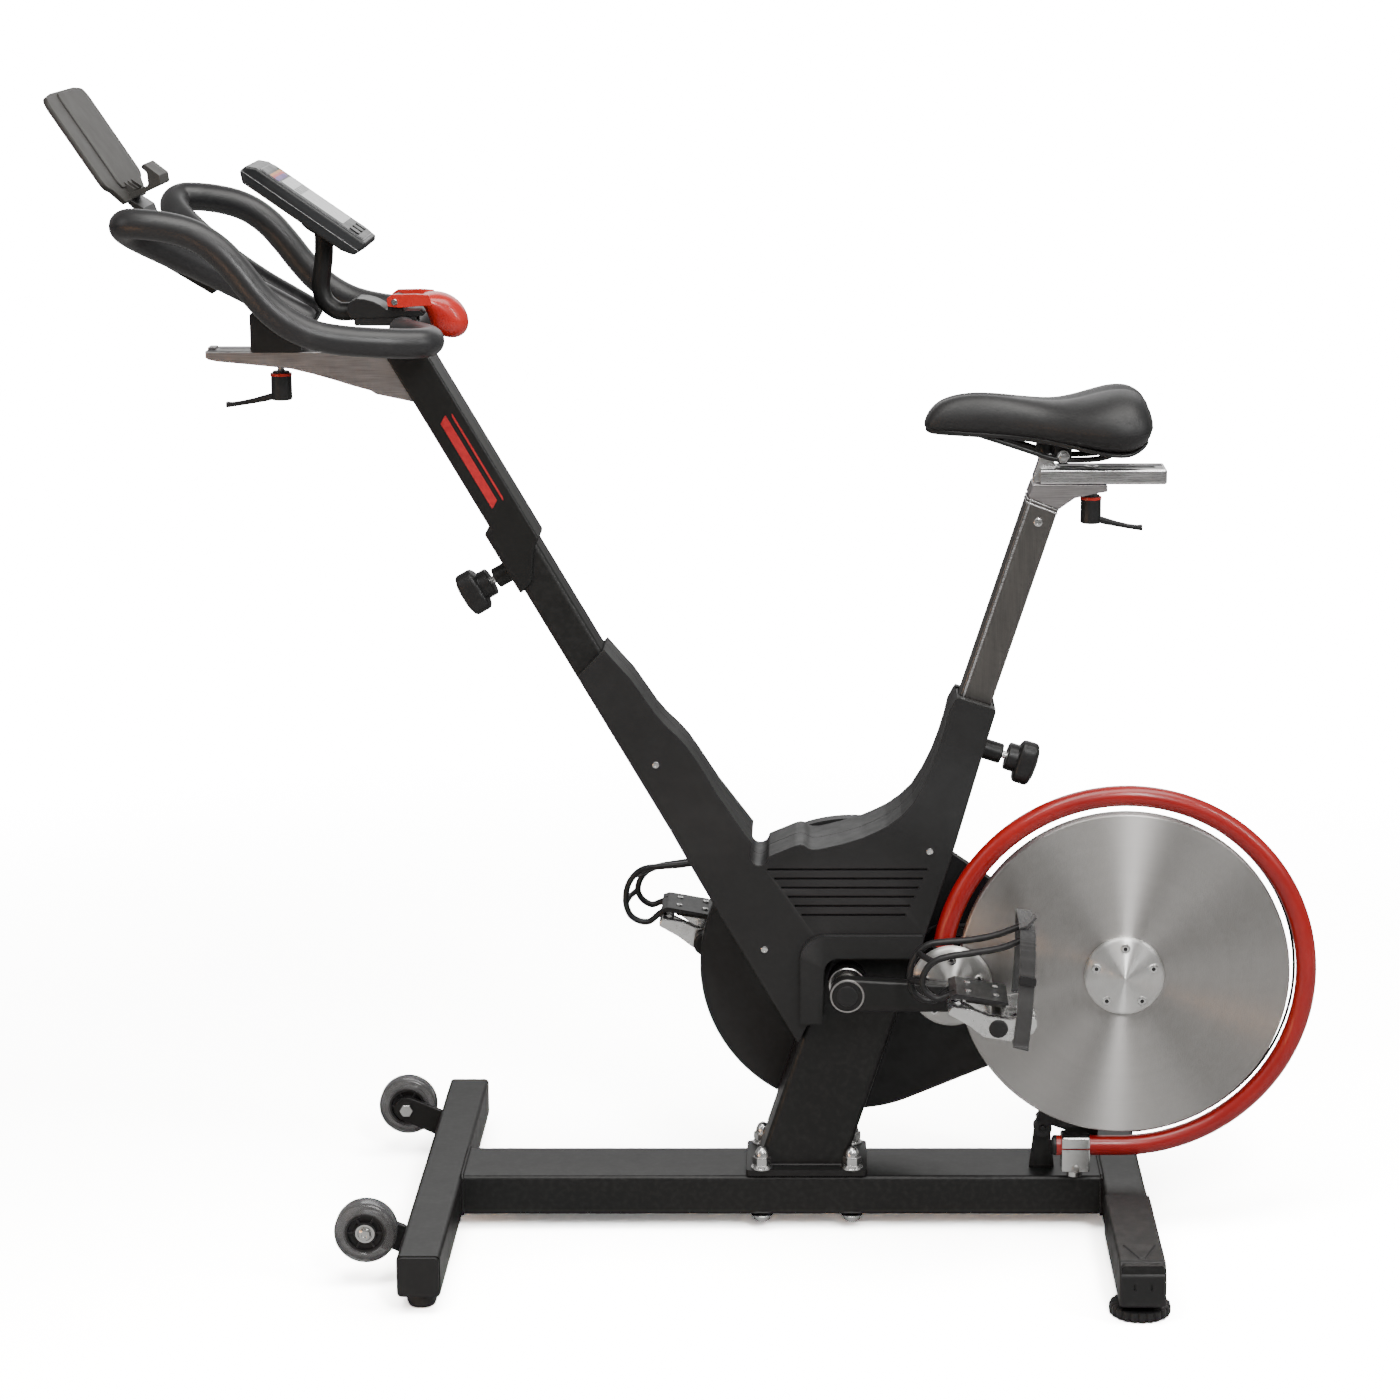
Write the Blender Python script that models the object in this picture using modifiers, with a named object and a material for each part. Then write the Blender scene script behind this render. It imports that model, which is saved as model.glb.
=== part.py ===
"""Indoor spin bike: base, frame, two-stage belt drive, flywheel, seat and handlebar.

Metres, +Z up. The floor is Z = 0 and the bike's mid-plane is Y = 0. The rider faces -X, so the
saddle and the flywheel are towards +X, and the rider's left is -Y. Names say left and right as
the rider would.
"""
import math

import bmesh
import bpy
from mathutils import Matrix, Vector

# ---------------------------------------------------------------- driving dimensions
GAP = 0.0003                        # air between touching pieces

FOOT_HEIGHT = 0.020                 # underside of the base above the floor
BAR = 0.049                         # square section of both cross bars
BASE_TOP = FOOT_HEIGHT + BAR
BEAM_HALF_WIDTH = 0.050
FRONT_BAR_X = -0.3155
FRONT_BAR_HALF = 0.2975
REAR_BAR_X = 0.493
REAR_BAR_HALF = 0.329
REAR_CAP_LENGTH = 0.216
CAP_PROUD = 0.0015                  # how far the rear end covers stand off the bar
WALL = 0.003

WHEEL_RADIUS = 0.036
WHEEL_WIDTH = 0.026
WHEEL_AXIS = (-0.384, 0.066)        # X and Z of the transport wheels
WHEEL_Y = 0.212

FLANGE_THICK = 0.008
BOLT_X = (0.065, 0.172)             # the four bolts that hold the post
BOLT_Y = 0.0425

MAST_ANGLE = math.radians(60)       # from the floor, leaning forward going up
SEAT_ANGLE = math.radians(72)       # from the floor, leaning back going up
MAST_FACES = (0.2080, 0.2497)       # front and rear faces, measured square to the mast
MAST_HALF = 0.0275
SLEEVE_FACES = (0.2127, 0.2555)
SLEEVE_HALF = 0.0325
POST_FACES = (0.033, 0.132)         # lower post, measured square to the seat line
POST_HALF = 0.035
SEAT_TUBE_FACES = (0.0780, 0.1226)
SEAT_TUBE_HALF = 0.0228
SEAT_POST_FACES = (0.0813, 0.1193)
SEAT_POST_HALF = 0.0195

CRANK_AXIS = (0.1655, 0.3095)
CRANK_LENGTH = 0.170
CRANK_TILT = math.radians(1.7)      # the left crank points back and this much down
CRANK_FACE = 0.102                  # outer face of each crank arm
CRANK_THICK = 0.020
IDLER_AXIS = (0.287, 0.311)
FLY_AXIS = (0.489, 0.322)
CRANK_PULLEY = 0.0900               # the two belt stages gear the crank up to the flywheel
IDLER_SMALL = 0.0200
IDLER_LARGE = 0.0415
FLY_PULLEY = 0.0225
FLY_RADIUS = 0.1936
FLY_FACE = -0.060                   # outer face of the flywheel
FLY_THICK = 0.020
GUARD_RADIUS = 0.2136
GUARD_TUBE = 0.0120
GUARD_Y = -0.050

COVER_HALF = 0.053
COVER_ARM_HALF = 0.036
COVER_WALL = 0.003

BAR_TUBE = 0.0165                   # handlebar radius over its rubber
KNOB_T = 0.7970                      # the lock knobs' places along the mast and the seat line
SEAT_KNOB_T = 0.6520


# ---------------------------------------------------------------- scene, materials, helpers
def clear_scene():
    for old in list(bpy.data.objects):
        bpy.data.objects.remove(old, do_unlink=True)


def new_collection(name):
    made = bpy.data.collections.new(name)
    bpy.context.scene.collection.children.link(made)
    return made


def material(name, colour, roughness, metallic=0.0):
    made = bpy.data.materials.new(name)
    made.use_nodes = True
    shader = made.node_tree.nodes["Principled BSDF"]
    shader.inputs["Base Color"].default_value = (*colour, 1.0)
    shader.inputs["Roughness"].default_value = roughness
    shader.inputs["Metallic"].default_value = metallic
    return made


def make(name, mesh, finish):
    """Link a mesh to the bike's collection as one sub-part."""
    obj = bpy.data.objects.new(name, mesh)
    obj.data.materials.append(finish)
    BIKE.objects.link(obj)
    return obj


def from_bmesh(name, bm, finish, smooth=False):
    bmesh.ops.recalc_face_normals(bm, faces=bm.faces)
    mesh = bpy.data.meshes.new(name)
    bm.to_mesh(mesh)
    bm.free()
    if smooth:
        mesh.shade_smooth()
        mesh.set_sharp_from_angle(angle=math.radians(35))
    return make(name, mesh, finish)


def prism(name, outline, y_low, y_high, finish):
    """A flat outline of (x, z) points, extruded along Y."""
    bm = bmesh.new()
    face = bm.faces.new([bm.verts.new((x, y_low, z)) for x, z in outline])
    grown = bmesh.ops.extrude_face_region(bm, geom=[face])
    moved = [v for v in grown["geom"] if isinstance(v, bmesh.types.BMVert)]
    bmesh.ops.translate(bm, verts=moved, vec=(0, y_high - y_low, 0))
    return from_bmesh(name, bm, finish)


def box(name, low, high, finish):
    bm = bmesh.new()
    bmesh.ops.create_cube(bm, size=1.0)
    size = [b - a for a, b in zip(low, high)]
    middle = [(a + b) / 2 for a, b in zip(low, high)]
    bmesh.ops.scale(bm, verts=bm.verts, vec=size)
    bmesh.ops.translate(bm, verts=bm.verts, vec=middle)
    return from_bmesh(name, bm, finish)


def rod(name, start, end, radius, finish, sides=24, end_radius=None):
    """A cylinder or cone between two points."""
    start, end = Vector(start), Vector(end)
    bm = bmesh.new()
    turn = (end - start).to_track_quat("Z", "Y").to_matrix().to_4x4()
    place_at = Matrix.Translation((start + end) / 2) @ turn
    bmesh.ops.create_cone(bm, cap_ends=True, segments=sides, radius1=radius,
                          radius2=radius if end_radius is None else end_radius,
                          depth=(end - start).length, matrix=place_at)
    return from_bmesh(name, bm, finish, smooth=True)


def turned(name, profile, axis_point, axis, finish, steps=32):
    """Turn a (radius, height) profile about an axis, with a Screw modifier.

    The profile runs down its outer side first, top to bottom, then closes on itself.
    """
    mesh = bpy.data.meshes.new(name)
    points = [(r, 0, h) for r, h in profile]
    edges = [(i, (i + 1) % len(points)) for i in range(len(points))]
    if profile[0][0] == 0 and profile[-1][0] == 0:
        edges.pop()
    mesh.from_pydata(points, edges, [])
    obj = make(name, mesh, finish)
    obj.location = axis_point
    obj.rotation_mode = "QUATERNION"
    obj.rotation_quaternion = Vector(axis).to_track_quat("Z", "Y")
    screw = obj.modifiers.new("turn", "SCREW")
    screw.steps = steps
    screw.render_steps = steps
    screw.use_merge_vertices = True
    screw.merge_threshold = 0.00001
    screw.use_smooth_shade = True
    return obj


def tube(name, points, radius, finish, sides=3, closed=False):
    """A bent tube: a curve object with a round bevel and filled caps."""
    curve = bpy.data.curves.new(name, "CURVE")
    curve.dimensions = "3D"
    curve.bevel_depth = radius
    curve.bevel_resolution = sides
    curve.use_fill_caps = True
    spline = curve.splines.new("POLY")
    spline.points.add(len(points) - 1)
    for point, place_at in zip(spline.points, points):
        point.co = (*place_at, 1.0)
    spline.use_cyclic_u = closed
    return make(name, curve, finish)


def as_mesh(obj):
    """Replace a curve object by its welded mesh, so that it can be cut."""
    bpy.context.view_layer.update()
    seen = obj.evaluated_get(bpy.context.evaluated_depsgraph_get())
    mesh = bpy.data.meshes.new_from_object(seen)
    bm = bmesh.new()
    bm.from_mesh(mesh)
    bmesh.ops.remove_doubles(bm, verts=bm.verts, dist=0.00001)
    bm.to_mesh(mesh)
    bm.free()
    name = obj.name
    finish = obj.data.materials[0]
    world = obj.matrix_world.copy()
    bpy.data.objects.remove(obj)
    mesh.materials.clear()
    solid = make(name, mesh, finish)
    solid.name = name
    solid.matrix_world = world
    return solid


def tool(obj):
    """Turn a solid into a hidden cutter."""
    for home in list(obj.users_collection):
        home.objects.unlink(obj)
    CUTTERS.objects.link(obj)
    obj.hide_render = True
    obj.display_type = "WIRE"
    return obj


def combine(obj, other, operation):
    step = obj.modifiers.new(operation.lower(), "BOOLEAN")
    step.operation = operation
    step.solver = "EXACT"
    step.object = tool(other)
    return obj


def cut(obj, *others):
    for other in others:
        combine(obj, other, "DIFFERENCE")
    return obj


def join(obj, *others):
    for other in others:
        combine(obj, other, "UNION")
    return obj


def round_edges(obj, width, segments=2, angle=40):
    bevel = obj.modifiers.new("round", "BEVEL")
    bevel.width = width
    bevel.segments = segments
    bevel.limit_method = "ANGLE"
    bevel.angle_limit = math.radians(angle)
    return obj


def arc(centre, radius, start, end, count):
    """Points on an arc in the X-Z plane; angles in degrees, counted from +X towards +Z."""
    out = []
    for i in range(count + 1):
        a = math.radians(start + (end - start) * i / count)
        out.append((centre[0] + radius * math.cos(a), centre[1] + radius * math.sin(a)))
    return out


def smooth_path(points, per_span=6, closed=False):
    """A Catmull-Rom curve through the points."""
    count = len(points)
    spans = count if closed else count - 1
    pick = (lambda i: Vector(points[i % count])) if closed else (
        lambda i: Vector(points[min(max(i, 0), count - 1)]))
    out = []
    for i in range(spans):
        a, b, c, d = pick(i - 1), pick(i), pick(i + 1), pick(i + 2)
        for k in range(per_span):
            t = k / per_span
            out.append(0.5 * (2 * b + (c - a) * t + (2 * a - 5 * b + 4 * c - d) * t * t
                              + (3 * b - a - 3 * c + d) * t ** 3))
    if not closed:
        out.append(Vector(points[-1]))
    return out


class Lean:
    """A straight line of tubes in the X-Z plane: t runs up along it, o runs square to it."""

    def __init__(self, up, square):
        self.up, self.square = up, square

    def at(self, t, o):
        return (t * self.up[0] + o * self.square[0], t * self.up[1] + o * self.square[1])

    def at3(self, t, y, o):
        x, z = self.at(t, o)
        return (x, y, z)

    def strip(self, t_low, t_high, faces, grow=0.0):
        low, high = faces[0] - grow, faces[1] + grow
        return [self.at(t_low, low), self.at(t_high, low), self.at(t_high, high), self.at(t_low, high)]

    def level(self, o, z):
        """The point at height z on the line of constant o."""
        return self.at((z - o * self.square[1]) / self.up[1], o)

    def meet(self, o, other, other_o):
        """The point on this line's o that also lies on the other line's o."""
        a, b = self.square, other.square
        det = a[0] * b[1] - a[1] * b[0]
        return ((o * b[1] - other_o * a[1]) / det, (a[0] * other_o - b[0] * o) / det)


MAST = Lean((-math.cos(MAST_ANGLE), math.sin(MAST_ANGLE)), (math.sin(MAST_ANGLE), math.cos(MAST_ANGLE)))
SEAT = Lean((math.cos(SEAT_ANGLE), math.sin(SEAT_ANGLE)), (math.sin(SEAT_ANGLE), -math.cos(SEAT_ANGLE)))


def side_name(side):
    return "left" if side < 0 else "right"


# ---------------------------------------------------------------- base
def build_base():
    z_low, z_high = FOOT_HEIGHT, BASE_TOP
    for name, x, half in (("front_crossbar", FRONT_BAR_X, FRONT_BAR_HALF),
                          ("rear_crossbar", REAR_BAR_X, REAR_BAR_HALF - CAP_PROUD - GAP)):
        bar = box(name, (x - BAR / 2, -half, z_low), (x + BAR / 2, half, z_high), BLACK)
        inner = box(name + "_bore", (x - BAR / 2 + WALL, -half - 0.01, z_low + WALL),
                    (x + BAR / 2 - WALL, half + 0.01, z_high - WALL), BLACK)
        cut(bar, inner)
    start = FRONT_BAR_X + BAR / 2 + GAP
    end = REAR_BAR_X - BAR / 2 - GAP
    beam = box("base_beam", (start, -BEAM_HALF_WIDTH, z_low), (end, BEAM_HALF_WIDTH, z_high), BLACK)
    inner = box("beam_bore", (start - 0.01, -BEAM_HALF_WIDTH + WALL, z_low + WALL),
                (end + 0.01, BEAM_HALF_WIDTH - WALL, z_high - WALL), BLACK)
    cut(beam, inner)
    for side in (-1, 1):
        build_rear_cap(side)
        build_foot(side)
        build_transport_wheel(side)


def build_rear_cap(side):
    """A moulded cover over the end of the rear bar, with a ramped nose."""
    name = "rear_end_cover_" + side_name(side)
    y_out = side * REAR_BAR_HALF
    y_in = side * (REAR_BAR_HALF - REAR_CAP_LENGTH)
    low_y, high_y = min(y_out, y_in), max(y_out, y_in)
    half = BAR / 2 + CAP_PROUD
    cap = box(name, (REAR_BAR_X - half, low_y, FOOT_HEIGHT + 0.001),
              (REAR_BAR_X + half, high_y, BASE_TOP + CAP_PROUD), BLACK)
    reach = side * 0.05
    inner_low = min(y_in - reach, y_out - side * CAP_PROUD)
    inner_high = max(y_in - reach, y_out - side * CAP_PROUD)
    inner = box(name + "_bore", (REAR_BAR_X - BAR / 2 - GAP, inner_low, 0.0),
                (REAR_BAR_X + BAR / 2 + GAP, inner_high, BASE_TOP + GAP), BLACK)
    cut(cap, inner)


def build_foot(side):
    """Fixed rubber foot under the front bar, serrated levelling foot under the rear bar."""
    y_front = side * (FRONT_BAR_HALF - 0.030)
    turned("front_foot_" + side_name(side),
           [(0, FOOT_HEIGHT - GAP), (0.017, FOOT_HEIGHT - GAP), (0.017, 0.006), (0.015, 0), (0, 0)],
           (FRONT_BAR_X, y_front, 0), (0, 0, 1), RUBBER, steps=20)
    y_rear = side * (REAR_BAR_HALF - 0.036)
    teeth = 20
    bm = bmesh.new()
    outline = []
    for i in range(teeth * 2):
        radius = 0.0350 if i % 2 else 0.0325
        a = math.pi * i / teeth
        outline.append(bm.verts.new((REAR_BAR_X + radius * math.cos(a), y_rear + radius * math.sin(a), 0)))
    face = bm.faces.new(outline)
    grown = bmesh.ops.extrude_face_region(bm, geom=[face])
    moved = [v for v in grown["geom"] if isinstance(v, bmesh.types.BMVert)]
    bmesh.ops.translate(bm, verts=moved, vec=(0, 0, 0.013))
    foot = from_bmesh("levelling_foot_" + side_name(side), bm, RUBBER)
    neck = rod("foot_neck", (REAR_BAR_X, y_rear, 0.010), (REAR_BAR_X, y_rear, FOOT_HEIGHT - GAP), 0.012, RUBBER)
    join(foot, neck)


def build_transport_wheel(side):
    """A bracket welded to the front bar, with the wheel outboard of it."""
    x, z = WHEEL_AXIS
    y = side * WHEEL_Y
    tag = side_name(side)
    hub_face = y - side * (WHEEL_WIDTH / 2 + 0.0010)
    plate = 0.008
    bar_face = FRONT_BAR_X - BAR / 2 - GAP
    outline = ([(bar_face, 0.030), (bar_face, 0.062)] + arc(WHEEL_AXIS, 0.017, 60, 250, 8))
    lo, hi = sorted((hub_face, hub_face - side * plate))
    bracket = prism("wheel_bracket_" + tag, outline, lo, hi, BLACK)
    pin_end = y + side * (WHEEL_WIDTH / 2 + 0.004)
    pin = rod("wheel_pin", (x, hub_face - side * 0.004, z), (x, pin_end, z), 0.0050, STEEL, 16)
    join(bracket, pin)
    half = WHEEL_WIDTH / 2
    rim = WHEEL_RADIUS
    turned("transport_wheel_" + tag,
           [(rim - 0.006, half), (rim, half - 0.006), (rim, 0.006 - half), (rim - 0.006, -half),
            (0.0053, -half), (0.0053, half)], (x, y, z), (0, 1, 0), TYRE, steps=28)


# ---------------------------------------------------------------- frame
def build_frame():
    flange_top = BASE_TOP + GAP + FLANGE_THICK
    flange = box("post_flange", (0.046, -0.052, BASE_TOP + GAP), (0.190, 0.052, flange_top), BLACK)

    post_top = 0.410
    z_weld = flange_top - 0.001
    front, rear = POST_FACES
    outline = [SEAT.level(front, z_weld), SEAT.at(post_top, front), SEAT.at(post_top, rear),
               SEAT.level(rear, z_weld)]
    post = prism("lower_post", outline, -POST_HALF, POST_HALF, BLACK)
    inner = prism("post_bore", SEAT.strip(0.0, post_top + 0.05, (front + WALL, rear - WALL)),
                  -POST_HALF + WALL, POST_HALF - WALL, BLACK)
    x, z = CRANK_AXIS
    shell_radius = 0.0215
    join(post, flange)
    cut(post, inner, rod("shell_hole", (x, -0.1, z), (x, 0.1, z), shell_radius + GAP, BLACK, 32))

    shell = rod("crank_bearing_shell", (x, -0.0575, z), (x, 0.0535, z), shell_radius, BLACK, 32)
    cut(shell, rod("shell_bore", (x, -0.1, z), (x, 0.1, z), 0.0130, BLACK, 32))

    low, high = MAST_FACES
    mast_top = 0.8537
    weld = POST_FACES[0] - GAP
    outline = [MAST.meet(low, SEAT, weld), MAST.at(mast_top, low), MAST.at(mast_top, high),
               MAST.meet(high, SEAT, weld)]
    mast = prism("mast_tube", outline, -MAST_HALF, MAST_HALF, BLACK)
    cut(mast, prism("mast_bore", MAST.strip(0.0, mast_top + 0.05, (low + WALL, high - WALL)),
                    -MAST_HALF + WALL, MAST_HALF - WALL, BLACK))

    seat_low, seat_high = post_top + GAP, 0.706
    seat = prism("seat_tube", SEAT.strip(seat_low, seat_high, SEAT_TUBE_FACES),
                 -SEAT_TUBE_HALF, SEAT_TUBE_HALF, BLACK)
    boss = rod("seat_boss", SEAT.at3(SEAT_KNOB_T, 0, 0.115), SEAT.at3(SEAT_KNOB_T, 0, 0.1515), 0.0120, BLACK)
    join(seat, boss)
    bore = prism("seat_tube_bore", SEAT.strip(0.3, 0.8, (SEAT_POST_FACES[0] - 0.0008, SEAT_POST_FACES[1] + 0.0008)),
                 -SEAT_POST_HALF - 0.0008, SEAT_POST_HALF + 0.0008, BLACK)
    pin_hole = rod("seat_pin_hole", SEAT.at3(SEAT_KNOB_T, 0, 0.110), SEAT.at3(SEAT_KNOB_T, 0, 0.160), 0.0048, BLACK, 16)
    cut(seat, bore, pin_hole)
    build_stay()


def build_stay():
    """The arm behind the post that carries the idler shaft and the flywheel axle."""
    root_low = SEAT.level(POST_FACES[1] + GAP, 0.272)
    root_high = SEAT.level(POST_FACES[1] + GAP, 0.338)
    outline = ([root_low] + arc(FLY_AXIS, 0.028, -100, 95, 12)
               + [(0.330, 0.349)] + arc((0.2795, 0.3475), 0.014, 60, 150, 4) + [root_high])
    stay = prism("rear_stay", outline, -0.017, 0.017, BLACK)
    lug = rod("guard_lug", (0.2795, 0.0, 0.3475), (0.2795, GUARD_Y + GUARD_TUBE + GAP + 0.0002, 0.3475), 0.009, BLACK)
    join(stay, lug)
    for (x, z), radius in ((IDLER_AXIS, 0.0078), (FLY_AXIS, 0.0093)):
        cut(stay, rod("stay_bore", (x, -0.1, z), (x, 0.1, z), radius, BLACK, 24))


# ---------------------------------------------------------------- covers
def cover_outline():
    """Side outline of the two moulded frame covers, clockwise from the mast arm's tip."""
    arm = [MAST.at(0.655, 0.2120), MAST.at(0.668, 0.2545), MAST.at(0.641, 0.2590), MAST.at(0.604, 0.2643),
           MAST.at(0.560, 0.2680), MAST.at(0.535, 0.2755), MAST.at(0.515, 0.2783), MAST.at(0.387, 0.2868)]
    notch = [(0.054, 0.463)] + arc((0.063, 0.4626), 0.0100, 180, 360, 6) + [(0.0745, 0.4640)]
    ramp = [(0.105, 0.4765), (0.116, 0.4770), (0.121, 0.4725)]
    saddle_curve = [(0.1376, 0.4735), (0.1826, 0.4857), (0.2130, 0.5003), (0.2415, 0.5255),
                    (0.2645, 0.5700), (0.2790, 0.6150)]
    seat_arm = [SEAT.at(0.708, 0.0770), SEAT.at(0.708, 0.1252), SEAT.at(0.640, 0.1275),
                SEAT.at(0.530, 0.1297), (0.2535, 0.353)]
    hood = [(0.247, 0.342), (0.156, 0.342), (0.145, 0.336), (0.1390, 0.325), (0.1363, 0.262), (0.1188, 0.257)]
    tip = [MAST.at(0.150, 0.2120)]
    return arm + notch + ramp + saddle_curve + seat_arm + hood + tip


def cover_half_width(x, z):
    """Half width of the covers: widest over the crank, slimmer up both arms."""
    t_mast = x * MAST.up[0] + z * MAST.up[1]
    t_seat = x * SEAT.up[0] + z * SEAT.up[1]
    fade = 0.0
    if x < 0.10:
        fade = min(max((t_mast - 0.36) / 0.15, 0.0), 1.0)
    elif x > 0.17:
        fade = min(max((t_seat - 0.52) / 0.15, 0.0), 1.0)
    return COVER_HALF + (COVER_ARM_HALF - COVER_HALF) * fade


def inset(outline, depth):
    """The outline moved inwards by a wall's thickness; the outline runs clockwise seen from -Y."""
    out = []
    count = len(outline)
    for i in range(count):
        here = Vector(outline[i])
        before = (here - Vector(outline[i - 1])).normalized()
        after = (Vector(outline[(i + 1) % count]) - here).normalized()
        n1, n2 = Vector((before.y, -before.x)), Vector((after.y, -after.x))
        middle = (n1 + n2).normalized()
        out.append(tuple(here + middle * depth / max(middle.dot(n1), 0.5)))
    return out


def cover_block(name, outline, side, y_from, thinner):
    """A solid half of the cover, from the seam out to its half width less a wall."""
    bm = bmesh.new()
    bm.faces.new([bm.verts.new((x, y_from, z)) for x, z in outline])
    for line, t, reach in ((MAST, 0.36, -1), (MAST, 0.51, -1), (SEAT, 0.52, 1), (SEAT, 0.67, 1)):
        x, z = line.at(t, 0.24 if line is MAST else 0.10)
        chosen = [f for f in bm.faces if reach * (f.calc_center_median().x - 0.14) > -0.08]
        geom = set(chosen)
        for f in chosen:
            geom.update(f.edges)
            geom.update(f.verts)
        bmesh.ops.bisect_plane(bm, geom=list(geom), plane_co=(x, 0, z), plane_no=(line.up[0], 0, line.up[1]))
    grown = bmesh.ops.extrude_face_region(bm, geom=list(bm.faces))
    for v in (g for g in grown["geom"] if isinstance(g, bmesh.types.BMVert)):
        v.co.y = side * (cover_half_width(v.co.x, v.co.z) - thinner)
    bmesh.ops.triangulate(bm, faces=bm.faces)
    return from_bmesh(name, bm, COVER)


def build_cover(side):
    """One moulded shell: a solid half, the ways for the tubes it wraps, and its hollow."""
    shell = cover_block("frame_cover_" + side_name(side), cover_outline(), side, side * GAP / 2, 0.0)
    hollow = cover_block("cover_hollow", inset(cover_outline(), COVER_WALL), side, -side * 0.004, COVER_WALL)
    clear = 0.0008
    cut(shell,
        prism("mast_way", MAST.strip(0.10, 0.75, MAST_FACES, clear), -MAST_HALF - clear, MAST_HALF + clear, BLACK),
        prism("post_way", SEAT.strip(0.10, 0.415, POST_FACES, clear), -POST_HALF - clear, POST_HALF + clear, BLACK),
        prism("tube_way", SEAT.strip(0.40, 0.80, SEAT_TUBE_FACES, clear),
              -SEAT_TUBE_HALF - clear, SEAT_TUBE_HALF + clear, BLACK),
        rod("boss_way", SEAT.at3(SEAT_KNOB_T, 0, 0.115), SEAT.at3(SEAT_KNOB_T, 0, 0.160), 0.0140, BLACK),
        hollow)


def build_belt_guard():
    """The black guard on the right-hand side: a dished pan over the belt and its pulleys."""
    centre = (0.172, 0.298)
    outline = (arc(centre, 0.182, -67, -309, 30) + [(0.3411, 0.4013), (0.400, 0.3900)]
               + arc((0.489, 0.315), 0.075, 88, -67, 12))
    y_low, y_high = 0.0560, 0.0795
    guard = prism("belt_guard", outline, y_low, y_high, COVER)
    inside = (arc(centre, 0.180, -67, -309, 30) + [(0.3398, 0.3990), (0.400, 0.3880)]
              + arc((0.489, 0.315), 0.073, 88, -67, 12))
    cavity = prism("guard_cavity", inside, y_low + 0.002, y_high - 0.002, COVER)
    x, z = CRANK_AXIS
    crank_hole = rod("guard_crank_hole", (x, 0.03, z), (x, 0.1, z), 0.0255, COVER, 32)
    idler_hole = rod("guard_idler_hole", (IDLER_AXIS[0], 0.04, IDLER_AXIS[1]),
                     (IDLER_AXIS[0], 0.066, IDLER_AXIS[1]), 0.012, COVER, 24)
    cut(guard, cavity, crank_hole, idler_hole)


# ---------------------------------------------------------------- drive
def belt(name, first, first_radius, second, second_radius, y_low, y_high):
    """An open belt round two pulleys."""
    thick = 0.0022
    ends = []
    for extra in (thick, 0.0):
        r1, r2 = first_radius + GAP + extra, second_radius + GAP + extra
        dx, dz = second[0] - first[0], second[1] - first[1]
        reach = math.hypot(dx, dz)
        slope = math.degrees(math.atan2(dz, dx))
        wrap = math.degrees(math.acos((r1 - r2) / reach))
        ends.append(arc(first, r1, slope + wrap, slope + 360 - wrap, 30)
                    + arc(second, r2, slope - wrap, slope + wrap, 14))
    loop = prism(name, ends[0], y_low, y_high, RUBBER)
    cut(loop, prism(name + "_inside", ends[1], y_low - 0.01, y_high + 0.01, RUBBER))


def wheel_profile(radius, bore, width, web, rim, hub):
    """Half section of a dished pulley: rim, thinner web and hub, centred on its own middle."""
    w, c = width / 2, web / 2
    return [(radius, w), (radius, -w), (radius - rim, -w), (radius - rim - 0.002, -c), (hub + 0.002, -c),
            (hub, -w), (bore, -w), (bore, w), (hub, w), (hub + 0.002, c), (radius - rim - 0.002, c),
            (radius - rim, w)]


def build_crank():
    x, z = CRANK_AXIS
    inner = CRANK_FACE - CRANK_THICK
    axle = rod("crank_axle", (x, -inner + GAP, z), (x, inner - GAP, z), 0.0125, STEEL)
    axle.data.shade_smooth()
    turned("crank_pulley", wheel_profile(CRANK_PULLEY, 0.0128, 0.0130, 0.005, 0.008, 0.022),
           (x, 0.0680, z), (0, 1, 0), ALUMINIUM, steps=32)
    for side in (-1, 1):
        tip = (x - side * CRANK_LENGTH * math.cos(CRANK_TILT), z + side * CRANK_LENGTH * math.sin(CRANK_TILT))
        lo, hi = sorted((side * inner, side * CRANK_FACE))
        angle = math.degrees(math.atan2(tip[1] - z, tip[0] - x))
        outline = arc((x, z), 0.0200, angle + 95, angle + 265, 12) + arc(tip, 0.0145, angle - 85, angle + 85, 10)
        arm = prism("crank_arm_" + side_name(side), outline, lo, hi, BLACK)
        round_edges(arm, 0.003, 1)
        boss = rod("crank_boss", (x, side * (inner - 0.006), z), (x, side * (inner + 0.002), z), 0.0180, BLACK)
        join(arm, boss)
        cut(arm, rod("axle_seat", (x, side * (inner - 0.02), z), (x, side * (inner + GAP), z), 0.0128, BLACK),
            rod("spindle_hole", (tip[0], side * 0.07, tip[1]), (tip[0], side * 0.12, tip[1]), 0.0067, BLACK, 20))
        build_pedal(side, tip)


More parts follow.
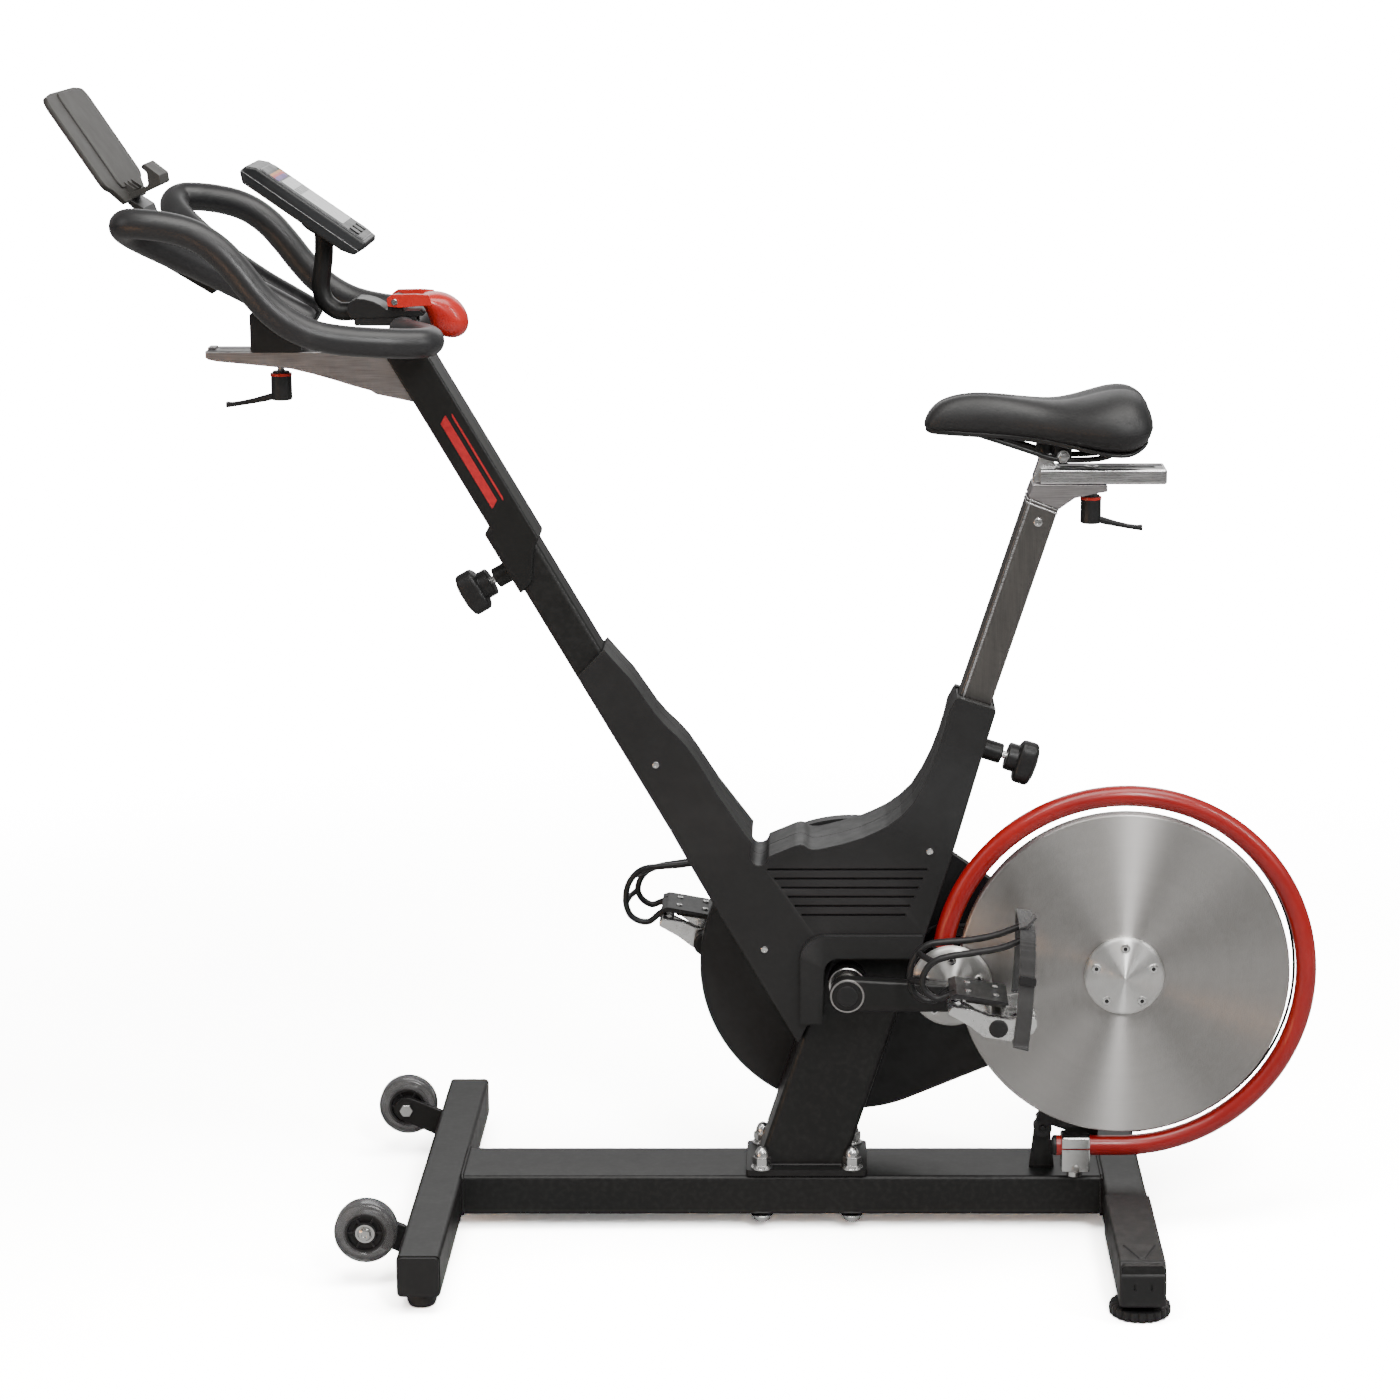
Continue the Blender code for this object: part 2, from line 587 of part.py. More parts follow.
def build_pedal(side, tip):
    """A platform pedal with a spindle, a toe cage and a strap."""
    x, z = tip
    tag = side_name(side)
    start = side * (CRANK_FACE + 0.004)
    end = side * (CRANK_FACE + 0.102)
    lo, hi = sorted((start, end))
    tilt = math.radians(9)
    turn = Lean((math.cos(tilt), -math.sin(tilt)), (math.sin(tilt), math.cos(tilt)))

    def at(along, up):
        dx, dz = turn.at(along, up)
        return (x + dx, z + dz)

    plate = [at(-0.060, 0.010), at(-0.052, 0.018), at(0.036, 0.020), at(0.044, 0.012), at(0.040, -0.002),
             at(0.014, -0.014), at(-0.014, -0.014), at(-0.034, -0.004)]
    body = prism("pedal_" + tag, plate, lo, hi, CHROME)
    for along in (-0.030, 0.0245):
        wide = 0.0105 if along > 0 else 0.013
        window = [at(along - wide, -0.05), at(along + wide, -0.05), at(along + wide, 0.05), at(along - wide, 0.05)]
        w_lo, w_hi = sorted((start + side * 0.016, end - side * 0.016))
        cut(body, prism("pedal_window", window, w_lo, w_hi, CHROME))
    spindle = rod("pedal_spindle", (x, side * (CRANK_FACE - CRANK_THICK + 0.001), z), (x, start + side * 0.02, z),
                  0.0064, CHROME, 20)
    join(body, spindle)

    # two wire-like loops of moulded plastic round the toe, joined by their feet and a bridge
    clear = GAP + 0.0002
    half = 0.0045
    mid = (lo + hi) / 2
    cage_half = 0.036
    outer = [at(-0.030, 0.0245), at(-0.064, 0.0240), at(-0.086, 0.034), at(-0.098, 0.054), at(-0.097, 0.078),
             at(-0.088, 0.096), at(-0.070, 0.103), at(-0.030, 0.104), at(0.008, 0.112), at(0.032, 0.122)]
    inner = [at(0.034, 0.116), at(0.010, 0.106), at(-0.030, 0.098), at(-0.068, 0.097), at(-0.083, 0.091),
             at(-0.091, 0.076), at(-0.092, 0.056), at(-0.081, 0.039), at(-0.062, 0.030), at(-0.030, 0.0300)]
    cage = prism("toe_cage_" + tag, outer + inner, mid - cage_half, mid + cage_half, RUBBER)
    slot = [at(-0.20, 0.046), at(-0.20, 0.2), at(0.014, 0.2), at(0.014, 0.046)]
    cut(cage, prism("cage_slot", slot, mid - cage_half + 0.010, mid + cage_half - 0.010, RUBBER))
    foot = [at(-0.052, 0.0185 + clear), at(0.010, 0.0195 + clear), at(0.010, 0.0250), at(-0.052, 0.0260)]
    join(cage, prism("cage_foot", foot, mid - cage_half, mid + cage_half, RUBBER))

    # the strap drops from the cage's upper end past both sides of the pedal, and under it
    low, top = -0.0185, 0.128
    strap = [at(0.016, low), at(0.034, low), at(0.046, 0.060), at(0.048, top), at(0.030, top), at(0.028, 0.060)]
    hole_low, hole_top = -0.0165, top - 0.002
    gap_out = [at(-0.05, hole_low), at(0.09, hole_low), at(0.09, hole_top), at(-0.05, hole_top)]
    s_lo, s_hi = lo - 0.0012, hi + 0.0012
    loop = prism("toe_strap_" + tag, strap, s_lo - 0.002, s_hi + 0.002, FABRIC)
    cut(loop, prism("strap_inside", gap_out, s_lo, s_hi, FABRIC))


def build_idler():
    """Intermediate shaft: small pulley outboard, larger pulley inboard, and a capped hub on the left."""
    x, z = IDLER_AXIS
    shaft = rod("idler_shaft", (x, -0.0770, z), (x, 0.0755, z), 0.0075, STEEL)
    small = rod("idler_small_pulley", (x, 0.0610, z), (x, 0.0750, z), IDLER_SMALL, STEEL, 32)
    join(shaft, small)
    turned("idler_pulley", wheel_profile(IDLER_LARGE, 0.0078, 0.0120, 0.006, 0.005, 0.014), (x, 0.0360, z), (0, 1, 0),
           ALUMINIUM, steps=24)
    turned("idler_hub_cap",
           [(0, 0.0180), (0.0250, 0.0145), (0.0440, 0.0095), (0.0480, 0.0060), (0.0480, 0), (0.0078, 0),
            (0.0078, 0.0145), (0, 0.0145)], (x, -0.0632, z), (0, -1, 0), ALUMINIUM, steps=40)


def build_flywheel():
    """Machined disc, axle with its small pulley, and the conical hub cap on the left."""
    x, z = FLY_AXIS
    axle = rod("flywheel_axle", (x, -0.0595, z), (x, 0.0440, z), 0.0090, STEEL)
    join(axle, rod("flywheel_pulley", (x, 0.0300, z), (x, 0.0420, z), FLY_PULLEY, STEEL, 32))
    thick, web = FLY_THICK, 0.009
    turned("flywheel_disc",
           [(0.0093, 0), (FLY_RADIUS - 0.001, 0), (FLY_RADIUS, -0.001), (FLY_RADIUS, 0.001 - thick),
            (FLY_RADIUS - 0.001, -thick), (0.160, -thick), (0.155, -web), (0.045, -web), (0.040, -thick),
            (0.0093, -thick)], (x, FLY_FACE, z), (0, -1, 0), ALUMINIUM, steps=60)
    turned("flywheel_hub_cap",
           [(0, 0.0170), (0.0200, 0.0120), (0.0430, 0.0080), (0.0465, 0.0045), (0.0465, 0.0003), (0, 0.0003)],
           (x, FLY_FACE, z), (0, -1, 0), ALUMINIUM, steps=40)


def build_guard_tube():
    """The red tube that rings the flywheel, its clamp and the brackets that stand on the beam."""
    start, end = 172.0, -90.0
    path = [(x, GUARD_Y, z) for x, z in arc(FLY_AXIS, GUARD_RADIUS, start, end, 40)]
    z_low = FLY_AXIS[1] - GUARD_RADIUS
    path += [(x, GUARD_Y, z_low) for x in (0.465, 0.440, 0.4125)]
    tube("guard_tube", path, GUARD_TUBE, RED)
    clamp = box("guard_clamp", (0.4190, GUARD_Y - 0.0155, BASE_TOP + GAP), (0.4530, GUARD_Y + 0.0155, 0.1225),
                CHROME)
    way = rod("clamp_way", (0.39, GUARD_Y, z_low), (0.48, GUARD_Y, z_low), GUARD_TUBE + 0.0005, CHROME, 24)
    under = box("clamp_under", (0.40, -0.12, 0.05), (0.47, -BEAM_HALF_WIDTH, 0.0785), CHROME)
    cut(clamp, way, under)
    round_edges(clamp, 0.0015, 1)


MAGNET_PIVOT = (0.3985, 0.1235)


def build_magnet_carriage():
    """The magnet shoe beside the flywheel's rim, on a pivot bracket that stands on the beam."""
    inner = arc(FLY_AXIS, 0.166, -97, -121, 8)
    outer = arc(FLY_AXIS, 0.2105, -118, -97, 8)
    shoe = prism("magnet_carriage", inner + [(0.3930, 0.1400)] + outer, -0.0345, -0.0205, COVER)
    x, z = MAGNET_PIVOT
    join(shoe, rod("magnet_eye", (x, -0.0345, z), (x, -0.0205, z), 0.011, COVER))
    cut(shoe, rod("magnet_bore", (x, -0.1, z), (x, 0.1, z), 0.0043, COVER, 16))
    outline = [(x - 0.015, BASE_TOP + GAP), (x + 0.015, BASE_TOP + GAP), (x + 0.009, z), (x, z + 0.009),
               (x - 0.009, z)]
    bracket = prism("magnet_bracket", outline, -0.0200, -0.0140, BLACK)
    join(bracket, rod("magnet_pin", (x, -0.0365, z), (x, -0.0150, z), 0.0040, BLACK, 16))


# ---------------------------------------------------------------- handlebar
def build_sleeve():
    """The channel that slides on the mast, with the lock knob's plate and boss under it."""
    low, high = SLEEVE_FACES
    under = 0.2035
    top_z = 1.0435
    outline = [MAST.level(low, top_z), MAST.level(high, top_z), MAST.at(0.814, high), MAST.at(0.8125, 0.2467),
               MAST.at(0.783, 0.2269), MAST.at(0.775, 0.2190), MAST.at(0.771, under), MAST.at(0.852, under),
               MAST.at(0.854, low)]
    sleeve = prism("handlebar_sleeve", outline, -SLEEVE_HALF, SLEEVE_HALF, BLACK)
    round_edges(sleeve, 0.002, 1)
    boss = rod("sleeve_boss", MAST.at3(KNOB_T, 0, under + 0.001), MAST.at3(KNOB_T, 0, 0.1835), 0.0120, BLACK)
    channel = prism("sleeve_channel", MAST.strip(0.70, 0.985, (MAST_FACES[0] - GAP, MAST_FACES[1] + GAP)),
                    -MAST_HALF - GAP, MAST_HALF + GAP, BLACK)
    pin_hole = rod("sleeve_pin_hole", MAST.at3(KNOB_T, 0, 0.15), MAST.at3(KNOB_T, 0, 0.22), 0.0048, BLACK, 16)
    join(sleeve, boss)
    cut(sleeve, channel, pin_hole)


def build_bracket():
    """Forward-reaching aluminium rail on top of the sleeve, slotted for the clamp stud."""
    face = SLEEVE_FACES[0] - GAP
    outline = [(-0.5610, 1.0475), (-0.5610, 1.0405), (-0.5480, 1.0360), (-0.4650, 1.0280), (-0.4140, 1.0145),
               (-0.3750, 1.0030), MAST.level(face, 0.9900), MAST.level(face, 1.0475)]
    rail = prism("handlebar_bracket", outline, -0.025, 0.025, ALUMINIUM)
    round_edges(rail, 0.0015, 1)
    cut(rail, box("rail_slot", (-0.550, -0.0050, 0.9), (-0.405, 0.0050, 1.2), ALUMINIUM))


def build_slider():
    """Block on the rail that carries the handlebar, with its clamp stud through the slot."""
    block = prism("handlebar_slider", [(-0.5080, 1.0478), (-0.4510, 1.0478), (-0.4510, 1.0662), (-0.5080, 1.0935)],
                  -0.034, 0.034, BLACK)
    join(block, rod("stud", (-0.4795, 0, 1.052), (-0.4795, 0, 1.0070), 0.0040, STEEL, 16))


def handlebar_side(side):
    """Centreline of one side, from the stem's tail forward, round the front and back to the rear bend."""
    half = [(-0.440, 0.034, 1.0810), (-0.470, 0.035, 1.0985), (-0.505, 0.039, 1.1185), (-0.545, 0.059, 1.1425),
            (-0.585, 0.096, 1.1680), (-0.612, 0.128, 1.1875), (-0.6205, 0.150, 1.1985), (-0.6140, 0.167, 1.2045),
            (-0.596, 0.172, 1.2045), (-0.574, 0.172, 1.2020), (-0.551, 0.172, 1.1965), (-0.531, 0.172, 1.1870),
            (-0.512, 0.172, 1.1720), (-0.494, 0.172, 1.1510), (-0.478, 0.172, 1.1300), (-0.461, 0.171, 1.1110),
            (-0.441, 0.169, 1.0955), (-0.417, 0.165, 1.0840), (-0.388, 0.158, 1.0775), (-0.356, 0.150, 1.0740),
            (-0.325, 0.140, 1.0715), (-0.305, 0.128, 1.0705), (-0.2975, 0.108, 1.0705), (-0.306, 0.084, 1.0705),
            (-0.322, 0.060, 1.0705), (-0.334, 0.034, 1.0705)]
    return [(x, side * y, z) for x, y, z in half]


def build_handlebar():
    left = handlebar_side(-1)
    right = handlebar_side(1)
    route = left + [(-0.338, 0.0, 1.0705)] + right[::-1]
    tube("handlebar", route, BAR_TUBE, RUBBER)


def build_console():
    """Computer box, its bent neck and the shifter base that it stands on."""
    along = Vector((0.1186, -0.0829)).normalized()
    up = Vector((-along.y, along.x))
    start = Vector((-0.4920, 1.2552))
    length, thick = 0.145, 0.023

    def at(a, u):
        p = start + along * a + up * u
        return (p.x, p.y)

    outline = [at(-0.010, -0.006), at(0, 0), at(length, 0), at(length + 0.003, -0.006), at(length - 0.004, -0.020),
               at(length - 0.018, -thick), at(-0.004, -thick), at(-0.013, -0.014)]
    console = prism("console", outline, -0.048, 0.048, GLOSS)
    round_edges(console, 0.002, 1)
    neck_path = smooth_path([(-0.4255, 0, 1.1690), (-0.4270, 0, 1.1480), (-0.4310, 0, 1.1200), (-0.4260, 0, 1.1020),
                             (-0.4120, 0, 1.0910), (-0.3960, 0, 1.0905)], 4)
    neck = as_mesh(tube("console_neck", neck_path, 0.0105, BLACK, sides=2))
    base = prism("shifter_base", [(-0.3940, 1.0840), (-0.3990, 1.0960), (-0.3860, 1.1060), (-0.3520, 1.1080),
                                  (-0.3380, 1.1080), (-0.3300, 1.0980), (-0.3160, 1.0960), (-0.3130, 1.0880), (-0.3700, 1.0880)],
                 -0.0210, 0.0210, BLACK)
    x, z = LEVER_PIVOT
    join(base, neck, rod("shifter_pin", (x, -0.0300, z), (x, 0.0300, z), 0.0035, BLACK, 16))


LEVER_PIVOT = (-0.3450, 1.1040)


def build_shift_lever():
    """Red fork over the shifter base, ending in a round hand bulb behind the bar."""
    x, z = LEVER_PIVOT
    outline = [(x - 0.008, z - 0.004), (x - 0.008, z + 0.005), (x, z + 0.0085), (-0.3120, 1.1115), (-0.2990, 1.1085),
               (-0.2940, 1.0980), (-0.3030, 1.0930), (-0.3120, 1.1000), (x, z - 0.0075)]
    lever = prism("resistance_lever", outline, -0.0285, 0.0285, RED)
    cut(lever, box("lever_fork", (x - 0.05, -0.0218, 0.9), (-0.3090, 0.0218, 1.2), RED),
        rod("lever_bore", (x, -0.1, z), (x, 0.1, z), 0.0038, RED, 16))
    bm = bmesh.new()
    bmesh.ops.create_uvsphere(bm, u_segments=20, v_segments=12, radius=1.0)
    bmesh.ops.scale(bm, verts=bm.verts, vec=(0.0200, 0.0230, 0.0240))
    bmesh.ops.rotate(bm, verts=bm.verts, cent=(0, 0, 0), matrix=Matrix.Rotation(math.radians(35), 3, "Y"))
    bmesh.ops.translate(bm, verts=bm.verts, vec=(-0.2870, 0, 1.0830))
    join(lever, from_bmesh("lever_bulb", bm, RED, smooth=True))


def build_tray():
    """Tilted tablet plate with a hooked ledge, on a tongue that runs under the stems."""
    low, high = Vector((-0.6394, 1.2150)), Vector((-0.7177, 1.3352))
    up = (high - low).normalized()
    out = Vector((-up.y, up.x)) * -1

    def at(along, forward):
        p = low + up * along + out * forward
        return (p.x, p.y)

    length = (high - low).length
    plate = prism("tablet_tray", [at(0, 0), at(length, 0), at(length, 0.006), at(0, 0.006)], -0.104, 0.104, GREY)
    round_edges(plate, 0.002, 1)
    hook = [at(0.002, 0.003), at(0.008, 0.006), at(0.004, 0.030), at(0.016, 0.036), at(0.024, 0.034),
            at(0.026, 0.040), at(0.006, 0.047), at(-0.004, 0.042)]
    tongue = [at(0.004, 0.002), at(-0.014, 0.012), (-0.6020, 1.1545), (-0.5450, 1.1190), (-0.5480, 1.1130),
              (-0.6060, 1.1480), at(-0.018, 0.004), at(0.0, 0.0005)]
    join(plate, prism("tray_hook", hook, -0.028, 0.028, GREY), prism("tray_tongue", tongue, -0.034, 0.034, GREY))


def clamp_lever(name, x, z_top, arm, finish):
    """Adjustable clamp handle: an upright body with an arm that drops towards its tip."""
    body_radius, depth = 0.0120, 0.033
    body = rod(name, (x, 0, z_top), (x, 0, z_top - depth), body_radius, finish)
    direction = 1 if arm > 0 else -1
    z = z_top - depth
    inboard = x - direction * 0.0035
    outline = [(inboard, z + 0.013), (x + direction * 0.006, z + 0.013), (x + arm * 0.96, z - 0.0005),
               (x + arm, z - 0.0005), (x + arm, z - 0.0085), (x + arm * 0.9, z - 0.0085), (inboard, z + 0.0005)]
    blade = prism(name + "_arm", outline, -0.0060, 0.0060, finish)
    cut(body, rod("stud_bore", (x, 0, z_top + 0.01), (x, 0, z_top - 0.019), 0.0044, finish, 16))
    join(body, blade)


def pull_knob(name, line, t, o_pin, o_hub, o_head, o_face):
    """Lobed knob on a spring pin, listed from the pin's tip to the hub, the head and its outer face."""
    direction = 1 if o_face > o_pin else -1
    pin = rod(name, line.at3(t, 0, o_pin), line.at3(t, 0, o_hub + direction * 0.004), 0.0044, STEEL, 16)
    hub = rod(name + "_hub", line.at3(t, 0, o_hub), line.at3(t, 0, o_head + direction * 0.002), 0.0165, BLACK, 24)
    centre = Vector(line.at3(t, 0, o_head))
    axis = (Vector(line.at3(t, 0, o_face)) - centre).normalized()
    along = Vector((0, 1, 0))
    across = axis.cross(along)
    mean_radius, lobe, around = 0.0245, 0.0032, 36
    bm = bmesh.new()
    ring = []
    for i in range(around):
        a = 2 * math.pi * i / around
        radius = mean_radius + lobe * math.cos(3 * a)
        ring.append(bm.verts.new(centre + along * radius * math.cos(a) + across * radius * math.sin(a)))
    face = bm.faces.new(ring)
    grown = bmesh.ops.extrude_face_region(bm, geom=[face])
    moved = [v for v in grown["geom"] if isinstance(v, bmesh.types.BMVert)]
    bmesh.ops.translate(bm, verts=moved, vec=axis * abs(o_face - o_head))
    join(pin, hub, from_bmesh(name + "_head", bm, BLACK))


# ---------------------------------------------------------------- seat
SEAT_RAIL_Z = (0.8950, 0.9130)
SEAT_STUD_X = 0.4450


def build_seat():
    low, high = SEAT_POST_FACES
    z_top = 0.8800
    outline = [SEAT.at(0.560, low), SEAT.level(low, 0.8800), SEAT.level(high, 0.8660), SEAT.at(0.560, high)]
    post = prism("seat_post", outline, -SEAT_POST_HALF, SEAT_POST_HALF, GREY)
    cut(post, prism("seat_post_bore", SEAT.strip(0.5, 0.900, (low + 0.0025, high - 0.0025)),
                    -SEAT_POST_HALF + 0.0025, SEAT_POST_HALF - 0.0025, GREY))
    head_top = SEAT_RAIL_Z[0] - GAP
    head = prism("seat_head", [(0.3770, head_top), (0.4620, head_top), (0.4620, 0.8865), (0.4250, 0.8795),
                               SEAT.level(high, 0.8666), SEAT.level(low, z_top + 0.0006)],
                 -0.024, 0.024, ALUMINIUM)
    round_edges(head, 0.0015, 1)
    x = SEAT_STUD_X
    join(head, rod("seat_stud", (x, 0, 0.890), (x, 0, SEAT_RAIL_Z[1]), 0.0040, STEEL, 16))

    rail = box("seat_rail", (0.3860, -0.0235, SEAT_RAIL_Z[0]), (0.5300, 0.0235, SEAT_RAIL_Z[1]), ALUMINIUM)
    round_edges(rail, 0.003, 2)
    casting = prism("rail_casting", [(0.3790, 0.8950), (0.3790, 0.9010), (0.3840, 0.9180), (0.3850, 0.9290),
                                     (0.3990, 0.9290), (0.4025, 0.9180), (0.4090, 0.9080), (0.4200, 0.8990)],
                    -0.0115, 0.0115, ALUMINIUM)
    join(rail, casting)
    cut(rail, box("seat_slot", (0.4090, -0.0050, 0.8), (0.5180, 0.0050, 1.0), ALUMINIUM))

    clamp = rod("saddle_clamp", (0.3930, 0, 0.9293), (0.3930, 0, 0.9400), 0.0125, BLACK)
    arm = prism("clamp_arm", [(0.3860, 0.9295), (0.4002, 0.9295), (0.4040, 0.9190), (0.4180, 0.9190), (0.4180, 0.9360),
                              (0.3960, 0.9400)], -0.0110, 0.0110, BLACK)
    join(clamp, arm)
    cut(clamp, rod("tilt_bore", (TILT_AXIS[0], -0.1, TILT_AXIS[1]), (TILT_AXIS[0], 0.1, TILT_AXIS[1]), 0.0048,
                   BLACK, 16))
    build_saddle()


TILT_AXIS = (0.4110, 0.9275)


def build_saddle():
    """Padded saddle as a loft of round-cornered sections from nose to tail, with its clamp ears below."""
    sections = [(0.2535, 0.012, 0.9570, 0.9640), (0.2600, 0.021, 0.9520, 0.9780), (0.2750, 0.026, 0.9530, 0.9880),
                (0.3100, 0.029, 0.9510, 0.9935), (0.3500, 0.034, 0.9480, 0.9905), (0.3850, 0.046, 0.9450, 0.9880),
                (0.4150, 0.062, 0.9440, 0.9905), (0.4450, 0.078, 0.9420, 0.9980), (0.4700, 0.086, 0.9380, 1.0030),
                (0.4900, 0.086, 0.9400, 1.0010), (0.5040, 0.074, 0.9520, 0.9930), (0.5110, 0.050, 0.9640, 0.9820)]
    around = 20
    bm = bmesh.new()
    rings = []
    for x, half, low, high in sections:
        ring = []
        middle, rise = (low + high) / 2, (high - low) / 2
        for i in range(around):
            a = 2 * math.pi * i / around
            squash = lambda v: math.copysign(abs(v) ** 0.72, v)
            ring.append(bm.verts.new((x, half * squash(math.cos(a)), middle + rise * squash(math.sin(a)))))
        rings.append(ring)
    for a, b in zip(rings, rings[1:]):
        for i in range(around):
            j = (i + 1) % around
            bm.faces.new((a[i], a[j], b[j], b[i]))
    bm.faces.new(rings[0])
    bm.faces.new(rings[-1])
    saddle = from_bmesh("saddle", bm, LEATHER, smooth=True)
    x, z = TILT_AXIS
    for side in (-1, 1):
        lo, hi = sorted((side * 0.0120, side * 0.0200))
        ear = prism("saddle_ear", [(0.4200, 0.9470)] + arc(TILT_AXIS, 0.0095, 20, -200, 8) + [(0.4020, 0.9470)],
                    lo, hi, BLACK)
        join(saddle, ear)
    join(saddle, rod("tilt_pin", (x, -0.0150, z), (x, 0.0150, z), 0.0044, STEEL, 16))


# ---------------------------------------------------------------- assembly
clear_scene()
BIKE = new_collection("spin_bike")
CUTTERS = new_collection("cutters")

BLACK = material("satin_black", (0.018, 0.018, 0.019), 0.42)
COVER = material("moulded_black", (0.022, 0.022, 0.023), 0.50)
GLOSS = material("gloss_black", (0.015, 0.015, 0.017), 0.20)
RUBBER = material("black_rubber", (0.020, 0.020, 0.020), 0.60)
TYRE = material("tyre", (0.08, 0.08, 0.08), 0.35)
LEATHER = material("saddle_skin", (0.025, 0.025, 0.026), 0.45)
FABRIC = material("strap_webbing", (0.060, 0.060, 0.062), 0.80)
GREY = material("dark_grey", (0.130, 0.125, 0.115), 0.45)
RED = material("signal_red", (0.480, 0.020, 0.012), 0.30)
STEEL = material("steel", (0.55, 0.55, 0.55), 0.30, 1.0)
ALUMINIUM = material("aluminium", (0.62, 0.61, 0.60), 0.28, 1.0)
CHROME = material("bright_metal", (0.80, 0.80, 0.79), 0.12, 1.0)


def build_bike():
    build_base()
    build_frame()
    for side in (-1, 1):
        build_cover(side)
    build_belt_guard()
    build_crank()
    build_idler()
    build_flywheel()
    belt("first_belt", CRANK_AXIS, CRANK_PULLEY, IDLER_AXIS, IDLER_SMALL, 0.0625, 0.0735)
    belt("second_belt", IDLER_AXIS, IDLER_LARGE, FLY_AXIS, FLY_PULLEY, 0.0305, 0.0415)
    build_guard_tube()
    build_magnet_carriage()
    build_sleeve()
    build_bracket()
    build_slider()
    build_handlebar()
    build_console()
    build_shift_lever()
    build_tray()
    clamp_lever("handlebar_clamp_lever", -0.4795, 1.0225, -0.064, BLACK)
    pull_knob("handlebar_knob", MAST, KNOB_T, 0.2060, 0.1775, 0.1650, 0.1390)
    build_seat()
    clamp_lever("seat_clamp_lever", SEAT_STUD_X, 0.8800, 0.060, BLACK)
    pull_knob("seat_knob", SEAT, SEAT_KNOB_T, 0.1222, 0.1578, 0.1700, 0.1945)


build_bike()
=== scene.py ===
"""Looks for the indoor spin bike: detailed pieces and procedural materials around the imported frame.

Metres, +Z up, floor at Z = 0, rider facing -X, rider's left at -Y.
"""
import math

import bmesh
import bpy
from mathutils import Matrix, Vector


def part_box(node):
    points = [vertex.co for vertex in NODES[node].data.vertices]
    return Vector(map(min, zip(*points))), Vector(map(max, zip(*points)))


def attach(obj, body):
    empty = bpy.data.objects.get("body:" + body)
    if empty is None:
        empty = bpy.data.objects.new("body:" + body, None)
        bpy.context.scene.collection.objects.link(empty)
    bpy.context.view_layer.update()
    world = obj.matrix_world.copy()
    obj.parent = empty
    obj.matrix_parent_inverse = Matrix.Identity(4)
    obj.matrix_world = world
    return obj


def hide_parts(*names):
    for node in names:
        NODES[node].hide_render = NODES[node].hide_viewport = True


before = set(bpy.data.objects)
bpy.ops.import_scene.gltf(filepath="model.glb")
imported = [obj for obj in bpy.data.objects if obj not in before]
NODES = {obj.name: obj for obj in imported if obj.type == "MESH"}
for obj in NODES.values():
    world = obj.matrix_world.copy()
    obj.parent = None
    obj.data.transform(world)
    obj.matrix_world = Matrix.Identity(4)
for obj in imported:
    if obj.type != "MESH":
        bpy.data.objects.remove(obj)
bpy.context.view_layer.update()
SCENE = bpy.context.scene

SIDES = (("left", -1), ("right", 1))


# ---------------------------------------------------------------- lines of tubes
class Lean:
    """A straight line of tubes in the X-Z plane: t runs up along it, o runs square to it."""

    def __init__(self, degrees):
        a = math.radians(degrees)
        self.up = (math.cos(a), math.sin(a))
        self.square = (math.sin(a), -math.cos(a))
        self.across = Vector((self.square[0], 0, self.square[1]))
        self.along = Vector((self.up[0], 0, self.up[1]))

    def at(self, t, o):
        return (t * self.up[0] + o * self.square[0], t * self.up[1] + o * self.square[1])

    def at3(self, t, y, o):
        x, z = self.at(t, o)
        return Vector((x, y, z))

    def level(self, o, z):
        return self.at((z - o * self.square[1]) / self.up[1], o)


MAST = Lean(120)
SEAT = Lean(72)
CRANK = (0.1655, 0.3095)
IDLER = (0.287, 0.311)
FLY = (0.489, 0.322)
KNOB_T = 0.7970
SEAT_KNOB_T = 0.6520


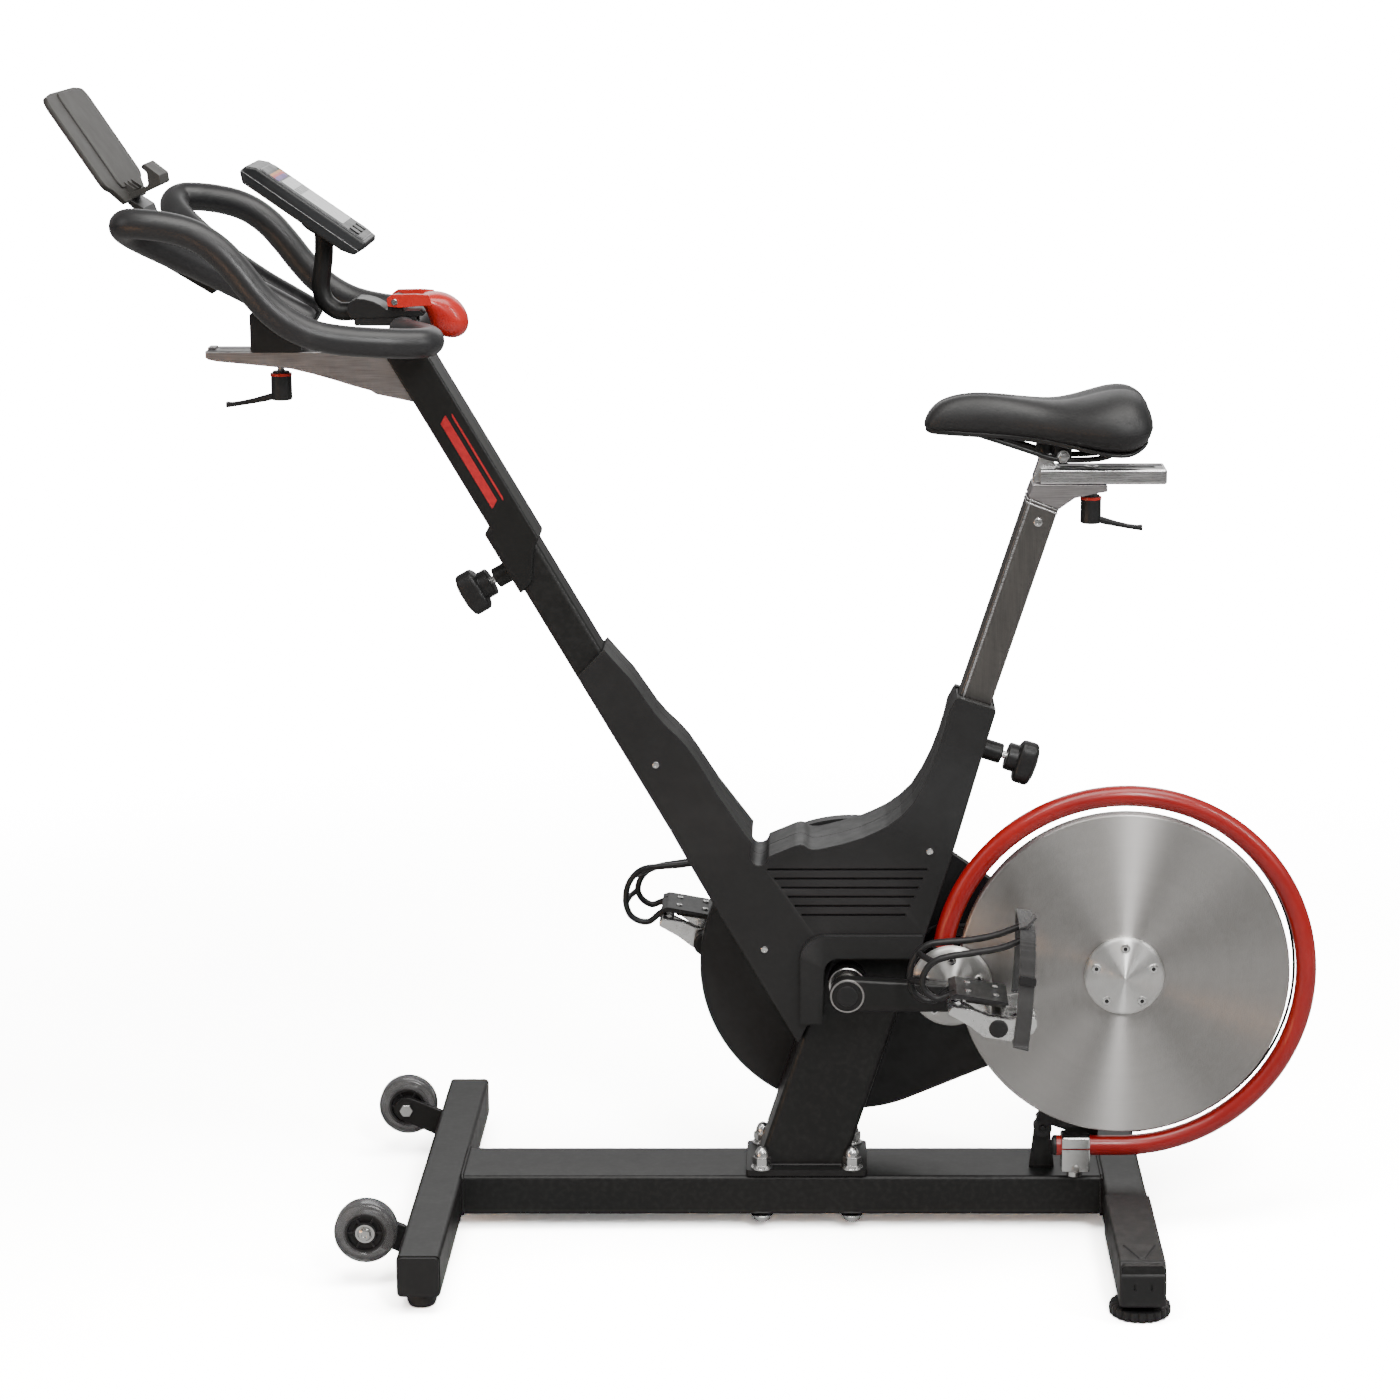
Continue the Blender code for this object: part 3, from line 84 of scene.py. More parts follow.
# ---------------------------------------------------------------- node helpers
class Nodes:
    """A small builder for one material's nodes."""

    def __init__(self, name):
        self.mat = bpy.data.materials.new(name)
        self.mat.use_nodes = True
        self.tree = self.mat.node_tree
        self.shader = self.tree.nodes["Principled BSDF"]
        self.where = self.add("ShaderNodeTexCoord").outputs["Object"]

    def add(self, kind, **values):
        node = self.tree.nodes.new(kind)
        for key, value in values.items():
            setattr(node, key, value)
        return node

    def link(self, a, b):
        self.tree.links.new(a, b)

    def put(self, socket, value):
        if isinstance(value, bpy.types.NodeSocket):
            self.link(value, socket)
        else:
            socket.default_value = value

    def mapped(self, scale=(1, 1, 1), shift=(0, 0, 0), turn=(0, 0, 0)):
        node = self.add("ShaderNodeMapping")
        node.inputs["Scale"].default_value = scale
        node.inputs["Location"].default_value = shift
        node.inputs["Rotation"].default_value = turn
        self.link(self.where, node.inputs["Vector"])
        return node.outputs["Vector"]

    def noise(self, scale, detail=3.0, rough=0.5, vector=None):
        node = self.add("ShaderNodeTexNoise")
        node.inputs["Scale"].default_value = scale
        node.inputs["Detail"].default_value = detail
        node.inputs["Roughness"].default_value = rough
        self.link(vector or self.where, node.inputs["Vector"])
        return node.outputs["Fac"]

    def cells(self, scale, feature="F1", vector=None):
        node = self.add("ShaderNodeTexVoronoi", feature=feature)
        node.inputs["Scale"].default_value = scale
        self.link(vector or self.where, node.inputs["Vector"])
        return node.outputs["Distance"]

    def wave(self, scale, axis="X", distort=0.0, vector=None, kind="BANDS"):
        node = self.add("ShaderNodeTexWave", wave_type=kind)
        if kind == "BANDS":
            node.bands_direction = axis
        else:
            node.rings_direction = axis
        node.inputs["Scale"].default_value = scale
        node.inputs["Distortion"].default_value = distort
        self.link(vector or self.where, node.inputs["Vector"])
        return node.outputs["Fac"]

    def span(self, value, low, high, out_low=0.0, out_high=1.0):
        node = self.add("ShaderNodeMapRange")
        node.inputs["From Min"].default_value = low
        node.inputs["From Max"].default_value = high
        node.inputs["To Min"].default_value = out_low
        node.inputs["To Max"].default_value = out_high
        self.link(value, node.inputs["Value"])
        return node.outputs["Result"]

    def math(self, kind, a, b=0.0):
        node = self.add("ShaderNodeMath", operation=kind)
        self.put(node.inputs[0], a)
        self.put(node.inputs[1], b)
        return node.outputs[0]

    def blend(self, factor, a, b):
        node = self.add("ShaderNodeMix", data_type="RGBA")
        self.put(node.inputs["Factor"], factor)
        for socket, value in ((node.inputs[6], a), (node.inputs[7], b)):
            self.put(socket, (*value, 1.0) if isinstance(value, tuple) else value)
        return node.outputs[2]

    def bump(self, height, depth, strength=1.0, below=None):
        node = self.add("ShaderNodeBump")
        node.inputs["Distance"].default_value = depth
        node.inputs["Strength"].default_value = strength
        self.link(height, node.inputs["Height"])
        if below is not None:
            self.link(below, node.inputs["Normal"])
        return node.outputs["Normal"]

    def edges(self):
        """1 on convex edges, 0 elsewhere."""
        geometry = self.add("ShaderNodeNewGeometry")
        return self.span(geometry.outputs["Pointiness"], 0.52, 0.60)

    def close(self, base=None, rough=None, metal=None, normal=None, **sockets):
        names = {"base": "Base Color", "rough": "Roughness", "metal": "Metallic", "normal": "Normal"}
        for key, value in (("base", base), ("rough", rough), ("metal", metal), ("normal", normal)):
            if value is None:
                continue
            if isinstance(value, tuple):
                value = (*value, 1.0)
            self.put(self.shader.inputs[names[key]], value)
        for key, value in sockets.items():
            self.shader.inputs[key.replace("_", " ")].default_value = value
        return self.mat


# ---------------------------------------------------------------- materials
def powder_coat(name, colour, rough=0.36, peel=0.00003):
    """Satin powder coat: faint orange peel, lighter in patches along its convex edges, with thin dust mottling."""
    n = Nodes(name)
    mottle = n.noise(9.0, 4.0)
    lighter = tuple(min(1.0, c * 1.9 + 0.012) for c in colour)
    tint = n.blend(n.span(mottle, 0.35, 0.7, 0.0, 0.12), colour, lighter)
    # convex edges made lighter in noisy patches
    tint = n.blend(n.math("MULTIPLY", n.edges(), n.span(n.noise(160.0), 0.45, 0.75, 0.0, 0.20)), tint,
                   tuple(min(1.0, c * 3 + 0.03) for c in colour))
    grain = n.noise(1100.0, 2.0)
    return n.close(base=tint, rough=n.span(n.noise(42.0, 5.0), 0.3, 0.7, rough, rough + 0.05),
                   normal=n.bump(grain, peel, 0.5), Specular_IOR_Level=0.34)


def moulded(name, colour, rough=0.46, scale=1500.0, depth=0.00006):
    """Spark-eroded moulded plastic: a fine pebble grain with slow gloss variation."""
    n = Nodes(name)
    pebble = n.cells(scale)
    tint = n.blend(n.span(n.noise(7.0, 5.0), 0.35, 0.7, 0.0, 0.4), colour,
                   tuple(c * 1.6 + 0.004 for c in colour))
    tint = n.blend(n.math("MULTIPLY", n.edges(), 0.35), tint, tuple(c * 2.6 + 0.02 for c in colour))
    return n.close(base=tint, Specular_IOR_Level=0.36,
                   rough=n.span(n.noise(60.0, 4.0), 0.3, 0.7, rough - 0.06, rough + 0.06),
                   normal=n.bump(pebble, depth, 0.6))


def dipped_rubber():
    """Soft dipped coating of the handlebar: smooth, with a low sheen, a few scuffs and a fine grain."""
    n = Nodes("dipped_rubber")
    scuff = n.span(n.noise(35.0, 8.0, 0.7), 0.55, 0.75)
    tint = n.blend(n.math("MULTIPLY", scuff, 0.35), (0.020, 0.020, 0.021), (0.050, 0.050, 0.051))
    height = n.math("ADD", n.noise(700.0, 3.0), n.math("MULTIPLY", n.noise(90.0, 2.0), 1.5))
    return n.close(base=tint, rough=n.span(n.noise(22.0, 4.0), 0.3, 0.7, 0.34, 0.44),
                   normal=n.bump(height, 0.00007, 0.5), Sheen_Weight=0.08, Sheen_Roughness=0.4)


def rubber(name="black_rubber_part", colour=(0.020, 0.020, 0.020)):
    n = Nodes(name)
    tint = n.blend(n.span(n.noise(60.0, 6.0), 0.4, 0.7), colour, tuple(c * 2.2 + 0.01 for c in colour))
    return n.close(base=tint, rough=n.span(n.noise(30.0), 0.3, 0.7, 0.55, 0.72),
                   normal=n.bump(n.noise(900.0, 3.0), 0.0001, 0.5))


def leatherette():
    """Saddle skin: shrunken leather grain, with gloss that varies in slow patches."""
    n = Nodes("saddle_leatherette")
    grain = n.cells(620.0, "DISTANCE_TO_EDGE")
    fine = n.noise(1500.0, 2.0)
    height = n.math("ADD", n.span(grain, 0.0, 0.25), n.math("MULTIPLY", fine, 0.3))
    tint = n.blend(n.span(grain, 0.0, 0.12), (0.006, 0.006, 0.006), (0.014, 0.014, 0.0145))
    tint = n.blend(n.span(n.noise(11.0, 4.0), 0.4, 0.75, 0.0, 0.4), tint, (0.026, 0.026, 0.027))
    return n.close(base=tint, rough=n.span(n.noise(14.0, 3.0), 0.3, 0.7, 0.40, 0.52),
                   normal=n.bump(height, 0.00012, 0.45), Sheen_Weight=0.04, Sheen_Roughness=0.35)


def brushed(name, colour, rough, along=(1, 0, 0), dark=0.55, clear=0.0):
    """Extruded or brushed aluminium with long fine streaks along one direction."""
    n = Nodes(name)
    squeeze = tuple(25.0 if a else 1400.0 for a in along)
    streak = n.noise(1.0, 4.0, 0.6, n.mapped(scale=squeeze))
    tint = n.blend(n.span(streak, 0.3, 0.7), tuple(c * dark for c in colour), colour)
    cloud = n.noise(14.0, 4.0)
    tint = n.blend(n.span(cloud, 0.4, 0.8, 0.0, 0.25), tint, tuple(min(1, c * 1.25) for c in colour))
    return n.close(base=tint, rough=n.span(streak, 0.3, 0.7, rough - 0.06, rough + 0.08), metal=1.0,
                   normal=n.bump(streak, 0.00003, 0.35), Coat_Weight=clear, Coat_Roughness=0.1)


def lathe_turned(name, colour=(0.52, 0.505, 0.49), ring=2600.0, centre=FLY):
    """Face-turned metal: fine concentric tool marks, stretched highlights and faint heat tint."""
    n = Nodes(name)
    place = n.mapped(shift=(-centre[0], 0, -centre[1]))
    split = n.add("ShaderNodeSeparateXYZ")
    n.link(place, split.inputs[0])
    across, up = split.outputs["X"], split.outputs["Z"]
    radius = n.math("SQRT", n.math("ADD", n.math("MULTIPLY", across, across), n.math("MULTIPLY", up, up)))
    swirl = n.add("ShaderNodeCombineXYZ")
    n.link(n.math("MULTIPLY", radius, ring), swirl.inputs["X"])
    marks = n.noise(1.0, 3.0, 0.7, swirl.outputs[0])
    slow = n.add("ShaderNodeCombineXYZ")
    n.link(n.math("MULTIPLY", radius, 90.0), slow.inputs["X"])
    bands = n.noise(1.0, 2.0, 0.5, slow.outputs[0])
    tint = n.blend(n.span(marks, 0.3, 0.7), tuple(c * 0.86 for c in colour), colour)
    tint = n.blend(n.span(bands, 0.35, 0.7, 0.0, 0.25), tint, tuple(c * 0.8 for c in colour))
    tangent = n.add("ShaderNodeTangent", direction_type="RADIAL", axis="Y")
    n.link(tangent.outputs[0], n.shader.inputs["Tangent"])
    return n.close(base=tint, rough=n.span(marks, 0.3, 0.7, 0.36, 0.44), metal=1.0,
                   normal=n.bump(marks, 0.00001, 0.25), Anisotropic=0.97, Anisotropic_Rotation=0.25)


def bright(name, colour=(0.78, 0.78, 0.77), rough=0.14, wear=0.35):
    """Plated or polished metal with smudges and hairline scratches."""
    n = Nodes(name)
    smudge = n.noise(55.0, 6.0, 0.65)
    tint = n.blend(n.span(smudge, 0.45, 0.75, 0.0, wear), colour, tuple(c * 0.62 for c in colour))
    return n.close(base=tint, rough=n.span(smudge, 0.35, 0.75, rough, rough + 0.16), metal=1.0,
                   normal=n.bump(n.noise(260.0, 5.0), 0.00003, 0.3))


def glossy_red():
    """Deep red powder coat under a clear layer."""
    n = Nodes("red_gloss_coat")
    tint = n.blend(n.span(n.noise(12.0, 4.0), 0.35, 0.7), (0.30, 0.003, 0.002), (0.38, 0.006, 0.003))
    tint = n.blend(n.math("MULTIPLY", n.edges(), 0.3), tint, (0.55, 0.05, 0.035))
    return n.close(base=tint, rough=n.span(n.noise(40.0, 4.0), 0.3, 0.7, 0.30, 0.38),
                   normal=n.bump(n.noise(800.0, 2.0), 0.00003, 0.4), Coat_Weight=0.45, Coat_Roughness=0.16)


def red_plastic():
    n = Nodes("red_moulded_grip")
    tint = n.blend(n.span(n.noise(18.0, 4.0), 0.35, 0.7), (0.50, 0.014, 0.010), (0.62, 0.030, 0.020))
    return n.close(base=tint, rough=n.span(n.noise(40.0, 4.0), 0.3, 0.7, 0.24, 0.34),
                   normal=n.bump(n.noise(600.0, 2.0), 0.00005, 0.3), Coat_Weight=0.3, Coat_Roughness=0.12)


def webbing():
    """Woven strap: plain weave of flat yarns."""
    n = Nodes("woven_webbing")
    warp = n.wave(420.0, "Y")
    weft = n.wave(300.0, "Z")
    weave = n.math("MAXIMUM", n.math("MULTIPLY", warp, 0.8), weft)
    tint = n.blend(weave, (0.012, 0.012, 0.012), (0.060, 0.060, 0.061))
    return n.close(base=tint, rough=0.75, normal=n.bump(weave, 0.00035, 0.8), Sheen_Weight=0.25)


def clear_tyre():
    """Smoke-grey polyurethane tread."""
    n = Nodes("smoke_polyurethane")
    tint = n.blend(n.span(n.noise(50.0, 4.0), 0.35, 0.7), (0.20, 0.20, 0.205), (0.30, 0.30, 0.305))
    return n.close(base=tint, rough=n.span(n.noise(70.0, 3.0), 0.3, 0.7, 0.12, 0.24),
                   Transmission_Weight=0.75,
                   IOR=1.45, Coat_Weight=0.3, Coat_Roughness=0.08)


def screen_glass():
    """Dark display window with a faint diagonal smear."""
    n = Nodes("display_window")
    smear = n.noise(30.0, 5.0, 0.6, n.mapped(scale=(1, 3, 1), turn=(0, 0.6, 0)))
    return n.close(base=n.blend(n.span(smear, 0.4, 0.7), (0.035, 0.040, 0.042), (0.075, 0.085, 0.088)),
                   rough=n.span(smear, 0.4, 0.7, 0.10, 0.2), Coat_Weight=0.6, Coat_Roughness=0.05)


def plain(name, colour, rough=0.4):
    n = Nodes(name)
    tint = n.blend(n.span(n.noise(150.0, 3.0), 0.35, 0.7), colour, tuple(c * 0.75 for c in colour))
    return n.close(base=tint, rough=n.span(n.noise(90.0), 0.3, 0.7, rough - 0.05, rough + 0.08))


PAINT = powder_coat("black_powder_coat", (0.0095, 0.0094, 0.0092))
COVER = moulded("black_moulded_cover", (0.0135, 0.0135, 0.0138), 0.47)
HARD = moulded("black_hard_plastic", (0.012, 0.012, 0.0123), 0.36, 2200.0, 0.00003)
CASE = moulded("console_case_plastic", (0.015, 0.016, 0.017), 0.34, 2200.0, 0.00002)
GRIP = dipped_rubber()
RUBBER = rubber()
SKIN = leatherette()
RAIL = brushed("brushed_grey_aluminium", (0.50, 0.475, 0.475), 0.36)
BRIGHT_RAIL = brushed("brushed_bright_aluminium", (0.90, 0.89, 0.89), 0.26)
TURNED = lathe_turned("face_turned_flywheel")
CAP = lathe_turned("face_turned_cap", (0.90, 0.89, 0.87), 3200.0)
IDLER_CAP = lathe_turned("face_turned_idler_cap", (0.72, 0.71, 0.69), 3200.0, IDLER)
CHROME = bright("bright_plating")
CAST = bright("polished_casting", (0.80, 0.80, 0.79), 0.20, 0.5)
SHADE_STEEL = bright("dull_steel", (0.42, 0.41, 0.40), 0.30, 0.4)
RED = glossy_red()
RED_GRIP = red_plastic()
STRAP = webbing()
TYRE = clear_tyre()
TRAY = powder_coat("warm_grey_coat", (0.036, 0.034, 0.031), 0.55)
POST = brushed("anodised_seat_post", (0.18, 0.170, 0.162), 0.38, along=(0, 0, 1), dark=0.8)
GLASS = screen_glass()
RED_PRINT = plain("red_print", (0.55, 0.012, 0.018), 0.5)
BEZEL = bright("console_bezel_metal", (0.20, 0.20, 0.205), 0.30, 0.3)
READOUT = plain("readout_segments", (0.17, 0.18, 0.18), 0.35)
MARK_GREEN = plain("mark_green", (0.10, 0.32, 0.06), 0.4)
MARK_AMBER = plain("mark_amber", (0.60, 0.22, 0.02), 0.4)
MARK_RED = plain("mark_red", (0.55, 0.02, 0.02), 0.4)
MARK_VIOLET = plain("mark_violet", (0.12, 0.05, 0.28), 0.4)


# ---------------------------------------------------------------- mesh helpers
def arc(centre, radius, start, end, count):
    """Points on an arc in the X-Z plane; degrees from +X towards +Z."""
    out = []
    for i in range(count + 1):
        a = math.radians(start + (end - start) * i / count)
        out.append((centre[0] + radius * math.cos(a), centre[1] + radius * math.sin(a)))
    return out


def rounded(points, radius, steps=4):
    """A closed outline with every corner rounded; radius is one number or one per corner."""
    out = []
    count = len(points)
    for i, here in enumerate(points):
        r = radius[i] if isinstance(radius, (list, tuple)) else radius
        here = Vector(here)
        a, b = Vector(points[i - 1]) - here, Vector(points[(i + 1) % count]) - here
        la, lb = a.length, b.length
        a.normalize()
        b.normalize()
        bend = math.pi - math.acos(max(-1.0, min(1.0, a.dot(b))))
        if r <= 0 or bend < 0.05:
            out.append(tuple(here))
            continue
        cut = min(r * math.tan(bend / 2), la * 0.48, lb * 0.48)
        r = cut / math.tan(bend / 2)
        centre = here + (a + b).normalized() * (r / math.sin((math.pi - bend) / 2))
        start, end = here + a * cut - centre, here + b * cut - centre
        for k in range(steps + 1):
            f = k / steps
            w = start * math.sin((1 - f) * bend) / math.sin(bend) + end * math.sin(f * bend) / math.sin(bend)
            out.append(tuple(centre + w))
    return out


def smooth_path(points, per_span=6, closed=False):
    """A Catmull-Rom curve through the points."""
    count = len(points)
    spans = count if closed else count - 1

    def pick(i):
        return Vector(points[i % count] if closed else points[min(max(i, 0), count - 1)])

    out = []
    for i in range(spans):
        a, b, c, d = pick(i - 1), pick(i), pick(i + 1), pick(i + 2)
        for k in range(per_span):
            t = k / per_span
            out.append(0.5 * (2 * b + (c - a) * t + (2 * a - 5 * b + 4 * c - d) * t * t
                              + (3 * b - a - 3 * c + d) * t ** 3))
    if not closed:
        out.append(Vector(points[-1]))
    return out


def prism_bm(outline, y_low, y_high):
    bm = bmesh.new()
    face = bm.faces.new([bm.verts.new((x, y_low, z)) for x, z in outline])
    grown = bmesh.ops.extrude_face_region(bm, geom=[face])
    moved = [v for v in grown["geom"] if isinstance(v, bmesh.types.BMVert)]
    bmesh.ops.translate(bm, verts=moved, vec=(0, y_high - y_low, 0))
    bmesh.ops.recalc_face_normals(bm, faces=bm.faces)
    return bm


def box_bm(low, high):
    bm = bmesh.new()
    bmesh.ops.create_cube(bm, size=1.0)
    bmesh.ops.scale(bm, verts=bm.verts, vec=[b - a for a, b in zip(low, high)])
    bmesh.ops.translate(bm, verts=bm.verts, vec=[(a + b) / 2 for a, b in zip(low, high)])
    return bm


def lathe_bm(profile, steps, place, axis):
    """Turn (radius, height) points about an axis through place; open at radius 0, or closed."""
    bm = bmesh.new()
    turn = Vector(axis).to_track_quat("Z", "Y").to_matrix().to_4x4()
    move = Matrix.Translation(Vector(place)) @ turn
    rings = []
    for r, h in profile:
        if r < 1e-7:
            rings.append([bm.verts.new(move @ Vector((0, 0, h)))])
            continue
        rings.append([bm.verts.new(move @ Vector((r * math.cos(2 * math.pi * i / steps),
                                                  r * math.sin(2 * math.pi * i / steps), h)))
                      for i in range(steps)])
    ends = len(rings[0]) == 1 and len(rings[-1]) == 1
    pairs = list(zip(rings, rings[1:])) + ([] if ends else [(rings[-1], rings[0])])
    for a, b in pairs:
        for i in range(steps):
            j = (i + 1) % steps
            ring = [a[i % len(a)], a[j % len(a)], b[j % len(b)], b[i % len(b)]]
            unique = []
            for v in ring:
                if v not in unique:
                    unique.append(v)
            if len(unique) > 2:
                bm.faces.new(unique)
    bmesh.ops.recalc_face_normals(bm, faces=bm.faces)
    return bm


def sweep_bm(path, radius, sides=16, closed=False, squash=1.0, up=(0, 0, 1)):
    """A tube along a path, its frames carried along without twist; radius may be a function of 0..1."""
    points = [Vector(p) for p in path]
    count = len(points)
    bm = bmesh.new()
    rings = []
    side = None
    for i, here in enumerate(points):
        before = points[i - 1] if (i or closed) else here
        after = points[(i + 1) % count] if (i < count - 1 or closed) else here
        along = (after - before).normalized()
        if side is None:
            side = along.cross(Vector(up))
            if side.length < 1e-4:
                side = along.cross(Vector((0, 1, 0)))
        side = (side - along * side.dot(along)).normalized()
        over = along.cross(side)
        r = radius(i / (count - 1)) if callable(radius) else radius
        rings.append([bm.verts.new(here + side * r * math.cos(2 * math.pi * k / sides)
                                   + over * r * squash * math.sin(2 * math.pi * k / sides)) for k in range(sides)])
    pairs = list(zip(rings, rings[1:])) + ([(rings[-1], rings[0])] if closed else [])
    for a, b in pairs:
        for k in range(sides):
            m = (k + 1) % sides
            bm.faces.new((a[k], a[m], b[m], b[k]))
    if not closed:
        bm.faces.new(rings[0])
        bm.faces.new(rings[-1])
    bmesh.ops.recalc_face_normals(bm, faces=bm.faces)
    return bm


def merge(*parts):
    """Several bmeshes as one."""
    out = bmesh.new()
    for part in parts:
        mesh = bpy.data.meshes.new("part")
        part.to_mesh(mesh)
        part.free()
        out.from_mesh(mesh)
        bpy.data.meshes.remove(mesh)
    return out


def bevel_bm(bm, width, segments=3, test=None, angle=32):
    """Round the sharp edges that pass the test, or all of them."""
    bm.normal_update()
    chosen = [e for e in bm.edges if len(e.link_faces) == 2 and e.calc_face_angle(0) > math.radians(angle)
              and (test is None or test(e))]
    bmesh.ops.bevel(bm, geom=chosen, offset=width, segments=segments, profile=0.5, affect="EDGES",
                    clamp_overlap=True)
    return bm


def piece(name, bm, mat, body, replaces=(), sharp=38):
    """Finish a bmesh as a piece that rides on a body."""
    mesh = bpy.data.meshes.new(name)
    bm.normal_update()
    bm.to_mesh(mesh)
    bm.free()
    mesh.shade_smooth()
    mesh.set_sharp_from_angle(angle=math.radians(sharp))
    obj = bpy.data.objects.new(name, mesh)
    obj.data.materials.append(mat)
    SCENE.collection.objects.link(obj)
    normals = obj.modifiers.new("normals", "WEIGHTED_NORMAL")
    normals.keep_sharp = True
    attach(obj, body)
    if replaces:
        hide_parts(*replaces)
    return obj


def subtract(obj, *cutters):
    """Cut solids out of a piece and keep the result as its mesh."""
    for bm in cutters:
        mesh = bpy.data.meshes.new("cutter")
        bm.to_mesh(mesh)
        bm.free()
        cutter = bpy.data.objects.new("cutter", mesh)
        SCENE.collection.objects.link(cutter)
        step = obj.modifiers.new("cut", "BOOLEAN")
        step.operation = "DIFFERENCE"
        step.solver = "EXACT"
        step.object = cutter
        while obj.modifiers[0] != step:
            obj.modifiers.move(len(obj.modifiers) - 1, 0)
        bpy.context.view_layer.update()
        normals = [m for m in obj.modifiers if m.type == "WEIGHTED_NORMAL"]
        for m in normals:
            obj.modifiers.remove(m)
        seen = obj.evaluated_get(bpy.context.evaluated_depsgraph_get())
        result = bpy.data.meshes.new_from_object(seen)
        obj.modifiers.clear()
        old = obj.data
        obj.data = result
        bpy.data.meshes.remove(old)
        bpy.data.objects.remove(cutter)
    obj.data.shade_smooth()
    obj.data.set_sharp_from_angle(angle=math.radians(34))
    obj.modifiers.new("normals", "WEIGHTED_NORMAL").keep_sharp = True
    return obj


def paint_node(name, mat):
    obj = NODES[name]
    obj.data.materials.clear()
    obj.data.materials.append(mat)
    if not obj.data.attributes.get("sharp_edge"):
        obj.data.shade_smooth()
        obj.data.set_sharp_from_angle(angle=math.radians(35))


def socket_head(place, axis, radius, height, sides=20):
    """A domed bolt head with a hexagon socket."""
    deep = height * 0.55
    hexagon = radius * 0.48
    return lathe_bm([(0, height - deep), (hexagon * 0.9, height - deep), (hexagon, height * 0.97),
                     (radius * 0.70, height), (radius * 0.92, height * 0.82), (radius, height * 0.5),
                     (radius, 0), (0, 0)], sides, place, axis)


def hexagon_nut(place, axis, radius, height, dome=0.0):
    """A hexagon nut with chamfered corners; dome makes it an acorn nut."""
    bm = bmesh.new()
    turn = Matrix.Translation(Vector(place)) @ Vector(axis).to_track_quat("Z", "Y").to_matrix().to_4x4()
    rings = []
    for r, h in ((radius * 0.93, 0), (radius, height * 0.12), (radius, height * 0.86),
                 (radius * 0.90, height)):
        rings.append([bm.verts.new(turn @ Vector((r * math.cos(math.pi * k / 3),
                                                  r * math.sin(math.pi * k / 3), h)))
                      for k in range(6)])
    for a, b in zip(rings, rings[1:]):
        for k in range(6):
            m = (k + 1) % 6
            bm.faces.new((a[k], a[m], b[m], b[k]))
    bm.faces.new(rings[0])
    bm.faces.new(rings[-1])
    bmesh.ops.recalc_face_normals(bm, faces=bm.faces)
    if not dome:
        return bm
    r = radius * 0.78
    profile = [(0, height + dome)]
    for k in range(1, 6):
        a = math.pi / 2 * k / 6
        profile.append((r * math.sin(a), height + dome * math.cos(a)))
    profile += [(r, height * 0.98), (0, height * 0.98)]
    return merge(bm, lathe_bm(profile, 20, place, axis))


# ---------------------------------------------------------------- more shape helpers
def box_tube_bm(line, low, high, faces, half, radius, steps=4):
    """A rounded rectangular bar along a line; low and high are t values or functions of o."""
    mid, reach = (faces[0] + faces[1]) / 2, (faces[1] - faces[0]) / 2
    outline = rounded([(-reach, -half), (reach, -half), (reach, half), (-reach, half)], radius, steps)
    bm = bmesh.new()
    rings = []
    for end in (low, high):
        ring = []
        for o, y in outline:
            t = end(mid + o) if callable(end) else end
            ring.append(bm.verts.new(line.at3(t, y, mid + o)))
        rings.append(ring)
    count = len(outline)
    for k in range(count):
        m = (k + 1) % count
        bm.faces.new((rings[0][k], rings[0][m], rings[1][m], rings[1][k]))
    bm.faces.new(rings[0])
    bm.faces.new(rings[1])
    bmesh.ops.recalc_face_normals(bm, faces=bm.faces)
    return bm


def plate_bm(origin, across, along, outline, thick):
    """A flat outline of (across, along) points, thickened along across x along."""
    origin, across, along = Vector(origin), Vector(across).normalized(), Vector(along).normalized()
    out = across.cross(along).normalized()
    bm = bmesh.new()
    face = bm.faces.new([bm.verts.new(origin + across * a + along * b) for a, b in outline])
    grown = bmesh.ops.extrude_face_region(bm, geom=[face])
    moved = [v for v in grown["geom"] if isinstance(v, bmesh.types.BMVert)]
    bmesh.ops.translate(bm, verts=moved, vec=out * thick)
    bmesh.ops.recalc_face_normals(bm, faces=bm.faces)
    return bm


def rod_bm(start, end, radius, chamfer=0.0, steps=24, end_radius=None):
    """A round bar with chamfered ends."""
    start, end = Vector(start), Vector(end)
    length = (end - start).length
    r2 = radius if end_radius is None else end_radius
    c = chamfer
    profile = [(0, length), (r2 - c, length), (r2, length - c), (radius, c), (radius - c, 0), (0, 0)]
    if c <= 0:
        profile = [(0, length), (r2, length), (radius, 0), (0, 0)]
    return lathe_bm(profile, steps, start, (end - start).normalized())


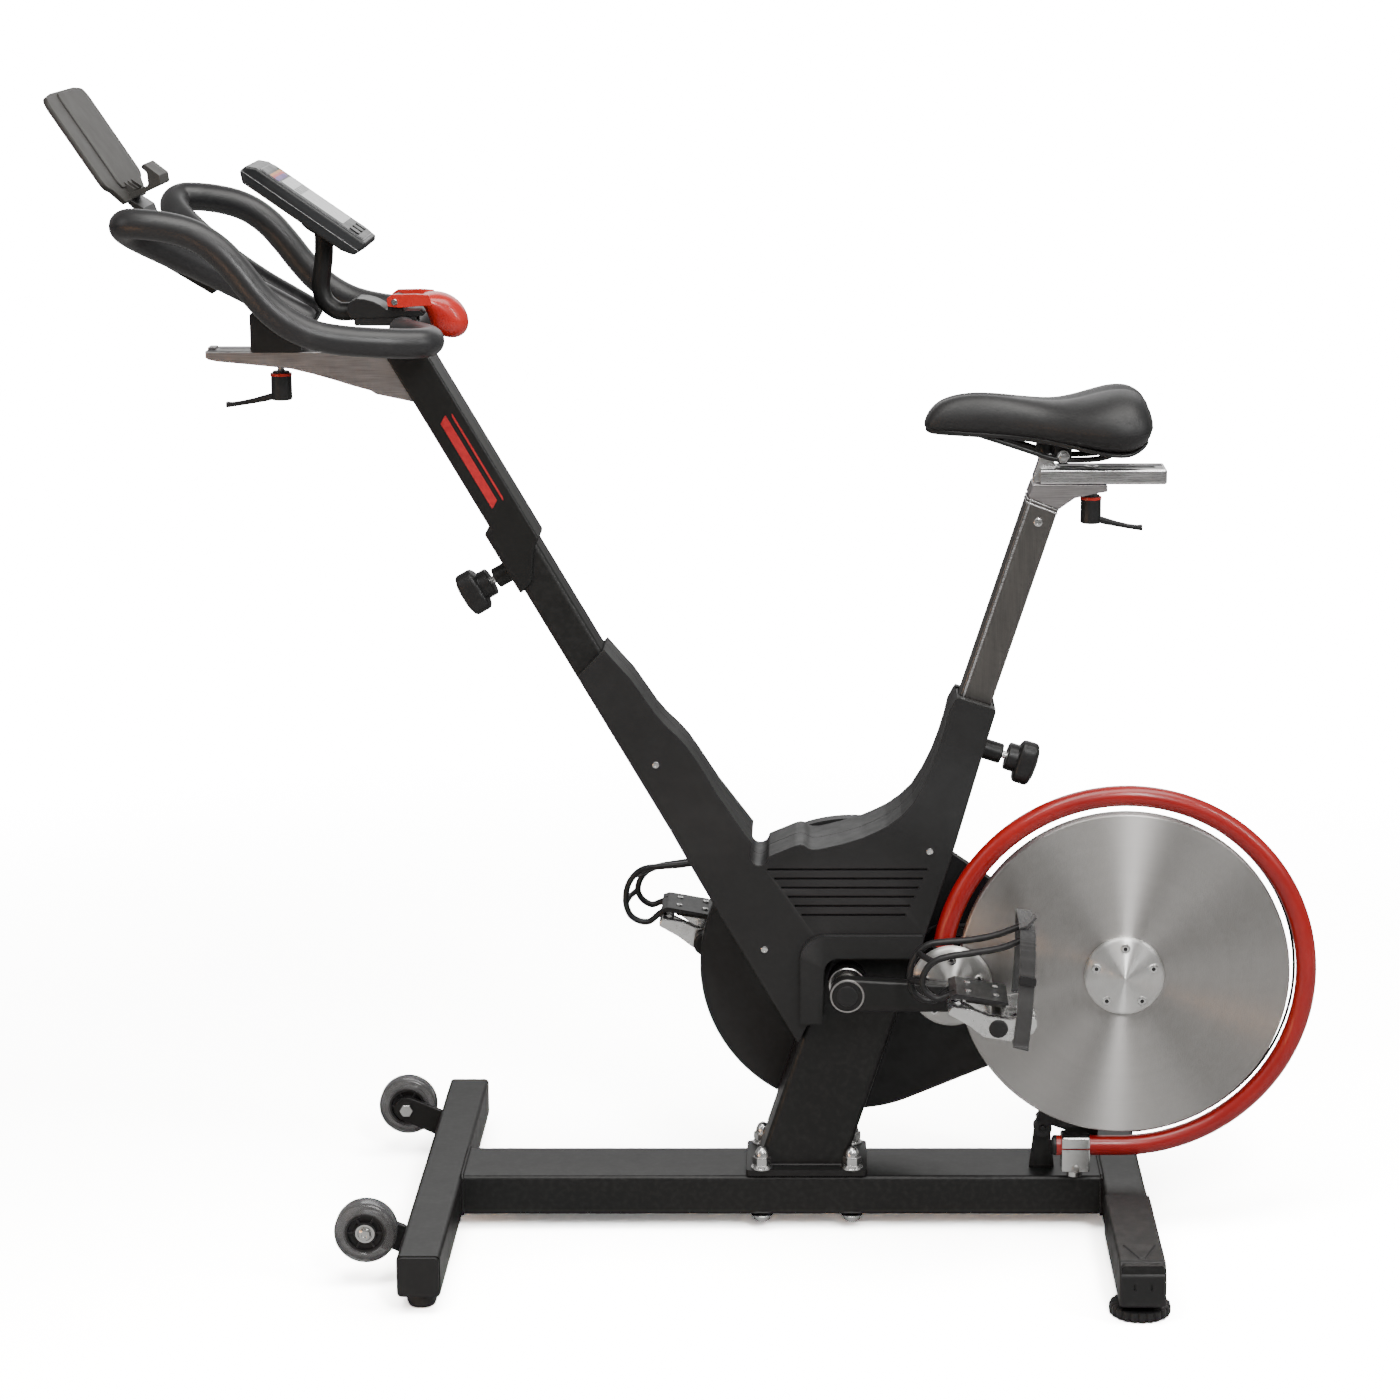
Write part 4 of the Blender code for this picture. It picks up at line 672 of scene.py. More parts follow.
def bead_bm(path, radius=0.0026, closed=False, pitch=0.0042):
    """A weld bead: a low ripple run along a seam."""
    points = [Vector(p) for p in path]
    if closed:
        points.append(points[0])
    fine = []
    for a, b in zip(points, points[1:]):
        count = max(2, int((b - a).length / (pitch / 2)))
        fine += [a.lerp(b, i / count) for i in range(count)]
    if not closed:
        fine.append(points[-1])
    bm = bmesh.new()
    sides = 8
    rings = []
    for i, here in enumerate(fine):
        before, after = fine[i - 1], fine[(i + 1) % len(fine)]
        if not closed and i == 0:
            before = here
        if not closed and i == len(fine) - 1:
            after = here
        along = (after - before).normalized()
        side = along.cross(Vector((0.31, 0.17, 0.93))).normalized()
        over = along.cross(side)
        r = radius * (1.0 if i % 2 else 0.80)
        rings.append([bm.verts.new(here + side * r * math.cos(2 * math.pi * k / sides)
                                   + over * r * math.sin(2 * math.pi * k / sides)) for k in range(sides)])
    pairs = list(zip(rings, rings[1:])) + ([(rings[-1], rings[0])] if closed else [])
    for a, b in pairs:
        for k in range(sides):
            m = (k + 1) % sides
            bm.faces.new((a[k], a[m], b[m], b[k]))
    if not closed:
        bm.faces.new(rings[0])
        bm.faces.new(rings[-1])
    bmesh.ops.recalc_face_normals(bm, faces=bm.faces)
    return bm


# ---------------------------------------------------------------- base
Z_LOW, Z_HIGH = 0.020, 0.069


def build_base():
    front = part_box("front_crossbar")
    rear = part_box("rear_crossbar")
    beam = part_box("base_beam")

    def along(axis):
        return lambda e: abs((e.verts[0].co - e.verts[1].co).normalized()[axis]) > 0.9

    bm = bevel_bm(box_bm(*beam), 0.0055, 4, along(0))
    piece("beam_tube", bm, PAINT, "frame", ["base_beam"])
    bm = bevel_bm(box_bm(*front), 0.0050, 4, along(1))
    piece("front_bar_tube", bm, PAINT, "frame", ["front_crossbar"])
    bm = bevel_bm(box_bm(*rear), 0.0050, 4, along(1))
    piece("rear_bar_tube", bm, PAINT, "frame", ["rear_crossbar"])
    for name, x in (("front", beam[0][0]), ("rear", beam[1][0])):
        seam = [(x, -0.0500, Z_LOW), (x, -0.0500, Z_HIGH - 0.003), (x, -0.0470, Z_HIGH + 0.0003),
                (x, 0.0470, Z_HIGH + 0.0003), (x, 0.0500, Z_HIGH - 0.003), (x, 0.0500, Z_LOW)]
        piece("beam_weld_" + name, bead_bm(seam, 0.0022), PAINT, "frame")
    for tag, side in SIDES:
        end_plug(tag, side, front)
        rear_cap(tag, side, rear)
        feet(tag, side)
        transport_wheel(tag, side)


def end_plug(tag, side, front):
    """Moulded plug in the end of the front bar."""
    mid_x, half = (front[0][0] + front[1][0]) / 2, (front[1][0] - front[0][0]) / 2
    y = side * 0.2975
    outline = rounded([(mid_x - half + 0.0012, Z_LOW + 0.0012), (mid_x + half - 0.0012, Z_LOW + 0.0012),
                       (mid_x + half - 0.0012, Z_HIGH - 0.0012), (mid_x - half + 0.0012, Z_HIGH - 0.0012)],
                       0.005)
    lo, hi = sorted((y - side * 0.002, y + side * 0.0042))
    bm = bevel_bm(prism_bm(outline, lo, hi), 0.0012, 2)
    piece("front_bar_plug_" + tag, bm, HARD, "frame")


def rear_cap(tag, side, rear):
    """Moulded cover over the end of the rear bar: ramped nose and two slots in its end."""
    x_low, x_high = rear[0][0] - 0.0017, rear[1][0] + 0.0017
    y_out, y_in = side * 0.329, side * 0.113
    top = 0.0705
    lo, hi = sorted((y_in, y_out))
    bm = box_bm((x_low, lo, 0.021), (x_high, hi, top))

    def outer_top(e):
        return all(abs(v.co.y - y_out) < 1e-5 and v.co.z > 0.06 for v in e.verts)

    bevel_bm(bm, 0.013, 1, outer_top)
    bevel_bm(bm, 0.0024, 3)
    cap = piece("rear_end_shell_" + tag, bm, COVER, "frame", ["rear_end_cover_" + tag])
    slots = []
    for x in (-0.0095, 0.0095):
        x += (x_low + x_high) / 2
        lo, hi = sorted((y_out + side * 0.002, y_out - side * 0.003))
        slots.append(box_bm((x - 0.0012, lo, 0.0405), (x + 0.0012, hi, 0.0475)))
    subtract(cap, *slots)
    # a raised triangular rib on the nose
    mid = (x_low + x_high) / 2
    y0 = y_out - side * 0.060
    outline = [(mid - 0.020, 0), (mid + 0.020, 0), (mid + 0.004, side * 0.040), (mid - 0.004, side * 0.040)]
    bm = bmesh.new()
    base = [bm.verts.new((x, y0 + y, top - 0.0006)) for x, y in outline]
    crown = [bm.verts.new((mid + (x - mid) * 0.86, y0 + y * 0.94 + side * 0.0012, top + 0.0012)) for x,
             y in outline]
    for k in range(4):
        m = (k + 1) % 4
        bm.faces.new((base[k], base[m], crown[m], crown[k]))
    bm.faces.new(base)
    bm.faces.new(crown)
    bmesh.ops.recalc_face_normals(bm, faces=bm.faces)
    piece("rear_end_rib_" + tag, bevel_bm(bm, 0.0006, 2), COVER, "frame")


def feet(tag, side):
    x, y = -0.3155, side * 0.2675
    profile = [(0, 0.0197), (0.0150, 0.0197), (0.0165, 0.0185), (0.0170, 0.0165), (0.0170, 0.0065),
               (0.0162, 0.0035), (0.0150, 0.0008), (0.0135, 0), (0.006, 0), (0.005, 0.001), (0, 0.001)]
    piece("front_foot_pad_" + tag, lathe_bm(profile, 36, (x, y, 0), (0, 0, 1)), RUBBER, "frame",
          ["front_foot_" + tag])
    x, y = 0.493, side * 0.293
    lobes, steps = 22, 176
    bm = bmesh.new()
    rings = []
    for drop, z in ((0.0026, 0.0), (0.0004, 0.0014), (0.0, 0.0035), (0.0, 0.0095), (0.0010, 0.0118),
                    (0.0040, 0.0130)):
        ring = []
        for i in range(steps):
            a = 2 * math.pi * i / steps
            scallop = 0.0021 * abs(math.sin(a * lobes / 2)) ** 0.7
            r = 0.0328 - drop + scallop
            ring.append(bm.verts.new((x + r * math.cos(a), y + r * math.sin(a), z)))
        rings.append(ring)
    for r, z in ((0.0150, 0.0133), (0.0125, 0.0140), (0.0120, 0.0196)):
        rings.append([bm.verts.new((x + r * math.cos(2 * math.pi * i / steps),
                                    y + r * math.sin(2 * math.pi * i / steps), z)) for i in range(steps)])
    for a, b in zip(rings, rings[1:]):
        for i in range(steps):
            j = (i + 1) % steps
            bm.faces.new((a[i], a[j], b[j], b[i]))
    bm.faces.new(rings[0])
    bm.faces.new(rings[-1])
    bmesh.ops.recalc_face_normals(bm, faces=bm.faces)
    piece("levelling_foot_disc_" + tag, bm, HARD, "levelling_foot_" + tag,
          ["levelling_foot_" + tag])


def transport_wheel(tag, side):
    """Smoke-clear tyre on a black core with a bearing and a bolt, outboard of its welded bracket."""
    body = "transport_wheel_" + tag
    x, z = -0.384, 0.066
    y = side * 0.212
    half = 0.013
    r = 0.036
    tyre = [(r - 0.0050, half), (r - 0.0022, half - 0.0006), (r - 0.0006, half - 0.0026), (r, half - 0.0060),
            (r, 0.0060 - half), (r - 0.0006, 0.0026 - half), (r - 0.0022, 0.0006 - half), (r - 0.0050, -half),
            (0.0245, -half), (0.0232, 0.0012 - half), (0.0232, half - 0.0012), (0.0245, half)]
    piece("wheel_tyre_" + tag, lathe_bm(tyre, 56, (x, y, z), (0, 1, 0)), TYRE, body,
          ["transport_wheel_" + tag])
    core = [(0.0230, half - 0.0014), (0.0230, 0.0014 - half), (0.0205, 0.0014 - half),
            (0.0192, 0.0050 - half),
            (0.0138, 0.0056 - half), (0.0126, 0.0016 - half), (0.0112, 0.0016 - half),
            (0.0112, half - 0.0016),
            (0.0126, half - 0.0016), (0.0138, half - 0.0056), (0.0192, half - 0.0050),
            (0.0205, half - 0.0014)]
    bm = lathe_bm(core, 48, (x, y, z), (0, 1, 0))
    ribs = []
    for k in range(6):
        a = math.pi * 2 * k / 6
        rib = box_bm((0.0130, -half + 0.0030, -0.0010), (0.0200, half - 0.0030, 0.0010))
        bmesh.ops.rotate(rib, verts=rib.verts, cent=(0, 0, 0), matrix=Matrix.Rotation(a, 3, "Y"))
        bmesh.ops.translate(rib, verts=rib.verts, vec=(x, y, z))
        ribs.append(rib)
    piece("wheel_core_" + tag, merge(bm, *ribs), HARD, body)
    ring = [(0.0110, half - 0.0006), (0.0110, 0.0006 - half), (0.0085, 0.0006 - half),
            (0.0080, 0.0014 - half),
            (0.0064, 0.0014 - half), (0.0056, 0.0008 - half), (0.0056, half - 0.0008),
            (0.0064, half - 0.0014),
            (0.0080, half - 0.0014), (0.0085, half - 0.0006)]
    piece("wheel_bearing_" + tag, lathe_bm(ring, 40, (x, y, z), (0, 1, 0)), CHROME, body)
    out = y + side * half
    bolt = socket_head((x, out + side * 0.0002, z), (0, side, 0), 0.0072, 0.0040, 28)
    bar = rod_bm((x, y - side * (half + 0.004), z), (x, out + side * 0.0006, z), 0.0050, 0.0, 20)
    piece("wheel_axle_bolt_" + tag, merge(bolt, bar), CHROME, "frame")
    hub_face = y - side * (half + 0.0010)
    bar_face = -0.3403
    outline = rounded([(bar_face, 0.029), (bar_face, 0.064)] + arc((x, z), 0.0155, 62, 250, 12), 0.002, 2)
    lo, hi = sorted((hub_face, hub_face - side * 0.008))
    bm = bevel_bm(prism_bm(outline, lo, hi), 0.0018, 3)
    spacer = rod_bm((x, hub_face - side * 0.001, z), (x, hub_face + side * 0.0008, z), 0.0095, 0.0, 28)
    piece("wheel_arm_" + tag, merge(bm, spacer), PAINT, "frame", ["wheel_bracket_" + tag])
    seam = [(bar_face - 0.0008, hi, 0.031), (bar_face - 0.0008, hi, 0.062)]
    piece("wheel_arm_weld_" + tag, bead_bm(seam, 0.0018), PAINT, "frame")
    nut = hexagon_nut((x, hub_face - side * 0.0082, z), (0, -side, 0), 0.0085, 0.006)
    piece("wheel_axle_nut_" + tag, nut, CHROME, "frame")


# ---------------------------------------------------------------- frame
def build_frame():
    post_low, post_high = 0.033, 0.132
    z_weld = 0.0763

    def at_weld(o):
        return (z_weld - o * SEAT.square[1]) / SEAT.up[1]

    post = box_tube_bm(SEAT, at_weld, 0.410, (post_low, post_high), 0.035, 0.007, 5)
    post_obj = piece("post_tube", post, PAINT, "frame", ["lower_post"])
    x, z = CRANK
    subtract(post_obj, rod_bm((x, -0.1, z), (x, 0.1, z), 0.0218, 0.0, 40))
    outline = rounded([(-0.0720, -0.052), (0.0720, -0.052), (0.0720, 0.052), (-0.0720, 0.052)], 0.006)
    bm = plate_bm((0.118, 0, 0.0693), (1, 0, 0), (0, 1, 0), outline, 0.008)
    piece("post_foot_plate", bevel_bm(bm, 0.0012, 2), PAINT, "frame")
    a, b = SEAT.level(post_low, 0.0778)[0], SEAT.level(post_high, 0.0778)[0]
    seam = [(a, -0.030, 0.0778), (a + 0.004, -0.035, 0.0778), (b - 0.004, -0.035, 0.0778),
            (b, -0.030, 0.0778),
            (b, 0.030, 0.0778), (b - 0.004, 0.035, 0.0778), (a + 0.004, 0.035, 0.0778), (a, 0.030, 0.0778)]
    piece("post_weld", bead_bm(seam, 0.0024, True), PAINT, "frame")
    for i, bx in enumerate((0.065, 0.172)):
        for tag, side in SIDES:
            base_bolt("%s_%d" % (tag, i + 1), bx, side * 0.0425)

    def weld_end(o):
        # where the mast meets the front face of the post
        sa, sb = MAST.square, SEAT.square
        det = sa[0] * sb[1] - sa[1] * sb[0]
        px = (o * sb[1] - 0.0327 * sa[1]) / det
        pz = (sa[0] * 0.0327 - sb[0] * o) / det
        return px * MAST.up[0] + pz * MAST.up[1]

    mast = box_tube_bm(MAST, weld_end, 0.8537, (0.2080, 0.2497), 0.0275, 0.006, 5)
    piece("mast_bar", mast, PAINT, "frame", ["mast_tube"])
    seat = box_tube_bm(SEAT, 0.4103, 0.7060, (0.0780, 0.1226), 0.0228, 0.005, 4)
    obj = piece("seat_socket", seat, PAINT, "frame", ["seat_tube"])
    subtract(obj, box_tube_bm(SEAT, 0.4000, 0.75, (0.0805, 0.1201), 0.0203, 0.0035, 3),
             rod_bm(SEAT.at3(SEAT_KNOB_T, 0, 0.115), SEAT.at3(SEAT_KNOB_T, 0, 0.140), 0.0048, 0.0, 20))
    boss = lathe_bm([(0.0120, 0.0310), (0.0120, 0), (0.0048, 0), (0.0048, 0.0310), (0.0060, 0.0323),
                     (0.0108, 0.0323)], 32, SEAT.at3(SEAT_KNOB_T, 0, 0.1195), SEAT.across)
    piece("seat_knob_boss", boss, PAINT, "frame")
    shell = lathe_bm([(0.0215, 0.0535), (0.0215, -0.0575), (0.0130, -0.0575), (0.0130, 0.0535)], 48,
                     (x, 0, z), (0, 1, 0))
    piece("bearing_shell", shell, PAINT, "frame", ["crank_bearing_shell"])
    for tag, side in SIDES:
        y = side * (0.0575 if side < 0 else 0.0535)
        ring = lathe_bm([(0.0208, 0.0060), (0.0216, 0.0050), (0.0216, 0), (0.0140, 0), (0.0140, 0.0060)], 48,
                        (x, y, z), (0, side, 0))
        piece("bearing_cup_" + tag, ring, CHROME, "frame")
    bevelled_node("rear_stay", "stay_arm", 0.002, PAINT, "frame")
    bevelled_node("magnet_bracket", "magnet_stand", 0.0008, PAINT, "frame")
    bevelled_node("magnet_carriage", "magnet_shoe", 0.0012, COVER, "magnet_carriage")


def bevelled_node(node, name, width, mat, body, segments=2):
    """A CAD node's own shape with its sharp edges rounded."""
    bm = bmesh.new()
    bm.from_mesh(NODES[node].data)
    bmesh.ops.remove_doubles(bm, verts=bm.verts, dist=0.00002)
    bmesh.ops.dissolve_limit(bm, angle_limit=math.radians(1.5), verts=bm.verts, edges=bm.edges)
    bevel_bm(bm, width, segments)
    return piece(name, bm, mat, body, [node])


def base_bolt(tag, x, y):
    """A stud through the foot plate and the beam: acorn nut and washers above, hexagon head below."""
    top = 0.0773
    washer = lathe_bm([(0.0125, 0.0022), (0.0130, 0.0016), (0.0130, 0.0004), (0.0125, 0), (0.0060, 0),
                       (0.0060, 0.0022)], 36, (x, y, top), (0, 0, 1))
    spring = lathe_bm([(0.0104, 0.0024), (0.0104, 0), (0.0060, 0), (0.0060, 0.0024)], 28,
                      (x, y, top + 0.0022),
                      (0, 0, 1))
    nut = hexagon_nut((x, y, top + 0.0046), (0, 0, 1), 0.0112, 0.0100, 0.0120)
    piece("base_nut_" + tag, merge(washer, spring, nut), CHROME, "frame")
    low = lathe_bm([(0.0125, 0.0020), (0.0130, 0.0016), (0.0130, 0.0004), (0.0125, 0), (0.0050, 0),
                    (0.0050, 0.0020)], 32, (x, y, 0.0200), (0, 0, -1))
    head = hexagon_nut((x, y, 0.0180), (0, 0, -1), 0.0108, 0.0065)
    piece("base_bolt_head_" + tag, merge(low, head), CHROME, "frame")


# ---------------------------------------------------------------- covers
def cover_outline():
    arm = [MAST.at(0.6555, 0.2115), MAST.at(0.6680, 0.2540)]
    edge = [(0.641, 0.2590), (0.622, 0.2630), (0.600, 0.2645), (0.573, 0.2664), (0.556, 0.2695),
            (0.538, 0.2747),
            (0.522, 0.2780), (0.500, 0.2796), (0.455, 0.2808), (0.420, 0.2840), (0.387, 0.2872)]
    arm += [MAST.at(t, o) for t, o in edge]
    notch = [(0.0533, 0.4660)] + arc((0.0634, 0.4626), 0.0100, 178, 356, 10) + [(0.0752, 0.4640)]
    ramp = [(0.0900, 0.4702), (0.1050, 0.4765), (0.1110, 0.4780), (0.1160, 0.4772), (0.1205, 0.4735),
            (0.1250, 0.4722), (0.1320, 0.4724)]
    sweep = [(0.1376, 0.4735), (0.1600, 0.4787), (0.1826, 0.4857), (0.2000, 0.4935), (0.2130, 0.5003),
             (0.2280, 0.5115), (0.2415, 0.5255), (0.2540, 0.5470), (0.2645, 0.5700), (0.2725, 0.5930),
             (0.2790, 0.6150), (0.2830, 0.6330)]
    top = [SEAT.at(0.7040, 0.0760), SEAT.at(0.7080, 0.0775), SEAT.at(0.7080, 0.1240), SEAT.at(0.7040, 0.1256)]
    rear = [SEAT.at(0.640, 0.1275), SEAT.at(0.530, 0.1297), SEAT.at(0.430, 0.1305), (0.2535, 0.3530)]
    hood = [(0.2500, 0.3445), (0.2440, 0.3420), (0.1560, 0.3420), (0.1480, 0.3385), (0.1420, 0.3320),
            (0.1395, 0.3250), (0.1363, 0.2620), (0.1188, 0.2570)]
    return arm + notch + ramp + sweep + top + rear + hood + [MAST.at(0.150, 0.2115)]


def cover_half_width(x, z):
    """Half width of the covers: widest over the crank, slimmer up both arms."""
    t_mast = x * MAST.up[0] + z * MAST.up[1]
    t_seat = x * SEAT.up[0] + z * SEAT.up[1]
    fade = 0.0
    if x < 0.10:
        fade = min(max((t_mast - 0.36) / 0.15, 0.0), 1.0)
    elif x > 0.17:
        fade = min(max((t_seat - 0.52) / 0.15, 0.0), 1.0)
    fade = fade * fade * (3 - 2 * fade)
    return 0.053 + (0.036 - 0.053) * fade


def cover_half(tag, side):
    """One moulded half: a bulged side face with rounded rims, a fine seam and ways for the tubes."""
    seam = side * 0.00025
    outline = cover_outline()
    bm = bmesh.new()
    bm.faces.new([bm.verts.new((x, seam, z)) for x, z in outline])
    cuts = [(MAST, 0.36 + 0.15 * k / 8, 0.24, 0) for k in range(9)]
    cuts += [(SEAT, 0.52 + 0.15 * k / 8, 0.10, 1) for k in range(9)]
    for line, t, o, right in cuts:
        x, z = line.at(t, o)
        chosen = [f for f in bm.faces if (f.calc_center_median().x > 0.06) == bool(right) or len(bm.faces) == 1]
        geom = set(chosen)
        for f in chosen:
            geom.update(f.edges)
            geom.update(f.verts)
        bmesh.ops.bisect_plane(bm, geom=list(geom), plane_co=(x, 0, z), plane_no=(line.up[0], 0, line.up[1]))
    grown = bmesh.ops.extrude_face_region(bm, geom=list(bm.faces))
    for v in (g for g in grown["geom"] if isinstance(g, bmesh.types.BMVert)):
        v.co.y = side * cover_half_width(v.co.x, v.co.z)
    bmesh.ops.recalc_face_normals(bm, faces=bm.faces)

    def rim(e):
        return all(abs(v.co.y) > 0.02 for v in e.verts)

    def seam_edge(e):
        return all(abs(v.co.y) < 0.001 for v in e.verts)

    bevel_bm(bm, 0.0062, 4, rim, 45)
    bevel_bm(bm, 0.0009, 1, seam_edge, 60)
    bmesh.ops.triangulate(bm, faces=bm.faces)
    obj = piece("cover_shell_" + tag, bm, COVER, "frame", ["frame_cover_" + tag])
    clear = 0.0010
    ways = [box_tube_bm(MAST, 0.05, 0.75, (0.2080 - clear, 0.2497 + clear), 0.0275 + clear, 0.006, 3),
            box_tube_bm(SEAT, 0.05, 0.4150, (0.033 - clear, 0.132 + clear), 0.035 + clear, 0.007, 3),
            box_tube_bm(SEAT, 0.40, 0.80, (0.0780 - clear, 0.1226 + clear), 0.0228 + clear, 0.005, 3),
            rod_bm(SEAT.at3(SEAT_KNOB_T, 0, 0.110), SEAT.at3(SEAT_KNOB_T, 0, 0.160), 0.0135, 0.0, 32)]
    grooves = []
    for k in range(6):
        z = 0.4480 - 0.0110 * k
        x0, x1 = 0.0725 + 0.0079 * k, 0.2590 - 0.0050 * k
        y0, y1 = sorted((side * 0.0490, side * 0.0600))
        outline = rounded([(x0, z - 0.0013), (x1, z - 0.0013), (x1, z + 0.0013), (x0, z + 0.0013)], 0.0012, 3)
        grooves.append(prism_bm(outline, y0, y1))
    subtract(obj, *ways, *grooves)
    for k, (x, z) in enumerate(((-0.0562, 0.5689), (0.2615, 0.4696), (0.0692, 0.3510))):
        y = side * (cover_half_width(x, z) - 0.0004)
        head = socket_head((x, y, z), (0, side, 0), 0.0042, 0.0020, 24)
        piece("cover_screw_%s_%d" % (tag, k + 1), head, CHROME, "frame")


def crank_fairing(tag, side):
    """Raised hood that turns down in front of the crank and runs back over it."""
    outer_low, outer_high = 0.053, 0.0605
    if side > 0:
        outer_high = 0.0555
    outer = [(0.1110, 0.2620)] + [(0.1110, 0.3410)] + arc((0.1400, 0.3400), 0.0290, 178, 92, 10)
    outer += [(0.1390, 0.3690), (0.2535, 0.3690), (0.2535, 0.3420)]
    inner = [(0.1560, 0.3420)] + arc((0.1560, 0.3240), 0.0180, 92, 178, 8) + [(0.1363, 0.2620)]
    outline = outer + inner
    lo, hi = sorted((side * (outer_low - 0.004), side * outer_high))
    bm = prism_bm(outline, lo, hi)
    bevel_bm(bm, 0.0042, 4, lambda e: all(abs(v.co.y) > outer_high - 0.0005 for v in e.verts), 45)
    piece("crank_fairing_" + tag, bm, COVER, "frame")


def build_guard():
    """The belt guard's dished pan, with a rounded rim and a pressed ring round the crank."""
    centre = (0.172, 0.298)
    outline = (arc(centre, 0.182, -67, -309, 96) + [(0.3411, 0.4013), (0.3700, 0.3950), (0.4000, 0.3915)]
               + arc((0.489, 0.315), 0.075, 90, -67, 40))
    bm = prism_bm(outline, 0.0560, 0.0795)
    bevel_bm(bm, 0.0055, 4, lambda e: all(v.co.y > 0.079 for v in e.verts), 45)
    guard = piece("belt_guard_pan", bm, COVER, "frame", ["belt_guard"])
    x, z = CRANK
    subtract(guard, rod_bm((x, 0.03, z), (x, 0.1, z), 0.0255, 0.0, 48))
    ring = [(0.046, 0.0802), (0.050, 0.0802), (0.054, 0.0790), (0.042, 0.0790)]
    piece("belt_guard_ring", lathe_bm(ring, 72, (x, 0, z), (0, 1, 0)), COVER, "frame")
    for k, (px, pz) in enumerate(((0.030, 0.200), (0.060, 0.430), (0.290, 0.430), (0.530, 0.345),
                                  (0.440, 0.262))):
        head = socket_head((px, 0.0793, pz), (0, 1, 0), 0.0042, 0.0020, 24)
        piece("belt_guard_screw_%d" % (k + 1), head, CHROME, "frame")
    paint_node("first_belt", RUBBER)
    paint_node("second_belt", RUBBER)


def build_guard_tube():
    """Red ring round the flywheel, black end plug, plated clamp on its spacer and the inner rub strip."""
    y = -0.050
    path = [(x, y, z) for x, z in arc(FLY, 0.2136, 172, -90, 150)]
    z_low = FLY[1] - 0.2136
    path += [(x, y, z_low) for x in (0.478, 0.465, 0.450, 0.432, 0.4135)]
    piece("guard_ring_tube", sweep_bm(path, 0.0120, 24, up=(0, 1, 0)), RED, "frame",
          ["guard_tube"])
    plug = lathe_bm([(0, 0.0052), (0.0095, 0.0052), (0.0118, 0.0036), (0.0120, 0.0020), (0.0120, 0),
                     (0.0095, -0.004), (0, -0.004)], 32, (0.4135, y, z_low), (-1, 0, 0))
    piece("guard_ring_plug", plug, HARD, "frame")
    start = path[0]
    along = (Vector(path[0]) - Vector(path[1])).normalized()
    cap = lathe_bm([(0, 0.0030), (0.0090, 0.0030), (0.0122, 0.0010), (0.0124, -0.003), (0, -0.003)], 32,
                   start, along)
    piece("guard_ring_cap", cap, HARD, "frame")
    strip = [(x, y + 0.0125, z) for x, z in arc(FLY, 0.2010, 168, -86, 120)]
    piece("guard_rub_strip", sweep_bm(strip, 0.0016, 8, up=(0, 1, 0)), HARD, "frame")
    # clamp block on the beam, split, with a bolt on each side of the tube
    bm = box_bm((0.4190, y - 0.0150, 0.0790), (0.4530, y + 0.0150, 0.1225))
    clamp = piece("guard_clamp_block", bevel_bm(bm, 0.0028, 3), CHROME, "frame", ["guard_clamp"])
    subtract(clamp, rod_bm((0.39, y, z_low), (0.48, y, z_low), 0.0122, 0.0, 32),
             box_bm((0.40, y - 0.02, z_low - 0.0010), (0.47, y + 0.02, z_low + 0.0010)))
    foot = rod_bm((0.436, y + 0.0040, 0.0693), (0.436, y + 0.0040, 0.0795), 0.0095, 0.0008, 32)
    piece("guard_clamp_foot", foot, CHROME, "frame")
    bolts = [socket_head((0.436, y + s * 0.0145, z_low - 0.0245), (0, s, 0), 0.0048, 0.0034) for s in (-1, 1)]
    piece("guard_clamp_bolts", merge(*bolts), SHADE_STEEL, "frame")


# ---------------------------------------------------------------- drive
def build_flywheel():
    x, z = FLY
    face, thick = -0.060, 0.020
    r = 0.1936
    profile = [(0.0093, 0), (r - 0.0022, 0), (r - 0.0010, -0.0003), (r - 0.0002, -0.0012), (r, -0.0024),
               (r, 0.0024 - thick), (r - 0.0005, 0.0010 - thick), (r - 0.0020, -thick), (0.160, -thick),
               (0.157, -0.0185), (0.154, -0.0100), (0.151, -0.0090), (0.046, -0.0090), (0.043, -0.0100),
               (0.041, -0.0185), (0.0385, -thick), (0.0093, -thick)]
    piece("flywheel_turned_disc", lathe_bm(profile, 160, (x, face, z), (0, -1, 0)), TURNED, "flywheel",
          ["flywheel_disc"])
    cone = [(0, 0.0172), (0.0030, 0.0172), (0.0050, 0.0160), (0.0300, 0.0100), (0.0420, 0.0078),
            (0.0450, 0.0068),
            (0.0463, 0.0052), (0.0465, 0.0034), (0.0465, 0.0002), (0, 0.0002)]
    piece("flywheel_cone_cap", lathe_bm(cone, 96, (x, face, z), (0, -1, 0)), CAP, "flywheel",
          ["flywheel_hub_cap"])
    sockets("flywheel_cap_screws", 5, 0.0350, FLY, face - 0.0088, "flywheel", 90.0)
    axle = rod_bm((x, -0.0595, z), (x, 0.0440, z), 0.0090, 0.0008, 32)
    pulley = rod_bm((x, 0.0300, z), (x, 0.0420, z), 0.0225, 0.0008, 48)
    piece("flywheel_shaft", merge(axle, pulley), SHADE_STEEL, "flywheel", ["flywheel_axle"])


